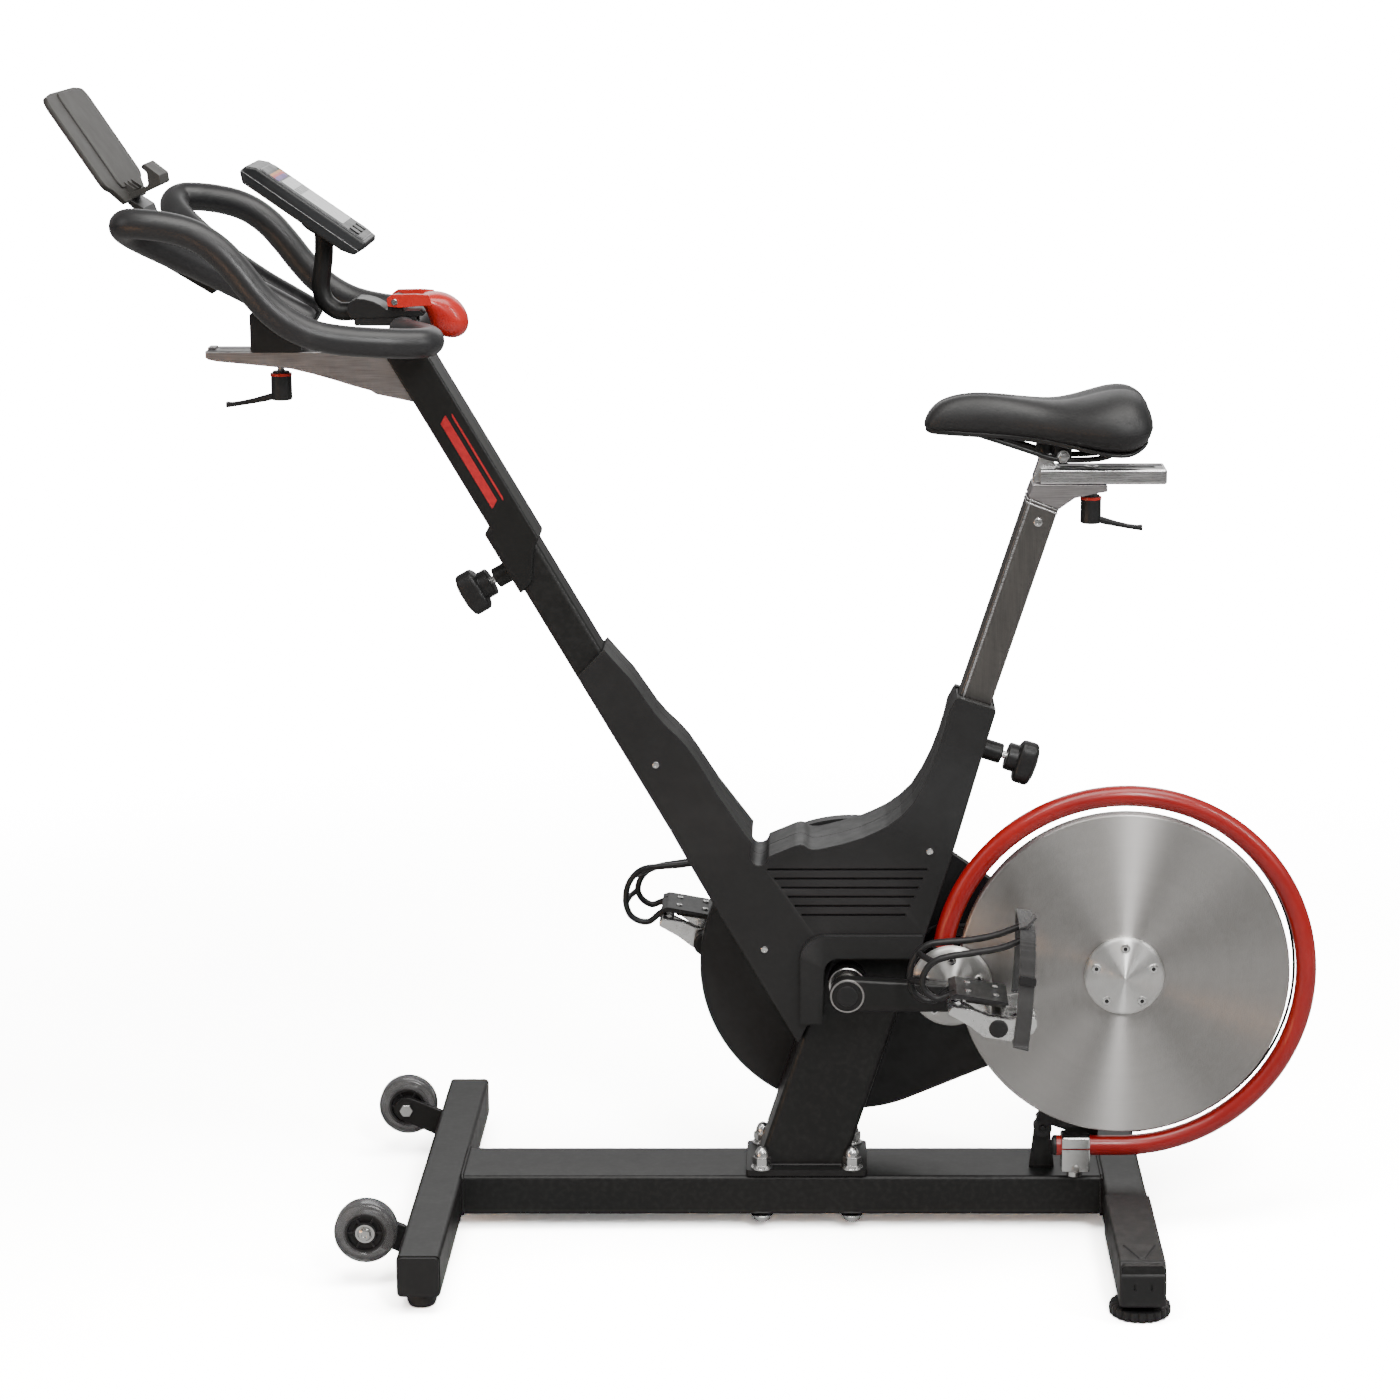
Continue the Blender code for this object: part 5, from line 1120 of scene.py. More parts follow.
def sockets(name, count, radius, centre, y, body, start):
    """Countersunk socket screws on a hub cap: a bright head with a round socket, and a black hexagon in each
    socket as painted shade.
    """
    heads = []
    socket_shade_hexagons = []
    for i in range(count):
        a = math.radians(start + 360.0 * i / count)
        place = (centre[0] + radius * math.cos(a), y, centre[1] + radius * math.sin(a))
        heads.append(lathe_bm([(0.0022, 0.0026), (0.0034, 0.0030), (0.0048, 0.0026), (0.0055, 0.0014),
                               (0.0056, -0.002),
                               (0, -0.002), (0, 0.0004), (0.0022, 0.0004)], 28, place, (0, -1, 0)))
        # a black hexagon on each socket's floor: painted shade standing in for the dark recess
        deep = (place[0], place[1] - 0.0005, place[2])
        socket_shade_hexagons.append(hexagon_nut(deep, (0, -1, 0), 0.0027, 0.0006))
    piece(name, merge(*heads), CHROME, body)
    # the painted shade hexagons in the sockets
    piece(name + "_painted_socket_shade", merge(*socket_shade_hexagons), HARD, body)


def build_idler():
    x, z = IDLER
    face = -0.0632
    cap = [(0, 0.0180), (0.0060, 0.0180), (0.0090, 0.0170), (0.0140, 0.0166), (0.0160, 0.0150),
           (0.0400, 0.0100),
           (0.0445, 0.0088), (0.0470, 0.0070), (0.0480, 0.0048), (0.0480, 0.0002), (0.0078, 0.0002),
           (0.0078, 0.0140), (0, 0.0140)]
    piece("idler_cone_cap", lathe_bm(cap, 96, (x, face, z), (0, -1, 0)), IDLER_CAP, "idler",
          ["idler_hub_cap"])
    sockets("idler_cap_screws", 5, 0.0335, IDLER, face - 0.0112, "idler", 90.0)
    shaft = rod_bm((x, -0.0765, z), (x, 0.0755, z), 0.0075, 0.0006, 28)
    small = rod_bm((x, 0.0610, z), (x, 0.0750, z), 0.0200, 0.0006, 48)
    piece("idler_turned_shaft", merge(shaft, small), SHADE_STEEL, "idler", ["idler_shaft"])
    paint_node("idler_pulley", SHADE_STEEL)


def build_cranks():
    x, z = CRANK
    inner, outer = 0.082, 0.102
    piece("crank_spindle", rod_bm((x, -inner + 0.0004, z), (x, inner - 0.0004, z), 0.0125, 0.0006, 32),
          SHADE_STEEL,
          "crank", ["crank_axle"])
    paint_node("crank_pulley", SHADE_STEEL)
    for tag, side in SIDES:
        tilt = math.radians(1.7)
        tip = (x - side * 0.170 * math.cos(tilt), z + side * 0.170 * math.sin(tilt))
        angle = math.degrees(math.atan2(tip[1] - z, tip[0] - x))
        outline = arc((x, z), 0.0200, angle + 96, angle + 264, 28) + arc(tip, 0.0145, angle - 84, angle + 84,
                                                                         22)
        lo, hi = sorted((side * inner, side * outer))
        bm = bevel_bm(prism_bm(outline, lo, hi), 0.0036, 4)
        boss = lathe_bm([(0, 0.003), (0.0180, 0.003), (0.0180, -0.0055), (0, -0.0055)], 36,
                        (x, side * inner, z),
                        (0, side, 0))
        piece("crank_forged_arm_" + tag, merge(bm, boss), PAINT, "crank", ["crank_arm_" + tag])
        ring = lathe_bm([(0.0196, 0.0006), (0.0200, 0), (0.0182, 0), (0.0178, 0.0007)], 64,
                        (x, side * outer, z),
                        (0, side, 0))
        piece("crank_cap_ring_" + tag, ring, SHADE_STEEL, "crank")
        cap = lathe_bm([(0, 0.0010), (0.0100, 0.0010), (0.0118, 0.0006), (0.0122, 0), (0, 0)], 40,
                       (x, side * outer, z), (0, side, 0))
        piece("crank_bolt_cap_" + tag, cap, HARD, "crank")
        eye = lathe_bm([(0.0088, 0.0006), (0.0096, 0), (0.0072, 0), (0.0074, 0.0005)], 36,
                       (tip[0], side * outer, tip[1]), (0, side, 0))
        piece("crank_pedal_eye_" + tag, eye, SHADE_STEEL, "crank")
        pinch = [socket_head((tip[0] + dx * (x - tip[0]) / 0.17, side * (outer - 0.0013),
                              tip[1] + dx * (z - tip[1]) / 0.17),
                             (0, side, 0), 0.0036, 0.0016) for dx in (0.0300,)]
        piece("crank_pinch_screw_" + tag, merge(*pinch), SHADE_STEEL, "crank")
        build_pedal(tag, side, tip)


class PedalFrame:
    """Places along a pedal (towards +X at rest, dipping), up from it, and out along its spindle."""

    def __init__(self, tip, side):
        tilt = math.radians(9)
        self.tip, self.side = tip, side
        self.along, self.up = (math.cos(tilt), -math.sin(tilt)), (math.sin(tilt), math.cos(tilt))

    def flat(self, a, u):
        return (self.tip[0] + a * self.along[0] + u * self.up[0],
                self.tip[1] + a * self.along[1] + u * self.up[1])

    def at(self, a, y, u):
        x, z = self.flat(a, u)
        return Vector((x, self.side * y, z))


def slab(place, y0, y1, points, radius=0.0, bevel=0.0, steps=3):
    outline = [place.flat(a, u) for a, u in (rounded(points, radius, steps) if radius else points)]
    lo, hi = sorted((place.side * y0, place.side * y1))
    bm = prism_bm(outline, lo, hi)
    return bevel_bm(bm, bevel, 2) if bevel else bm


def build_pedal(tag, side, tip):
    """Cast pedal with open windows and a bolted top plate, a two-bar toe cage and a woven strap."""
    body = "pedal_" + tag
    place = PedalFrame(tip, side)
    near, far = 0.106, 0.204
    rail_shape = [(-0.0600, 0.0080), (-0.0560, 0.0170), (-0.0300, 0.0170), (-0.0140, 0.0125),
                  (0.0120, 0.0125),
                  (0.0260, 0.0185), (0.0400, 0.0195), (0.0430, 0.0100), (0.0400, 0.0000), (0.0160, -0.0130),
                  (-0.0140, -0.0130), (-0.0340, -0.0020)]
    parts = [slab(place, near, near + 0.010, rail_shape, 0.003, 0.0012),
             slab(place, far - 0.010, far, rail_shape, 0.003, 0.0012)]
    parts.append(slab(place, near + 0.004, far - 0.004,
                      [(-0.0600, 0.0095), (-0.0560, 0.0170), (-0.0420, 0.0170),
                                                         (-0.0420, 0.0110), (-0.0460, 0.0060)], 0.0015,
                                                         0.0008))
    parts.append(slab(place, near + 0.004, far - 0.004, [(0.0300, 0.0185), (0.0400, 0.0190), (0.0430, 0.0100),
                                                         (0.0400, 0.0020), (0.0340, 0.0060)], 0.0015, 0.0008))
    for k in range(6):
        y = near + 0.018 + 0.0124 * k
        parts.append(slab(place, y - 0.0012, y + 0.0012,
                          [(-0.0560, 0.0150), (-0.0480, 0.0196), (-0.0420, 0.0150)]))
        parts.append(slab(place, y - 0.0012, y + 0.0012,
                          [(0.0310, 0.0170), (0.0370, 0.0216), (0.0410, 0.0170)]))
    barrel = lathe_bm([(0.0110, 0.098), (0.0125, 0.094), (0.0135, 0.080), (0.0142, 0.020), (0.0150, 0.004),
                       (0.0140, 0.0), (0.0066, 0.0), (0.0066, 0.098)], 36, place.at(0, near, 0), (0, side, 0))
    parts.append(barrel)
    for a0, a1, u0, u1 in ((-0.046, -0.008, 0.012, 0.004), (0.008, 0.036, 0.004, 0.010)):
        for y in (near + 0.030, near + 0.066):
            parts.append(slab(place, y, y + 0.006,
                              [(a0, u0 - 0.004), (a1, u1 - 0.008), (a1, u1), (a0, u0 + 0.003)],
                              0, 0.0008))
    piece("pedal_casting_" + tag, merge(*parts), CAST, body, ["pedal_" + tag])
    spindle = lathe_bm([(0, 0.040), (0.0058, 0.040), (0.0064, 0.030), (0.0064, 0), (0, 0)], 24,
                       place.at(0, 0.083, 0), (0, side, 0))
    flats = lathe_bm([(0.0092, 0.0036), (0.0098, 0.0030), (0.0098, 0.0006), (0.0092, 0), (0.0050, 0),
                      (0.0050, 0.0036)], 8, place.at(0, 0.1024, 0), (0, side, 0))
    piece("pedal_spindle_" + tag, merge(spindle, flats), CHROME, body)
    end = lathe_bm([(0, 0.0035), (0.0080, 0.0033), (0.0106, 0.0020), (0.0110, 0), (0, 0)], 32,
                   place.at(0, 0.204 - 0.002, 0), (0, side, 0))
    piece("pedal_end_cap_" + tag, end, HARD, body)
    grey = slab(place, near + 0.020, far - 0.020, [(-0.0400, 0.0182), (0.0060, 0.0192), (0.0060, 0.0222),
                                                   (-0.0400, 0.0212)], 0.0008, 0.0006)
    piece("pedal_shim_plate_" + tag, grey, TRAY, body)
    toe_cage(tag, place, near, far, body)
    toe_strap(tag, place, near, far, body)


def toe_cage(tag, place, near, far, body):
    """Two moulded hoops over the toe, tied by a foot plate, a nose web and a strap bridge."""
    mid = (near + far) / 2
    outer = [(-0.0520, 0.0225), (-0.0620, 0.0120), (-0.0710, 0.0020), (-0.0830, 0.0005), (-0.0956, 0.0065),
             (-0.1030, 0.0210), (-0.1042, 0.0395), (-0.0990, 0.0550), (-0.0880, 0.0665), (-0.0691, 0.0725),
             (-0.0417, 0.0792), (-0.0148, 0.0895), (0.0050, 0.1005), (0.0160, 0.1075)]
    inner = [(-0.0520, 0.0250), (-0.0620, 0.0185), (-0.0720, 0.0140), (-0.0840, 0.0190), (-0.0910, 0.0296),
             (-0.0900, 0.0436), (-0.0825, 0.0560), (-0.0668, 0.0650), (-0.0397, 0.0740), (-0.0127, 0.0832),
             (0.0061, 0.0935), (0.0170, 0.1015)]
    parts = []
    for y, hoop in ((mid - 0.016, outer), (mid + 0.016, inner)):
        path = smooth_path([place.at(a, y, u) for a, u in hoop], 5)
        parts.append(sweep_bm(path, 0.0038, 14, squash=1.25, up=(0, 1, 0)))
    foot = slab(place, mid - 0.034, mid + 0.034, [(-0.0560, 0.0205), (-0.0520, 0.0225), (0.0080, 0.0238),
                                                  (0.0080, 0.0268), (-0.0520, 0.0282), (-0.0600, 0.0240)],
                                                  0.001, 0.0008)
    parts.append(foot)
    for k in ((5, 4), (7, 6)):
        (a0, u0), (a1, u1) = outer[k[0]], inner[k[1]]
        tie = [place.at(a0, mid - 0.016, u0), place.at((a0 + a1) / 2 - 0.002, mid, (u0 + u1) / 2),
               place.at(a1, mid + 0.016, u1)]
        parts.append(sweep_bm(smooth_path(tie, 6), 0.0036, 12))
    bridge = slab(place, mid - 0.034, mid + 0.034, [(0.0090, 0.0985), (0.0200, 0.1040), (0.0225, 0.1130),
                                                    (0.0100, 0.1075)], 0.0015, 0.0008)
    parts.append(bridge)
    piece("toe_cage_hoops_" + tag, merge(*parts), HARD, body, ["toe_cage_" + tag])
    screws = [socket_head(place.at(a, mid + dy, 0.0276), Vector(place.at(0, 0, 1) - place.at(0, 0, 0)),
                          0.0038, 0.0022)
              for a in (-0.038, -0.006) for dy in (-0.016, 0.016)]
    piece("toe_cage_screws_" + tag, merge(*screws), CHROME, body)


def toe_strap(tag, place, near, far, body):
    """A woven strap round the pedal and through the cage's bridge, with its buckle and loose end."""
    low, top = -0.0172, 0.1165
    y0, y1 = near - 0.0020, far + 0.0020
    half_route = [(0.0285, 0.004, low), (0.0280, 0.0, low + 0.004), (0.0262, 0.0, 0.020),
                  (0.0213, 0.001, 0.068),
                  (0.0165, 0.003, 0.100), (0.0145, 0.008, top - 0.003), (0.0140, 0.020, top)]
    route = [(a, y0 + d, u) for a, d, u in half_route] + [(a, y1 - d, u) for a, d, u in half_route[::-1]]
    points = smooth_path([place.at(a, y, u) for a, y, u in route], 5, True)
    half, thick = 0.0090, 0.0011
    width = Vector(place.at(1, 0, 0) - place.at(0, 0, 0)).normalized()
    bm = bmesh.new()
    rings = []
    count = len(points)
    for i, here in enumerate(points):
        tangent = (points[(i + 1) % count] - points[i - 1]).normalized()
        across = (width - tangent * width.dot(tangent)).normalized()
        out = tangent.cross(across).normalized()
        ring = [here + across * half + out * thick * 0.5, here + across * (half - 0.0004) + out * thick,
                here - across * (half - 0.0004) + out * thick, here - across * half + out * thick * 0.5,
                here - across * half - out * thick * 0.5, here + across * half - out * thick * 0.5]
        rings.append([bm.verts.new(p) for p in ring])
    for a, b in zip(rings, rings[1:] + rings[:1]):
        for k in range(6):
            m = (k + 1) % 6
            bm.faces.new((a[k], a[m], b[m], b[k]))
    bmesh.ops.recalc_face_normals(bm, faces=bm.faces)
    piece("toe_strap_webbing_" + tag, bm, STRAP, body, ["toe_strap_" + tag])
    tail = slab(place, y1 - 0.024, y1 - 0.008,
                [(0.0040, 0.1178), (0.0050, 0.1196), (0.0120, 0.1230), (0.0200, 0.1345),
                                                (0.0216, 0.1335), (0.0140, 0.1205)])
    piece("toe_strap_tail_" + tag, tail, STRAP, body)
    buckle = slab(place, y1 - 0.0006, y1 + 0.0026, [(0.0130, 0.0560), (0.0330, 0.0560), (0.0320, 0.0660),
                                                    (0.0120, 0.0660)], 0.002, 0.0008)
    piece("toe_strap_buckle_" + tag, buckle, HARD, body)


# ---------------------------------------------------------------- handlebar side
def build_sleeve():
    """Channel round the mast with a rolled back, a closing plate, the knob's boss and two printed bars."""
    low, high, half = 0.2127, 0.2555, 0.0325
    under, top_z = 0.2035, 1.0435
    outline = [MAST.level(low, top_z), MAST.level(high, top_z), MAST.at(0.8180, high),
               MAST.at(0.8145, 0.2540),
               MAST.at(0.8125, 0.2500), MAST.at(0.8110, 0.2462), MAST.at(0.7830, 0.2269),
               MAST.at(0.7765, 0.2215),
               MAST.at(0.7740, 0.2150), MAST.at(0.7710, under), MAST.at(0.8500, under),
               MAST.at(0.8525, 0.2050),
               MAST.at(0.8540, low)]
    bm = prism_bm(outline, -half, half)
    bevel_bm(bm, 0.0030, 3)
    obj = piece("sleeve_channel", bm, PAINT, "handlebar_stem", ["handlebar_sleeve"])
    clear = 0.0003
    subtract(obj, box_tube_bm(MAST, 0.70, 0.985, (0.2080 - clear, 0.2497 + clear), 0.0275 + clear, 0.006, 5),
             rod_bm(MAST.at3(KNOB_T, 0, 0.15), MAST.at3(KNOB_T, 0, 0.22), 0.0048, 0.0, 20))
    boss = lathe_bm([(0.0120, 0.0200), (0.0120, 0), (0.0048, 0), (0.0048, 0.0190), (0.0060, 0.0202),
                     (0.0110, 0.0210), (0.0117, 0.0207)], 40, MAST.at3(KNOB_T, 0, 0.2042), -MAST.across)
    piece("sleeve_knob_boss", boss, PAINT, "handlebar_stem")
    weld = [MAST.at3(KNOB_T, 0, 0.2033)
            + Vector((0, 1, 0)) * 0.0122 * math.cos(a) + MAST.along * 0.0122 * math.sin(a)
            for a in (2 * math.pi * k / 24 for k in range(24))]
    piece("sleeve_boss_weld", bead_bm(weld, 0.0014, True), PAINT, "handlebar_stem")
    for tag, side in SIDES:
        for k, (o, wide, t0, t1, mat) in enumerate(((0.2320, 0.0100, 0.872, 0.985, RED_PRINT),
                                                    (0.2435, 0.0022, 0.872, 0.985, RED_PRINT))):
            bar = [MAST.at(t0, o - wide / 2), MAST.at(t0 + 0.006, o + wide / 2),
                   MAST.at(t1 + 0.006, o + wide / 2),
                   MAST.at(t1, o - wide / 2)]
            lo, hi = sorted((side * (half - 0.0002), side * (half + 0.00008)))
            piece("sleeve_stripe_%s_%d" % (tag, k + 1), prism_bm(rounded(bar, 0.0008, 2), lo, hi), mat,
                  "handlebar_stem")
    stop = socket_head(MAST.at3(0.7573, 0, 0.2140), -MAST.across, 0.0050, 0.0062, 24)
    piece("mast_stop_screw", stop, CHROME, "frame")


def build_bracket():
    """Forward-reaching aluminium rail with a dark top channel, a stud slot and a lip at its front."""
    face = 0.2127 - 0.0003
    top = 1.0475
    outline = [(-0.5610, top), (-0.5610, 1.0405), (-0.5580, 1.0382), (-0.5480, 1.0360), (-0.5100, 1.0325),
               (-0.4650, 1.0280), (-0.4400, 1.0220), (-0.4140, 1.0145), (-0.3950, 1.0085), (-0.3750, 1.0030),
               (-0.3690, 0.9990), MAST.level(face, 0.9900), MAST.level(face, top)]
    bm = prism_bm(outline, -0.025, 0.025)
    bevel_bm(bm, 0.0014, 3, lambda e: abs(e.verts[0].co.y - e.verts[1].co.y) < 0.001, 40)
    obj = piece("bracket_rail", bm, RAIL, "handlebar_stem", ["handlebar_bracket"])
    slot = rounded([(-0.5500, -0.0050), (-0.4050, -0.0050), (-0.4050, 0.0050), (-0.5500, 0.0050)], 0.0049, 6)
    subtract(obj, plate_bm((0, 0, 0.95), (1, 0, 0), (0, 1, 0), slot, 0.15))
    lip = bevel_bm(box_bm((-0.5605, -0.0098, top - 0.0006), (-0.5515, 0.0098, top + 0.0031)), 0.0009, 2)
    piece("bracket_lip", lip, RAIL, "handlebar_stem")
    deck = []
    for side in (-1, 1):
        lo, hi = sorted((side * 0.0118, side * 0.0236))
        deck.append(bevel_bm(box_bm((-0.5585, lo, top - 0.0005), (-0.3720, hi, top + 0.00015)), 0.0001, 1))
    piece("bracket_deck", merge(*deck), HARD, "handlebar_stem")


def build_slider():
    """The stem block, with a channel cut in its underside, and its stud."""
    outline = rounded([(-0.5080, 1.0478), (-0.4510, 1.0478), (-0.4510, 1.0662), (-0.5080, 1.0935)], 0.0025, 3)
    bm = bevel_bm(prism_bm(outline, -0.034, 0.034), 0.0022, 3)
    obj = piece("stem_block", bm, PAINT, "handlebar", ["handlebar_slider"])
    subtract(obj, box_bm((-0.52, -0.0112, 1.0400), (-0.44, 0.0112, 1.0515)))
    stud = rod_bm((-0.4795, 0, 1.0560), (-0.4795, 0, 1.0070), 0.0040, 0.0004, 20)
    plate = rod_bm((-0.4795, 0, 1.0525), (-0.4795, 0, 1.0478), 0.0092, 0.0006, 28)
    piece("stem_stud", merge(stud, plate), SHADE_STEEL, "handlebar")


def handlebar_side(side):
    half = [(-0.440, 0.034, 1.0810), (-0.470, 0.035, 1.0985), (-0.505, 0.039, 1.1185),
            (-0.545, 0.059, 1.1425),
            (-0.585, 0.096, 1.1680), (-0.612, 0.128, 1.1875), (-0.6205, 0.150, 1.1985),
            (-0.6140, 0.167, 1.2045),
            (-0.596, 0.172, 1.2045), (-0.574, 0.172, 1.2020), (-0.551, 0.172, 1.1965),
            (-0.531, 0.172, 1.1870),
            (-0.512, 0.172, 1.1720), (-0.494, 0.172, 1.1510), (-0.478, 0.172, 1.1300),
            (-0.461, 0.171, 1.1110),
            (-0.441, 0.169, 1.0955), (-0.417, 0.165, 1.0840), (-0.388, 0.158, 1.0775),
            (-0.356, 0.150, 1.0740),
            (-0.325, 0.140, 1.0715), (-0.305, 0.128, 1.0705), (-0.2975, 0.108, 1.0705),
            (-0.306, 0.084, 1.0705),
            (-0.322, 0.060, 1.0705), (-0.334, 0.034, 1.0705)]
    return [(x, side * y, z) for x, y, z in half]


def build_handlebar():
    """One dipped tube from stem to stem, domed where each stem ends, with a ridge round each end."""
    route = handlebar_side(-1) + [(-0.338, 0.0, 1.0705)] + handlebar_side(1)[::-1]
    path = smooth_path(route, 7)
    radius = 0.0165
    last = len(path) - 1

    def thickness(f):
        near = min(f, 1 - f) * last
        return radius * (0.90 if near < 0.5 else 0.97 if near < 1.5 else 1.0)

    piece("dipped_handlebar", sweep_bm(path, thickness, 40), GRIP, "handlebar", ["handlebar"],
          sharp=60)
    for tag, side in SIDES:
        start, after = Vector(handlebar_side(side)[0]), Vector(handlebar_side(side)[1])
        out = (start - after).normalized()
        plug = lathe_bm([(0, 0.0016), (0.0105, 0.0014), (0.0125, 0.0004), (0.0128, -0.003), (0, -0.003)], 36,
                        start,
                        out)
        piece("stem_end_plug_" + tag, plug, HARD, "handlebar")


def slab_frame():
    along = Vector((0.1186, -0.0829)).normalized()
    return Vector((-0.4920, 1.2552)), along, Vector((-along.y, along.x))


def build_console():
    """Display box on a bent neck: dark case, thin bezel, glass window, keys and plain coloured marks."""
    start, along, up = slab_frame()
    length, thick, half = 0.145, 0.023, 0.048

    def at(a, u):
        p = start + along * a + up * u
        return (p.x, p.y)

    def at3(a, y, u):
        x, z = at(a, u)
        return Vector((x, y, z))

    outline = rounded([at(-0.011, -0.0050), at(0.000, 0), at(length, 0), at(length + 0.003, -0.0055),
                       at(length - 0.004, -0.0195), at(length - 0.018, -thick), at(-0.004, -thick),
                       at(-0.0135, -0.0135)], 0.003, 3)
    case = bevel_bm(prism_bm(outline, -half, half), 0.0045, 4)
    piece("console_case", case, CASE, "handlebar", ["console"])
    direction = Vector((along.x, 0, along.y))
    upward = Vector((up.x, 0, up.y))

    def face_plate(name, a0, a1, y0, y1, u, thick_up, corner, mat):
        """A thin plate with rounded corners lying on the console's face."""
        outline = rounded([(a0, y0), (a1, y0), (a1, y1), (a0, y1)], corner, 5)
        bm = bmesh.new()
        low = [bm.verts.new(at3(a, y, u)) for a, y in outline]
        high_ring = [bm.verts.new(at3(a, y, u + thick_up)) for a, y in outline]
        count = len(outline)
        for k in range(count):
            m = (k + 1) % count
            bm.faces.new((low[k], low[m], high_ring[m], high_ring[k]))
        bm.faces.new(low)
        bm.faces.new(high_ring)
        bmesh.ops.recalc_face_normals(bm, faces=bm.faces)
        bevel_bm(bm, min(0.0003, thick_up * 0.4), 2,
                 lambda e: (e.verts[0].co - e.verts[1].co).length > 0.0005, 60)
        return piece(name, bm, mat, "handlebar")

    face_plate("console_bezel", 0.0035, length - 0.0035, -0.0445, 0.0445, -0.0006, 0.0014, 0.008, BEZEL)
    face_plate("console_fascia", 0.0052, length - 0.0052, -0.0428, 0.0428, 0.0004, 0.0009, 0.007, CASE)
    face_plate("console_window", 0.0300, 0.1120, -0.0360, 0.0360, 0.0010, 0.0008, 0.004, GLASS)
    for k in range(5):
        y = -0.026 + 0.013 * k
        segment = face_plate("console_readout_%d" % (k + 1), 0.046, 0.056, y - 0.0040, y + 0.0040, 0.0015,
                             0.0004,
                             0.0008, READOUT)
        segment.data.shade_flat()
    for k, mat in enumerate((MARK_GREEN, MARK_AMBER, MARK_RED, MARK_VIOLET)):
        y = -0.0240 + 0.016 * k
        face_plate("console_mark_%d" % (k + 1), 0.0125 + 0.0032 * k, 0.0185 + 0.0032 * k, -0.0400,
                   0.0400 - 0.004 * k,
                   0.0010, 0.0003 + 0.0001 * k, 0.002, mat)
    for k in range(3):
        y = -0.026 + 0.026 * k
        face_plate("console_key_%d" % (k + 1), 0.1205, 0.1330, y - 0.0085, y + 0.0085, 0.0010, 0.0018, 0.004,
                   HARD)
    seam = [at3(a, y, -0.0120) for a, y in ((-0.0125, -half), (length - 0.002, -half))]
    line = sweep_bm([seam[0] + Vector((0, -0.0001, 0)), seam[1] + Vector((0, -0.0001, 0))], 0.0005, 6)
    seam_far = sweep_bm([seam[0] + Vector((0, 2 * half + 0.0001, 0)),
                         seam[1] + Vector((0, 2 * half + 0.0001, 0))],
                        0.0005, 6)
    piece("console_seam", merge(line, seam_far), BEZEL, "handlebar")
    # the two ports on the lower end
    for k, y in enumerate((-0.022, 0.018)):
        base = at3(length - 0.004, y, -0.0165)
        port = lathe_bm([(0.0018, 0.0022), (0.0048, 0.0022), (0.0052, 0.0016), (0.0052, -0.004), (0, -0.004),
                         (0, 0.0004), (0.0018, 0.0004)], 24, base, direction * 0.92 - upward * 0.39)
        piece("console_port_%d" % (k + 1), port, HARD, "handlebar")
    socket = rod_bm(at3(0.083, 0, -0.0225), at3(0.083, 0, -0.0305), 0.0150, 0.0015, 36, 0.0125)
    piece("console_socket", socket, HARD, "handlebar")
    neck = smooth_path([(-0.4260, 0, 1.1800), (-0.4258, 0, 1.1690), (-0.4270, 0, 1.1480),
                        (-0.4310, 0, 1.1200),
                        (-0.4260, 0, 1.1020), (-0.4120, 0, 1.0910), (-0.3960, 0, 1.0905),
                        (-0.3900, 0, 1.0905)], 8)
    piece("console_neck", sweep_bm(neck, 0.0105, 28, up=(0, 1, 0)), PAINT, "handlebar")


def build_shifter():
    """Moulded lever housing: humped nose over the neck's foot, sloped waist and a flat-topped box."""
    half = 0.0210
    outline = rounded([(-0.3960, 1.0850), (-0.4000, 1.0930), (-0.3975, 1.1020), (-0.3880, 1.1070),
                       (-0.3800, 1.1065),
                       (-0.3700, 1.1040), (-0.3620, 1.1000), (-0.3560, 1.0950), (-0.3500, 1.0935),
                       (-0.3170, 1.0935),
                       (-0.3135, 1.0905), (-0.3135, 1.0875), (-0.3700, 1.0850)], 0.0012, 2)
    bm = bevel_bm(prism_bm(outline, -half, half), 0.0026, 3)
    piece("shifter_housing", bm, HARD, "handlebar", ["shifter_base"])
    lug = rounded([(-0.3545, 1.0900), (-0.3530, 1.1040), (-0.3500, 1.1085), (-0.3450, 1.1100),
                   (-0.3400, 1.1085),
                   (-0.3370, 1.1040), (-0.3350, 1.0900)], 0.001, 2)
    piece("shifter_lug", bevel_bm(prism_bm(lug, -0.0205, 0.0205), 0.0016, 2), HARD, "handlebar")
    pin = rod_bm((-0.3450, -0.0298, 1.1040), (-0.3450, 0.0298, 1.1040), 0.0035, 0.0004, 24)
    piece("shifter_pin", pin, CHROME, "handlebar")
    feet = []
    for side in (-1, 1):
        lo, hi = sorted((side * 0.012, side * 0.0195))
        feet.append(bevel_bm(prism_bm(rounded([(-0.392, 1.0905), (-0.392, 1.076), (-0.322, 1.076),
                                               (-0.322, 1.0905)],
                                              0.002, 2), lo, hi), 0.001, 2))
    piece("shifter_saddle", merge(*feet), HARD, "handlebar")


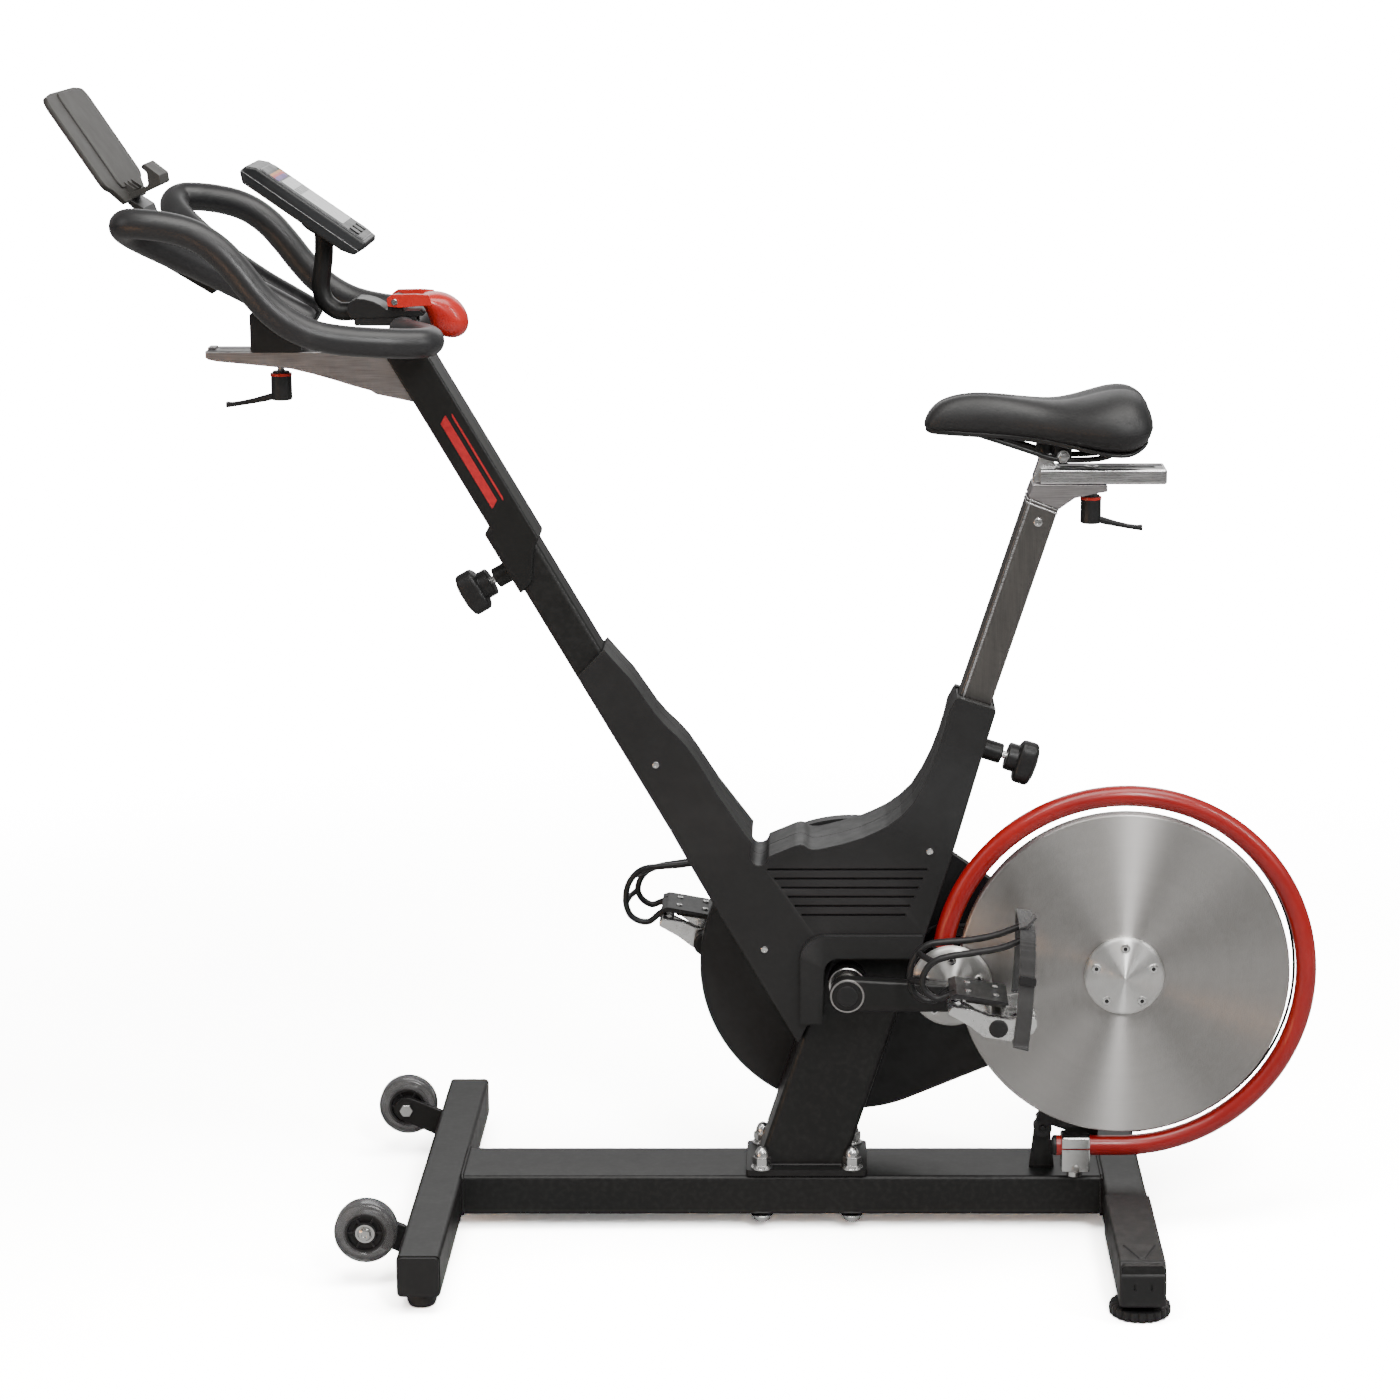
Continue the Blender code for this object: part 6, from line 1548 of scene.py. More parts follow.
def build_lever():
    """Red fork round the housing's lug, flowing into a pear-shaped hand bulb."""
    x, z = -0.3450, 1.1040
    parts = []
    for side in (-1, 1):
        outline = rounded([(x - 0.0080, z - 0.0050), (x - 0.0085, z + 0.0040), (x - 0.0020, z + 0.0085),
                           (-0.3200, 1.1130), (-0.3060, 1.1120), (-0.3020, 1.0990), (-0.3100, 1.1000),
                           (x + 0.0060, z - 0.0065)], 0.0020, 3)
        lo, hi = sorted((side * 0.0219, side * 0.0285))
        parts.append(bevel_bm(prism_bm(outline, lo, hi), 0.0026, 4))
    obj = piece("lever_fork", merge(*parts), RED_GRIP, "resistance_lever", ["resistance_lever"])
    subtract(obj, rod_bm((x, -0.1, z), (x, 0.1, z), 0.0037, 0.0, 28))
    # the pear: a loft of ellipses from the fork's bridge down to the rounded end
    sections = [(-0.3180, 1.1068, 0.0020, 0.0270), (-0.3165, 1.1064, 0.0052, 0.0284),
                (-0.3120, 1.1052, 0.0082, 0.0285),
                (-0.3060, 1.1025, 0.0125, 0.0280), (-0.3000, 1.0985, 0.0165, 0.0268),
                (-0.2945, 1.0935, 0.0195, 0.0255),
                (-0.2900, 1.0880, 0.0212, 0.0245), (-0.2868, 1.0820, 0.0218, 0.0236),
                (-0.2846, 1.0760, 0.0212, 0.0226),
                (-0.2834, 1.0705, 0.0190, 0.0205), (-0.2828, 1.0655, 0.0150, 0.0165),
                (-0.2826, 1.0622, 0.0096, 0.0108),
                (-0.2826, 1.0606, 0.0030, 0.0036)]
    bm = bmesh.new()
    around = 40
    rings = []
    for i, (cx, cz, flat, wide) in enumerate(sections):
        a = sections[max(i - 1, 0)]
        b = sections[min(i + 1, len(sections) - 1)]
        tangent = Vector((b[0] - a[0], 0, b[1] - a[1])).normalized()
        square = tangent.cross(Vector((0, 1, 0)))
        rings.append([bm.verts.new(Vector((cx, 0, cz)) + square * flat * math.cos(2 * math.pi * k / around)
                                   + Vector((0, wide * math.sin(2 * math.pi * k / around), 0)))
                      for k in range(around)])
    for a, b in zip(rings, rings[1:]):
        for k in range(around):
            m = (k + 1) % around
            bm.faces.new((a[k], a[m], b[m], b[k]))
    bm.faces.new(rings[0])
    bm.faces.new(rings[-1])
    bmesh.ops.recalc_face_normals(bm, faces=bm.faces)
    bulb = piece("lever_bulb", bm, RED_GRIP, "resistance_lever", sharp=70)
    smooth = bulb.modifiers.new("smooth", "SUBSURF")
    smooth.levels = smooth.render_levels = 1


def build_tray():
    """Tilted tray: rounded plate with a raised pad, a hooked ledge and a tongue under the stems."""
    low, high = Vector((-0.6394, 1.2150)), Vector((-0.7177, 1.3352))
    up = (high - low).normalized()
    out = Vector((up.y, -up.x))
    length = (high - low).length
    half = 0.104

    def at(along, forward):
        p = low + up * along + out * forward
        return (p.x, p.y)

    def at3(along, y, forward):
        x, z = at(along, forward)
        return Vector((x, y, z))

    def plate(name, outline, f0, f1, mat, bevel, replaces=()):
        bm = bmesh.new()
        face = bm.faces.new([bm.verts.new(at3(a, y, f0)) for y, a in outline])
        grown = bmesh.ops.extrude_face_region(bm, geom=[face])
        moved = [v for v in grown["geom"] if isinstance(v, bmesh.types.BMVert)]
        shift = at3(0, 0, f1) - at3(0, 0, f0)
        bmesh.ops.translate(bm, verts=moved, vec=shift)
        bmesh.ops.recalc_face_normals(bm, faces=bm.faces)
        bevel_bm(bm, bevel, 3, None, 50)
        return piece(name, bm, mat, "handlebar", replaces)

    waist = rounded([(-0.060, 0.0), (0.060, 0.0), (0.084, 0.018), (half, 0.024), (half, length - 0.004),
                     (0.060, length), (-0.060, length), (-half, length - 0.004), (-half, 0.024),
                     (-0.084, 0.018)],
                    [0.004, 0.004, 0.012, 0.014, 0.016, 0.02, 0.02, 0.016, 0.014, 0.012], 5)
    plate("tray_plate", waist, 0.0, 0.0060, TRAY, 0.0020, ["tablet_tray"])
    pad = rounded([(-0.040, 0.016), (0.040, 0.016), (0.046, 0.024), (0.046, length - 0.003),
                   (-0.046, length - 0.003),
                   (-0.046, 0.024)], 0.010, 6)
    plate("tray_pad", pad, 0.0040, 0.0078, TRAY, 0.0012)
    hook = rounded([at(0.002, 0.003), at(0.008, 0.006), at(0.004, 0.030), at(0.016, 0.0365),
                    at(0.025, 0.0345),
                    at(0.0265, 0.0395), at(0.006, 0.0465), at(-0.004, 0.042)], 0.0022, 3)
    bm = bevel_bm(prism_bm(hook, -0.028, 0.028), 0.0014, 2)
    piece("tray_hook", bm, TRAY, "handlebar")
    ribs = []
    for y in (-0.020, 0.0, 0.020):
        rib = [at(0.004, 0.004), at(0.028, 0.0052), at(0.0085, 0.0140)]
        ribs.append(prism_bm(rib, y - 0.0012, y + 0.0012))
    piece("tray_ribs", merge(*ribs), TRAY, "handlebar")
    tongue = rounded([at(0.006, 0.003), at(-0.014, 0.012), (-0.6020, 1.1545), (-0.5450, 1.1190),
                      (-0.5480, 1.1130),
                      (-0.6060, 1.1480), at(-0.018, 0.004), at(0.0, 0.0005)], 0.0016, 2)
    bm = bevel_bm(prism_bm(tongue, -0.034, 0.034), 0.0018, 3)
    piece("tray_tongue", bm, PAINT, "handlebar")


def clamp_handle(tag, x, z_top, arm, body):
    """Adjustable clamp handle: round hub with a red ring, a drooping tapered arm and a screw."""
    depth = 0.033
    z_low = z_top - depth
    direction = 1 if arm > 0 else -1
    hub = [(0.0044, depth), (0.0095, depth), (0.0098, depth - 0.0020), (0.0118, depth - 0.0050),
           (0.0120, 0.0015),
           (0.0108, 0.0), (0.0050, 0.0), (0.0050, 0.004), (0.0044, 0.004)]
    piece(tag + "_hub", lathe_bm(hub, 48, (x, 0, z_low), (0, 0, 1)), HARD, body,
          [tag + "_clamp_lever"])
    ring = [(0.0112, 0.0036), (0.0123, 0.0032), (0.0123, 0.0004), (0.0112, 0.0), (0.0060, 0.0),
            (0.0060, 0.0036)]
    piece(tag + "_clamp_ring", lathe_bm(ring, 48, (x, 0, z_top - 0.0056), (0, 0, 1)), RED_GRIP, body)
    sections = [(0.004, 0.0095, 0.0016, 0.0068), (0.016, 0.0062, -0.0016, 0.0058),
                (0.030, 0.0018, -0.0042, 0.0052),
                (0.044, -0.0014, -0.0066, 0.0050), (0.054, -0.0028, -0.0082, 0.0054),
                (0.058, -0.0022, -0.0088, 0.0060),
                (0.0595, -0.0024, -0.0086, 0.0056)]
    bm = bmesh.new()
    rings = []
    around = 24
    scale = abs(arm) / 0.0600
    for reach, top, bottom, wide in sections:
        ring_verts = []
        for k in range(around):
            a = 2 * math.pi * k / around
            c, s = math.cos(a), math.sin(a)
            y = wide * math.copysign(abs(c) ** 0.6, c)
            h = (top + bottom) / 2 + (top - bottom) / 2 * math.copysign(abs(s) ** 0.6, s)
            ring_verts.append(bm.verts.new((x + direction * reach * scale, y, z_low + h)))
        rings.append(ring_verts)
    for a, b in zip(rings, rings[1:]):
        for k in range(around):
            m = (k + 1) % around
            bm.faces.new((a[k], a[m], b[m], b[k]))
    bm.faces.new(rings[0])
    bm.faces.new(rings[-1])
    bmesh.ops.recalc_face_normals(bm, faces=bm.faces)
    piece(tag + "_clamp_arm", bm, HARD, body, sharp=50)
    screw = socket_head((x, 0, z_low + 0.0032), (0, 0, -1), 0.0048, 0.0026, 24)
    piece(tag + "_clamp_screw", screw, CHROME, body)


def pull_knob(tag, line, t, o_pin, o_hub, o_head, o_face, body):
    """Three-lobed knob: round hub, undercut, bellied lobes and a domed face, on a plated pin."""
    direction = 1 if o_face > o_pin else -1
    axis = line.across * direction
    base = line.at3(t, 0, o_hub)
    lobes, mean, around = 3, 0.0245, 96
    head = abs(o_head - o_hub)
    face = abs(o_face - o_hub)
    profile = [(0.0050, 0.0, 0), (0.0152, 0.0, 0), (0.0163, 0.0010, 0), (0.0165, 0.0024, 0),
               (0.0165, head - 0.0012, 0),
               (0.0170, head - 0.0002, 0.2), (0.0215, head + 0.0004, 0.8), (0.0237, head + 0.0022, 1),
               (mean, head + 0.0050, 1), (mean, face - 0.0085, 1), (0.0240, face - 0.0062, 1),
               (0.0222, face - 0.0040, 0.9), (0.0160, face - 0.0014, 0.5), (0.0085, face - 0.0002, 0.15),
               (0.0030, face, 0)]
    side, up = Vector((0, 1, 0)), axis.cross(Vector((0, 1, 0)))
    bm = bmesh.new()
    rings = []
    for r, h, lobed in profile:
        ring = []
        for k in range(around):
            a = 2 * math.pi * k / around
            wide = r + lobed * 0.0032 * math.cos(lobes * a)
            ring.append(bm.verts.new(base + axis * h + side * wide * math.cos(a) + up * wide * math.sin(a)))
        rings.append(ring)
    for a, b in zip(rings, rings[1:]):
        for k in range(around):
            m = (k + 1) % around
            bm.faces.new((a[k], a[m], b[m], b[k]))
    bm.faces.new(rings[0])
    bm.faces.new(rings[-1])
    bmesh.ops.recalc_face_normals(bm, faces=bm.faces)
    piece(tag + "_knob_grip", bm, HARD, body, [tag + "_knob"])
    pin = lathe_bm([(0, abs(o_hub - o_pin) + 0.002), (0.0046, abs(o_hub - o_pin) + 0.002), (0.0046, 0.004),
                    (0.0030, 0.0), (0, 0)], 24, line.at3(t, 0, o_pin), axis)
    piece(tag + "_knob_pin", pin, CHROME, body)


# ---------------------------------------------------------------- seat side
def build_seat():
    low, high, half = 0.0813, 0.1193, 0.0195
    post = box_tube_bm(SEAT, 0.560, lambda o: (0.8800 - (o - low) / (high - low) * 0.0140 - o * SEAT.square[1])
                       / SEAT.up[1], (low, high), half, 0.0030, 4)
    piece("seat_post_bar", post, POST, "seat_post", ["seat_post"])
    strips = []
    for y in (-half, half):
        for o in (low + 0.0030,):
            side = -1 if y < 0 else 1
            lo, hi = sorted((y - side * 0.0003, y + side * 0.00015))
            t_top = (0.8790 - o * SEAT.square[1]) / SEAT.up[1]
            outline = [SEAT.at(0.560, o), SEAT.at(t_top, o), SEAT.at(t_top, o + 0.0024),
                       SEAT.at(0.560, o + 0.0024)]
            strips.append(prism_bm(outline, lo, hi))
    piece("seat_post_edge_lines", merge(*strips), BRIGHT_RAIL, "seat_post")
    head_top = 0.8950 - 0.0003
    head = rounded([(0.3770, head_top), (0.4620, head_top), (0.4620, 0.8870), (0.4500, 0.8850),
                    (0.4250, 0.8795),
                    SEAT.level(high, 0.8666), SEAT.level(low, 0.8806)], 0.0012, 2)
    bm = bevel_bm(prism_bm(head, -0.024, 0.024), 0.0018, 3)
    piece("seat_head_casting", bm, RAIL, "seat_post", ["seat_head"])
    for k, drop in enumerate((0.0012, 0.0052)):
        a, b = SEAT.level(low - 0.0006, 0.8806 - drop), SEAT.level(high + 0.0006, 0.8666 - drop)
        u = (Vector(b) - Vector(a)).normalized()
        n = Vector((u.y, -u.x)) * 0.0017
        band = [a, b, tuple(Vector(b) + n), tuple(Vector(a) + n)]
        bm = prism_bm(band, -half - 0.0010, half + 0.0010)
        piece("seat_head_band_%d" % (k + 1), bevel_bm(bm, 0.0005, 2), BRIGHT_RAIL, "seat_post")
    for tag, side in SIDES:
        cap = socket_head((0.3834, side * (half - 0.0004), 0.8513), (0, side, 0), 0.0054, 0.0032, 28)
        piece("seat_post_bolt_" + tag, cap, CHROME, "seat_post")
    stud = rod_bm((0.4450, 0, 0.8860), (0.4450, 0, 0.9110), 0.0040, 0.0004, 24)
    piece("seat_clamp_stud", stud, SHADE_STEEL, "seat_post")
    # the rail: a bright extrusion with a dark sunk top and a slot
    bm = box_bm((0.3860, -0.0235, 0.8950), (0.5300, 0.0235, 0.9130))
    bevel_bm(bm, 0.0030, 4, lambda e: abs(e.verts[0].co.x - e.verts[1].co.x) > 0.05 or e.verts[0].co.x > 0.52)
    obj = piece("seat_rail_bar", bm, BRIGHT_RAIL, "seat_rail", ["seat_rail"])
    slot = rounded([(0.4090, -0.0050), (0.5180, -0.0050), (0.5180, 0.0050), (0.4090, 0.0050)], 0.0049, 6)
    subtract(obj, plate_bm((0, 0, 0.85), (1, 0, 0), (0, 1, 0), slot, 0.12),
             box_bm((0.4060, -0.0185, 0.9118), (0.5260, 0.0185, 0.9200)))
    deck = []
    for side in (-1, 1):
        lo, hi = sorted((side * 0.0054, side * 0.0183))
        deck.append(box_bm((0.4062, lo, 0.9108), (0.5258, hi, 0.9122)))
    piece("seat_rail_deck", merge(*deck), HARD, "seat_rail")
    washer = lathe_bm([(0.0078, 0.0012), (0.0084, 0.0006), (0.0084, 0), (0.0044, 0), (0.0044, 0.0012)], 32,
                      (0.4450, 0, 0.9122), (0, 0, 1))
    piece("seat_clamp_washer", washer, CHROME, "seat_post")
    casting = rounded([(0.3775, 0.8950), (0.3780, 0.9020), (0.3835, 0.9180), (0.3850, 0.9290),
                       (0.3985, 0.9290),
                       (0.4020, 0.9180), (0.4060, 0.9080), (0.4078, 0.8990)], 0.0015, 2)
    bm = bevel_bm(prism_bm(casting, -0.0113, 0.0113), 0.0022, 3)
    piece("seat_rail_horn", bm, CAST, "seat_rail")
    neck = rod_bm((0.3930, 0, 0.9293), (0.3930, 0, 0.9480), 0.0122, 0.0008, 40)
    arm = prism_bm(rounded([(0.3860, 0.9297), (0.4000, 0.9297), (0.4040, 0.9195), (0.4180, 0.9195),
                            (0.4180, 0.9360),
                            (0.3960, 0.9400)], 0.003, 3), -0.0108, 0.0108)
    bevel_bm(arm, 0.0016, 3)
    piece("saddle_clamp_body", merge(neck, arm), HARD, "seat_rail", ["saddle_clamp"])
    for tag, side in SIDES:
        ear = prism_bm([(0.4230, 0.9440)] + arc((0.4110, 0.9275), 0.0098, 15, -195, 24) + [(0.4000, 0.9440)],
                       *sorted((side * 0.0122, side * 0.0200)))
        bevel_bm(ear, 0.0012, 2)
        piece("saddle_ear_" + tag, ear, HARD, "saddle")
        nut = hexagon_nut((0.4110, side * 0.0240, 0.9275), (0, side, 0), 0.0064, 0.0034)
        washer = lathe_bm([(0.0072, 0.0020), (0.0076, 0.0015), (0.0076, 0), (0.0020, 0), (0.0020, 0.0020)],
                          32,
                          (0.4110, side * 0.0222, 0.9275), (0, side, 0))
        end = lathe_bm([(0, 0.0016), (0.0036, 0.0010), (0.0040, 0), (0, 0)], 24,
                       (0.4110, side * 0.0270, 0.9275),
                       (0, side, 0))
        piece("saddle_clamp_nut_" + tag, merge(nut, washer, end), CHROME, "saddle")
        y = side * 0.0215
        wire = smooth_path([(0.3000, side * 0.0120, 0.9560), (0.3300, side * 0.0170, 0.9470),
                            (0.3700, y, 0.9345),
                            (0.3950, y, 0.9262), (0.4120, y, 0.9235), (0.4400, y, 0.9238),
                            (0.4580, y, 0.9262),
                            (0.4680, side * 0.0270, 0.9320), (0.4780, side * 0.0300, 0.9420)], 6)
        piece("saddle_wire_" + tag, sweep_bm(wire, 0.0033, 14, up=(0, 1, 0)), HARD, "saddle")
    bolt = rod_bm((0.4110, -0.0225, 0.9275), (0.4110, 0.0225, 0.9275), 0.0040, 0.0, 20)
    piece("saddle_tilt_bolt", bolt, SHADE_STEEL, "saddle")


SADDLE_SECTIONS = [
    # x, half width, underside, side crown, centre crown, groove depth
    (0.2530, 0.0080, 0.9600, 0.9630, 0.9635, 0.0), (0.2560, 0.0165, 0.9565, 0.9705, 0.9715, 0.0),
    (0.2620, 0.0215, 0.9545, 0.9790, 0.9808, 0.0), (0.2720, 0.0248, 0.9535, 0.9868, 0.9890, 0.0004),
    (0.2880, 0.0268, 0.9525, 0.9922, 0.9948, 0.0009), (0.3100, 0.0284, 0.9512, 0.9948, 0.9976, 0.0014),
    (0.3350, 0.0308, 0.9498, 0.9944, 0.9968, 0.0020), (0.3600, 0.0348, 0.9480, 0.9916, 0.9942, 0.0026),
    (0.3850, 0.0430, 0.9455, 0.9888, 0.9918, 0.0034), (0.4050, 0.0545, 0.9430, 0.9882, 0.9915, 0.0042),
    (0.4250, 0.0680, 0.9400, 0.9905, 0.9945, 0.0052), (0.4450, 0.0790, 0.9365, 0.9950, 0.9998, 0.0064),
    (0.4620, 0.0848, 0.9340, 0.9985, 1.0042, 0.0076), (0.4780, 0.0862, 0.9335, 0.9985, 1.0056, 0.0084),
    (0.4900, 0.0842, 0.9365, 0.9955, 1.0030, 0.0080), (0.5000, 0.0780, 0.9430, 0.9895, 0.9965, 0.0064),
    (0.5065, 0.0680, 0.9510, 0.9820, 0.9880, 0.0040), (0.5105, 0.0520, 0.9600, 0.9740, 0.9780, 0.0016),
]


def saddle_point(section, k, around):
    """A point round one section: flat underside, bellied sides, two crowns and a groove between them."""
    x, half, low, crown, top, groove = section
    a = 2 * math.pi * k / around
    c, s = math.cos(a), math.sin(a)
    power = 0.70 if s > 0 else 0.52
    y = half * math.copysign(abs(c) ** power, c)
    middle = low + (top - low) * 0.42
    if s >= 0:
        z = middle + (top - middle) * s ** 0.86
        reach = abs(y) / max(half, 1e-6)
        z -= (top - crown) * max(0.0, 1 - reach / 0.32) ** 2 if half < 0.034 else 0.0
        z -= groove * math.exp(-(y / 0.0085) ** 2)
        z -= (top - crown) * 0.7 * reach ** 2
    else:
        z = middle - (middle - low) * abs(s) ** 0.72
        y *= 1.0 - 0.10 * abs(s)
    return Vector((x, y, z))


def loft(rings_points, cap=True):
    bm = bmesh.new()
    rings = [[bm.verts.new(p) for p in ring] for ring in rings_points]
    count = len(rings[0])
    for a, b in zip(rings, rings[1:]):
        for k in range(count):
            m = (k + 1) % count
            bm.faces.new((a[k], a[m], b[m], b[k]))
    if cap:
        bm.faces.new(rings[0])
        bm.faces.new(rings[-1])
    bmesh.ops.recalc_face_normals(bm, faces=bm.faces)
    return bm


def build_saddle():
    """Padded saddle: a skin swollen over its foam, and a moulded base pan."""
    fine = []
    for i in range(len(SADDLE_SECTIONS) - 1):
        p = [Vector(SADDLE_SECTIONS[min(max(j, 0), len(SADDLE_SECTIONS) - 1)]) for j in (i - 1, i, i + 1,
                                                                                         i + 2)]
        for k in range(3):
            t = k / 3
            fine.append(0.5 * (2 * p[1] + (p[2] - p[0]) * t + (2 * p[0] - 5 * p[1] + 4 * p[2] - p[3]) * t * t
                               + (3 * p[1] - p[0] - 3 * p[2] + p[3]) * t ** 3))
    fine.append(Vector(SADDLE_SECTIONS[-1]))
    around = 72
    shape = loft([[saddle_point(s, k, around) for k in range(around)] for s in fine])
    pad = piece("saddle_pad", shape, SKIN, "saddle", ["saddle"], sharp=80)
    swell(pad)
    smooth = pad.modifiers.new("smooth", "SUBSURF")
    smooth.levels = smooth.render_levels = 1
    pan = []
    for s in fine[2:-4]:
        x, half, low = s[0], s[1] * 0.90, s[2]
        ring = []
        for k in range(32):
            a = 2 * math.pi * k / 32
            c, sn = math.cos(a), math.sin(a)
            ring.append(Vector((x, half * 0.86 * math.copysign(abs(c) ** 0.5, c),
                                low + 0.0015 + 0.0045 * math.copysign(abs(sn) ** 0.6, sn))))
        pan.append(ring)
    piece("saddle_pan", loft(pan), HARD, "saddle", sharp=60)


def swell(pad):
    """A short cloth run with pressure inside the skin; the underside is pinned to its pan."""
    pins = pad.vertex_groups.new(name="pan")
    edge = [v.index for v in pad.data.vertices if v.normal.z < -0.35 or v.co.x < 0.2545]
    pins.add(edge, 1.0, "REPLACE")
    before = [v.co.copy() for v in pad.data.vertices]
    normals = pad.modifiers.get("normals")
    pad.modifiers.remove(normals)
    cloth = pad.modifiers.new("skin", "CLOTH")
    settings = cloth.settings
    settings.quality = 4
    settings.mass = 0.25
    settings.tension_stiffness = settings.compression_stiffness = settings.shear_stiffness = 40
    settings.bending_stiffness = 6
    settings.use_pressure = True
    settings.uniform_pressure_force = 4
    settings.vertex_group_mass = "pan"
    settings.effector_weights.gravity = 0.0
    cloth.collision_settings.use_collision = False
    cloth.point_cache.frame_start, cloth.point_cache.frame_end = 1, 20
    for f in range(1, 21):
        SCENE.frame_set(f)
    seen = pad.evaluated_get(bpy.context.evaluated_depsgraph_get())
    after = [v.co.copy() for v in seen.data.vertices]
    pad.modifiers.remove(cloth)
    cap = 0.0022
    for v, a, b in zip(pad.data.vertices, before, after):
        move = b - a
        if move.length > cap:
            move = move.normalized() * cap
        v.co = a + move
    SCENE.frame_set(1)


# ---------------------------------------------------------------- everything
build_base()
build_frame()
for tag, side in SIDES:
    cover_half(tag, side)
    crank_fairing(tag, side)
build_guard()
build_guard_tube()
build_flywheel()
build_idler()
build_cranks()
build_sleeve()
build_bracket()
build_slider()
build_handlebar()
build_console()
build_shifter()
build_lever()
build_tray()
clamp_handle("handlebar", -0.4795, 1.0225, -0.064, "handlebar_clamp_lever")
clamp_handle("seat", 0.4450, 0.8800, 0.060, "seat_clamp_lever")
pull_knob("handlebar", MAST, KNOB_T, 0.2060, 0.1775, 0.1650, 0.1390, "handlebar_knob")
pull_knob("seat", SEAT, SEAT_KNOB_T, 0.1222, 0.1578, 0.1700, 0.1945, "seat_knob")
build_seat()
build_saddle()


# ---------------------------------------------------------------- studio
def studio_floor():
    bm = bmesh.new()
    corners = [(-30, -30), (30, -30), (30, 30), (-30, 30)]
    bm.faces.new([bm.verts.new((x, y, -0.0002)) for x, y in corners])
    mesh = bpy.data.meshes.new("floor")
    bm.to_mesh(mesh)
    bm.free()
    obj = bpy.data.objects.new("floor", mesh)
    SCENE.collection.objects.link(obj)
    mat = bpy.data.materials.new("floor_paper")
    mat.use_nodes = True
    tree = mat.node_tree
    tree.nodes.clear()
    out = tree.nodes.new("ShaderNodeOutputMaterial")
    shader = tree.nodes.new("ShaderNodeBsdfDiffuse")
    path = tree.nodes.new("ShaderNodeLightPath")
    tint = tree.nodes.new("ShaderNodeMix")
    tint.data_type = "RGBA"
    tint.inputs[6].default_value = (0.42, 0.42, 0.42, 1)
    tint.inputs[7].default_value = (FLOOR_GAIN, FLOOR_GAIN, FLOOR_GAIN, 1)
    tree.links.new(path.outputs["Is Camera Ray"], tint.inputs["Factor"])
    tree.links.new(tint.outputs[2], shader.inputs["Color"])
    # a pool of real light round the bike, fading to a plain white cove
    place = tree.nodes.new("ShaderNodeTexCoord")
    reach = tree.nodes.new("ShaderNodeVectorMath")
    reach.operation = "LENGTH"
    tree.links.new(place.outputs["Object"], reach.inputs[0])
    fade = tree.nodes.new("ShaderNodeMapRange")
    fade.interpolation_type = "SMOOTHSTEP"
    fade.inputs["From Min"].default_value = 1.0
    fade.inputs["From Max"].default_value = 2.6
    tree.links.new(reach.outputs["Value"], fade.inputs["Value"])
    seen = tree.nodes.new("ShaderNodeMath")
    seen.operation = "MULTIPLY"
    tree.links.new(fade.outputs["Result"], seen.inputs[0])
    tree.links.new(path.outputs["Is Camera Ray"], seen.inputs[1])
    cove = tree.nodes.new("ShaderNodeEmission")
    cove.inputs["Strength"].default_value = BACKDROP_GLOW
    mix = tree.nodes.new("ShaderNodeMixShader")
    tree.links.new(seen.outputs[0], mix.inputs["Fac"])
    tree.links.new(shader.outputs[0], mix.inputs[1])
    tree.links.new(cove.outputs[0], mix.inputs[2])
    tree.links.new(mix.outputs[0], out.inputs["Surface"])
    obj.data.materials.append(mat)


FLOOR_GAIN = 12.0


# how bright the room is: behind the object, on it, and mirrored in its metal
BACKDROP_GLOW = 17.0
ROOM_GLOW = 0.17
MIRRORED_GLOW = 0.28


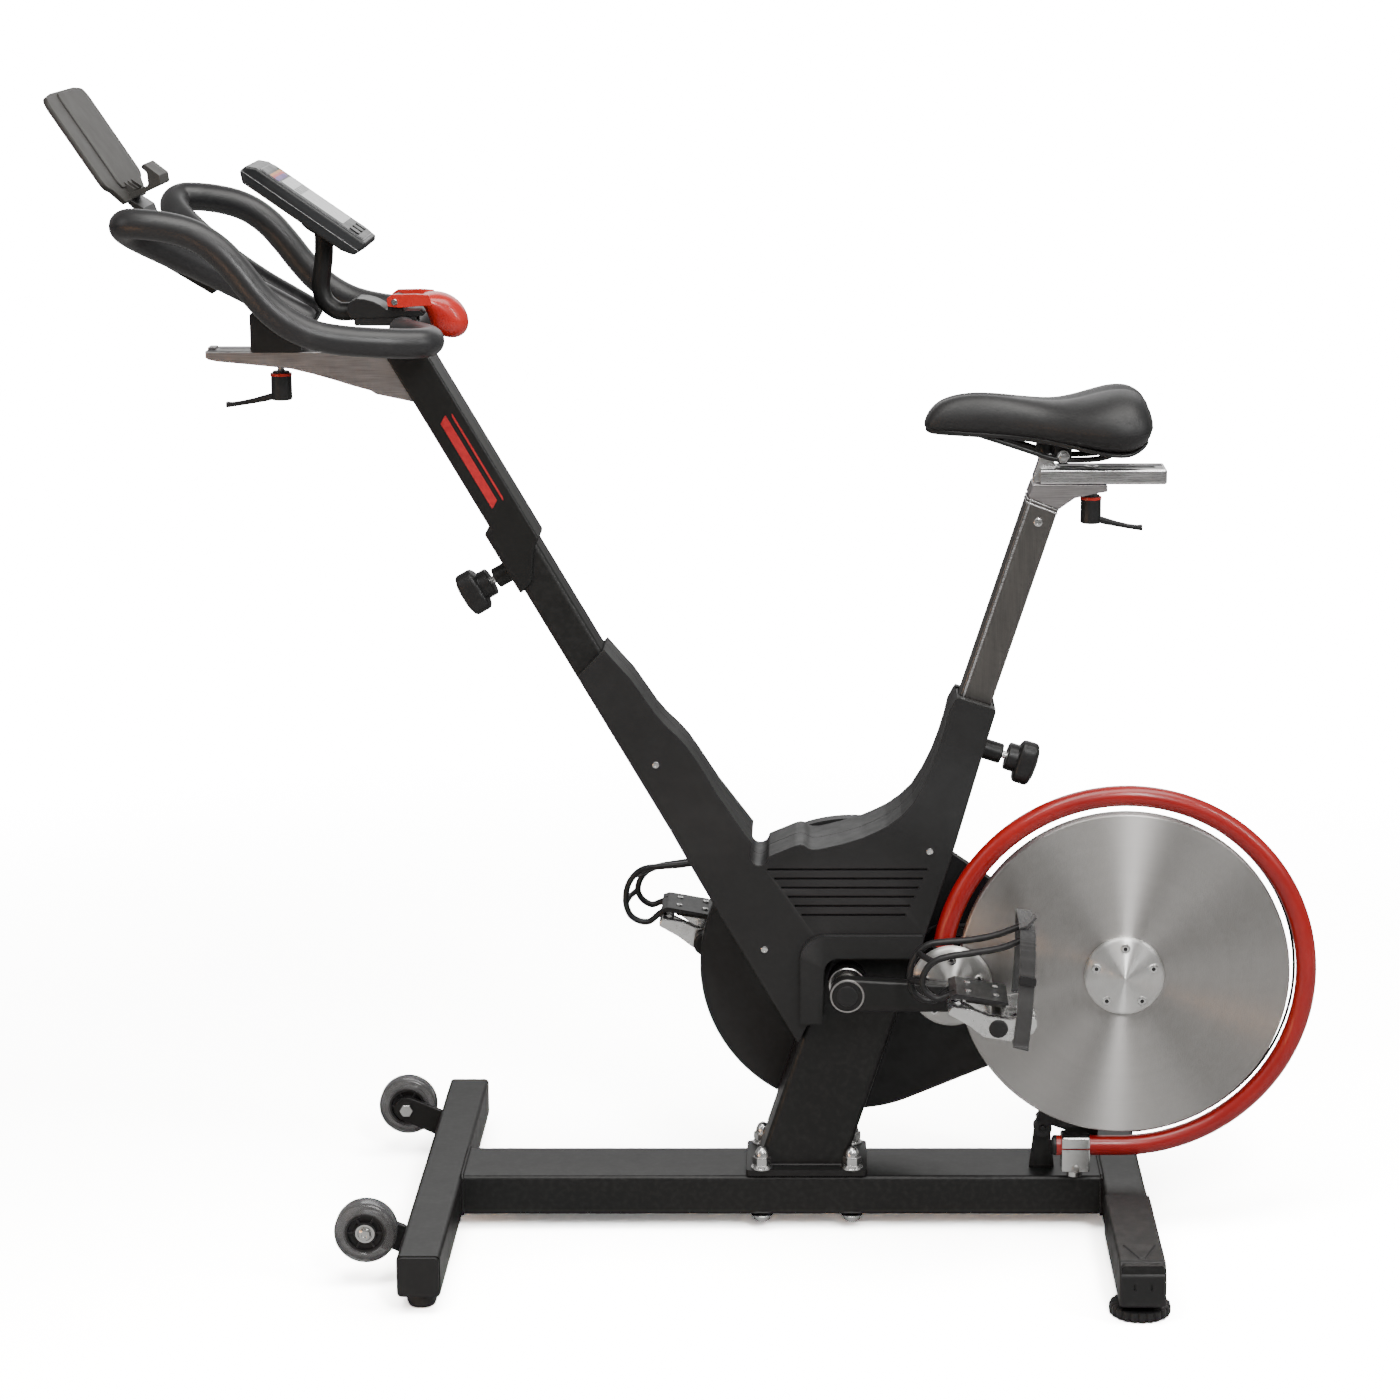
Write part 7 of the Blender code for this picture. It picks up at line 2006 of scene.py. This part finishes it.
def studio_world():
    world = bpy.data.worlds.new("studio")
    SCENE.world = world
    world.use_nodes = True
    tree = world.node_tree
    tree.nodes.clear()
    out = tree.nodes.new("ShaderNodeOutputWorld")
    soft = tree.nodes.new("ShaderNodeBackground")
    soft.inputs["Color"].default_value = (1.0, 0.99, 0.975, 1)
    white = tree.nodes.new("ShaderNodeBackground")
    white.inputs["Color"].default_value = (1, 1, 1, 1)
    white.inputs["Strength"].default_value = BACKDROP_GLOW
    path = tree.nodes.new("ShaderNodeLightPath")
    # polished metal sees a brighter room than the paint is lit by
    glow = tree.nodes.new("ShaderNodeMapRange")
    glow.inputs["To Min"].default_value = ROOM_GLOW
    glow.inputs["To Max"].default_value = MIRRORED_GLOW
    tree.links.new(path.outputs["Is Glossy Ray"], glow.inputs["Value"])
    tree.links.new(glow.outputs["Result"], soft.inputs["Strength"])
    mix = tree.nodes.new("ShaderNodeMixShader")
    tree.links.new(path.outputs["Is Camera Ray"], mix.inputs["Fac"])
    tree.links.new(soft.outputs[0], mix.inputs[1])
    tree.links.new(white.outputs[0], mix.inputs[2])
    tree.links.new(mix.outputs[0], out.inputs["Surface"])


MIDDLE = (0.0, 0.0, 0.7)
DISC = (FLY[0], 0.0, FLY[1])
WHITE = (1, 1, 1)
# name, place, target, width and height, watts, colour; the strips draw the wedges on the turned disc
LIGHTS = (
    ("overhead_box", (0.5, -0.7, 3.5), (0.1, 0.0, 0.5), (3.2, 1.7), 105, (1.0, 0.985, 0.955)),
    ("left_box", (-2.9, -1.5, 1.9), MIDDLE, (1.0, 2.0), 11, WHITE),
    ("right_box", (3.1, -1.2, 2.1), (0.2, 0.0, 0.6), (1.0, 2.0), 11, WHITE),
    ("front_box", (-0.4, -4.8, 2.9), (0.1, 0.0, 0.6), (2.6, 1.2), 6, WHITE),
    ("back_box", (0.2, 3.0, 2.4), (0.1, 0.0, 0.7), (3.0, 1.8), 34, WHITE),
    ("strip_right", (2.5, -1.45, 2.15), DISC, (0.16, 1.5), 18, WHITE),
    ("strip_upper_left", (-0.75, -1.5, 2.6), DISC, (0.14, 1.0), 9, WHITE),
    ("strip_top", (0.95, -2.6, 2.4), DISC, (0.36, 1.2), 46, WHITE),
    ("strip_warm", (-1.9, -1.9, 0.28), DISC, (1.4, 0.16), 8, (1.0, 0.55, 0.28)),
)


def softbox(name, place, target, size, power, colour):
    light = bpy.data.lights.new(name, "AREA")
    light.shape = "RECTANGLE"
    light.size, light.size_y = size
    light.energy = power
    light.color = colour
    obj = bpy.data.objects.new(name, light)
    obj.location = place
    obj.rotation_euler = (Vector(target) - Vector(place)).to_track_quat("-Z", "Y").to_euler()
    SCENE.collection.objects.link(obj)


studio_floor()
studio_world()
for name, place, target, size, power, colour in LIGHTS:
    softbox(name, place, target, size, power, colour)

camera_data = bpy.data.cameras.new("camera")
camera_data.lens = 90
camera_data.sensor_width = 36
camera_data.shift_x = -0.0857
camera = bpy.data.objects.new("camera", camera_data)
camera.location = (0.134, -3.965, 1.564)
camera.rotation_euler = (math.radians(76.85), 0, 0)
SCENE.collection.objects.link(camera)
SCENE.camera = camera
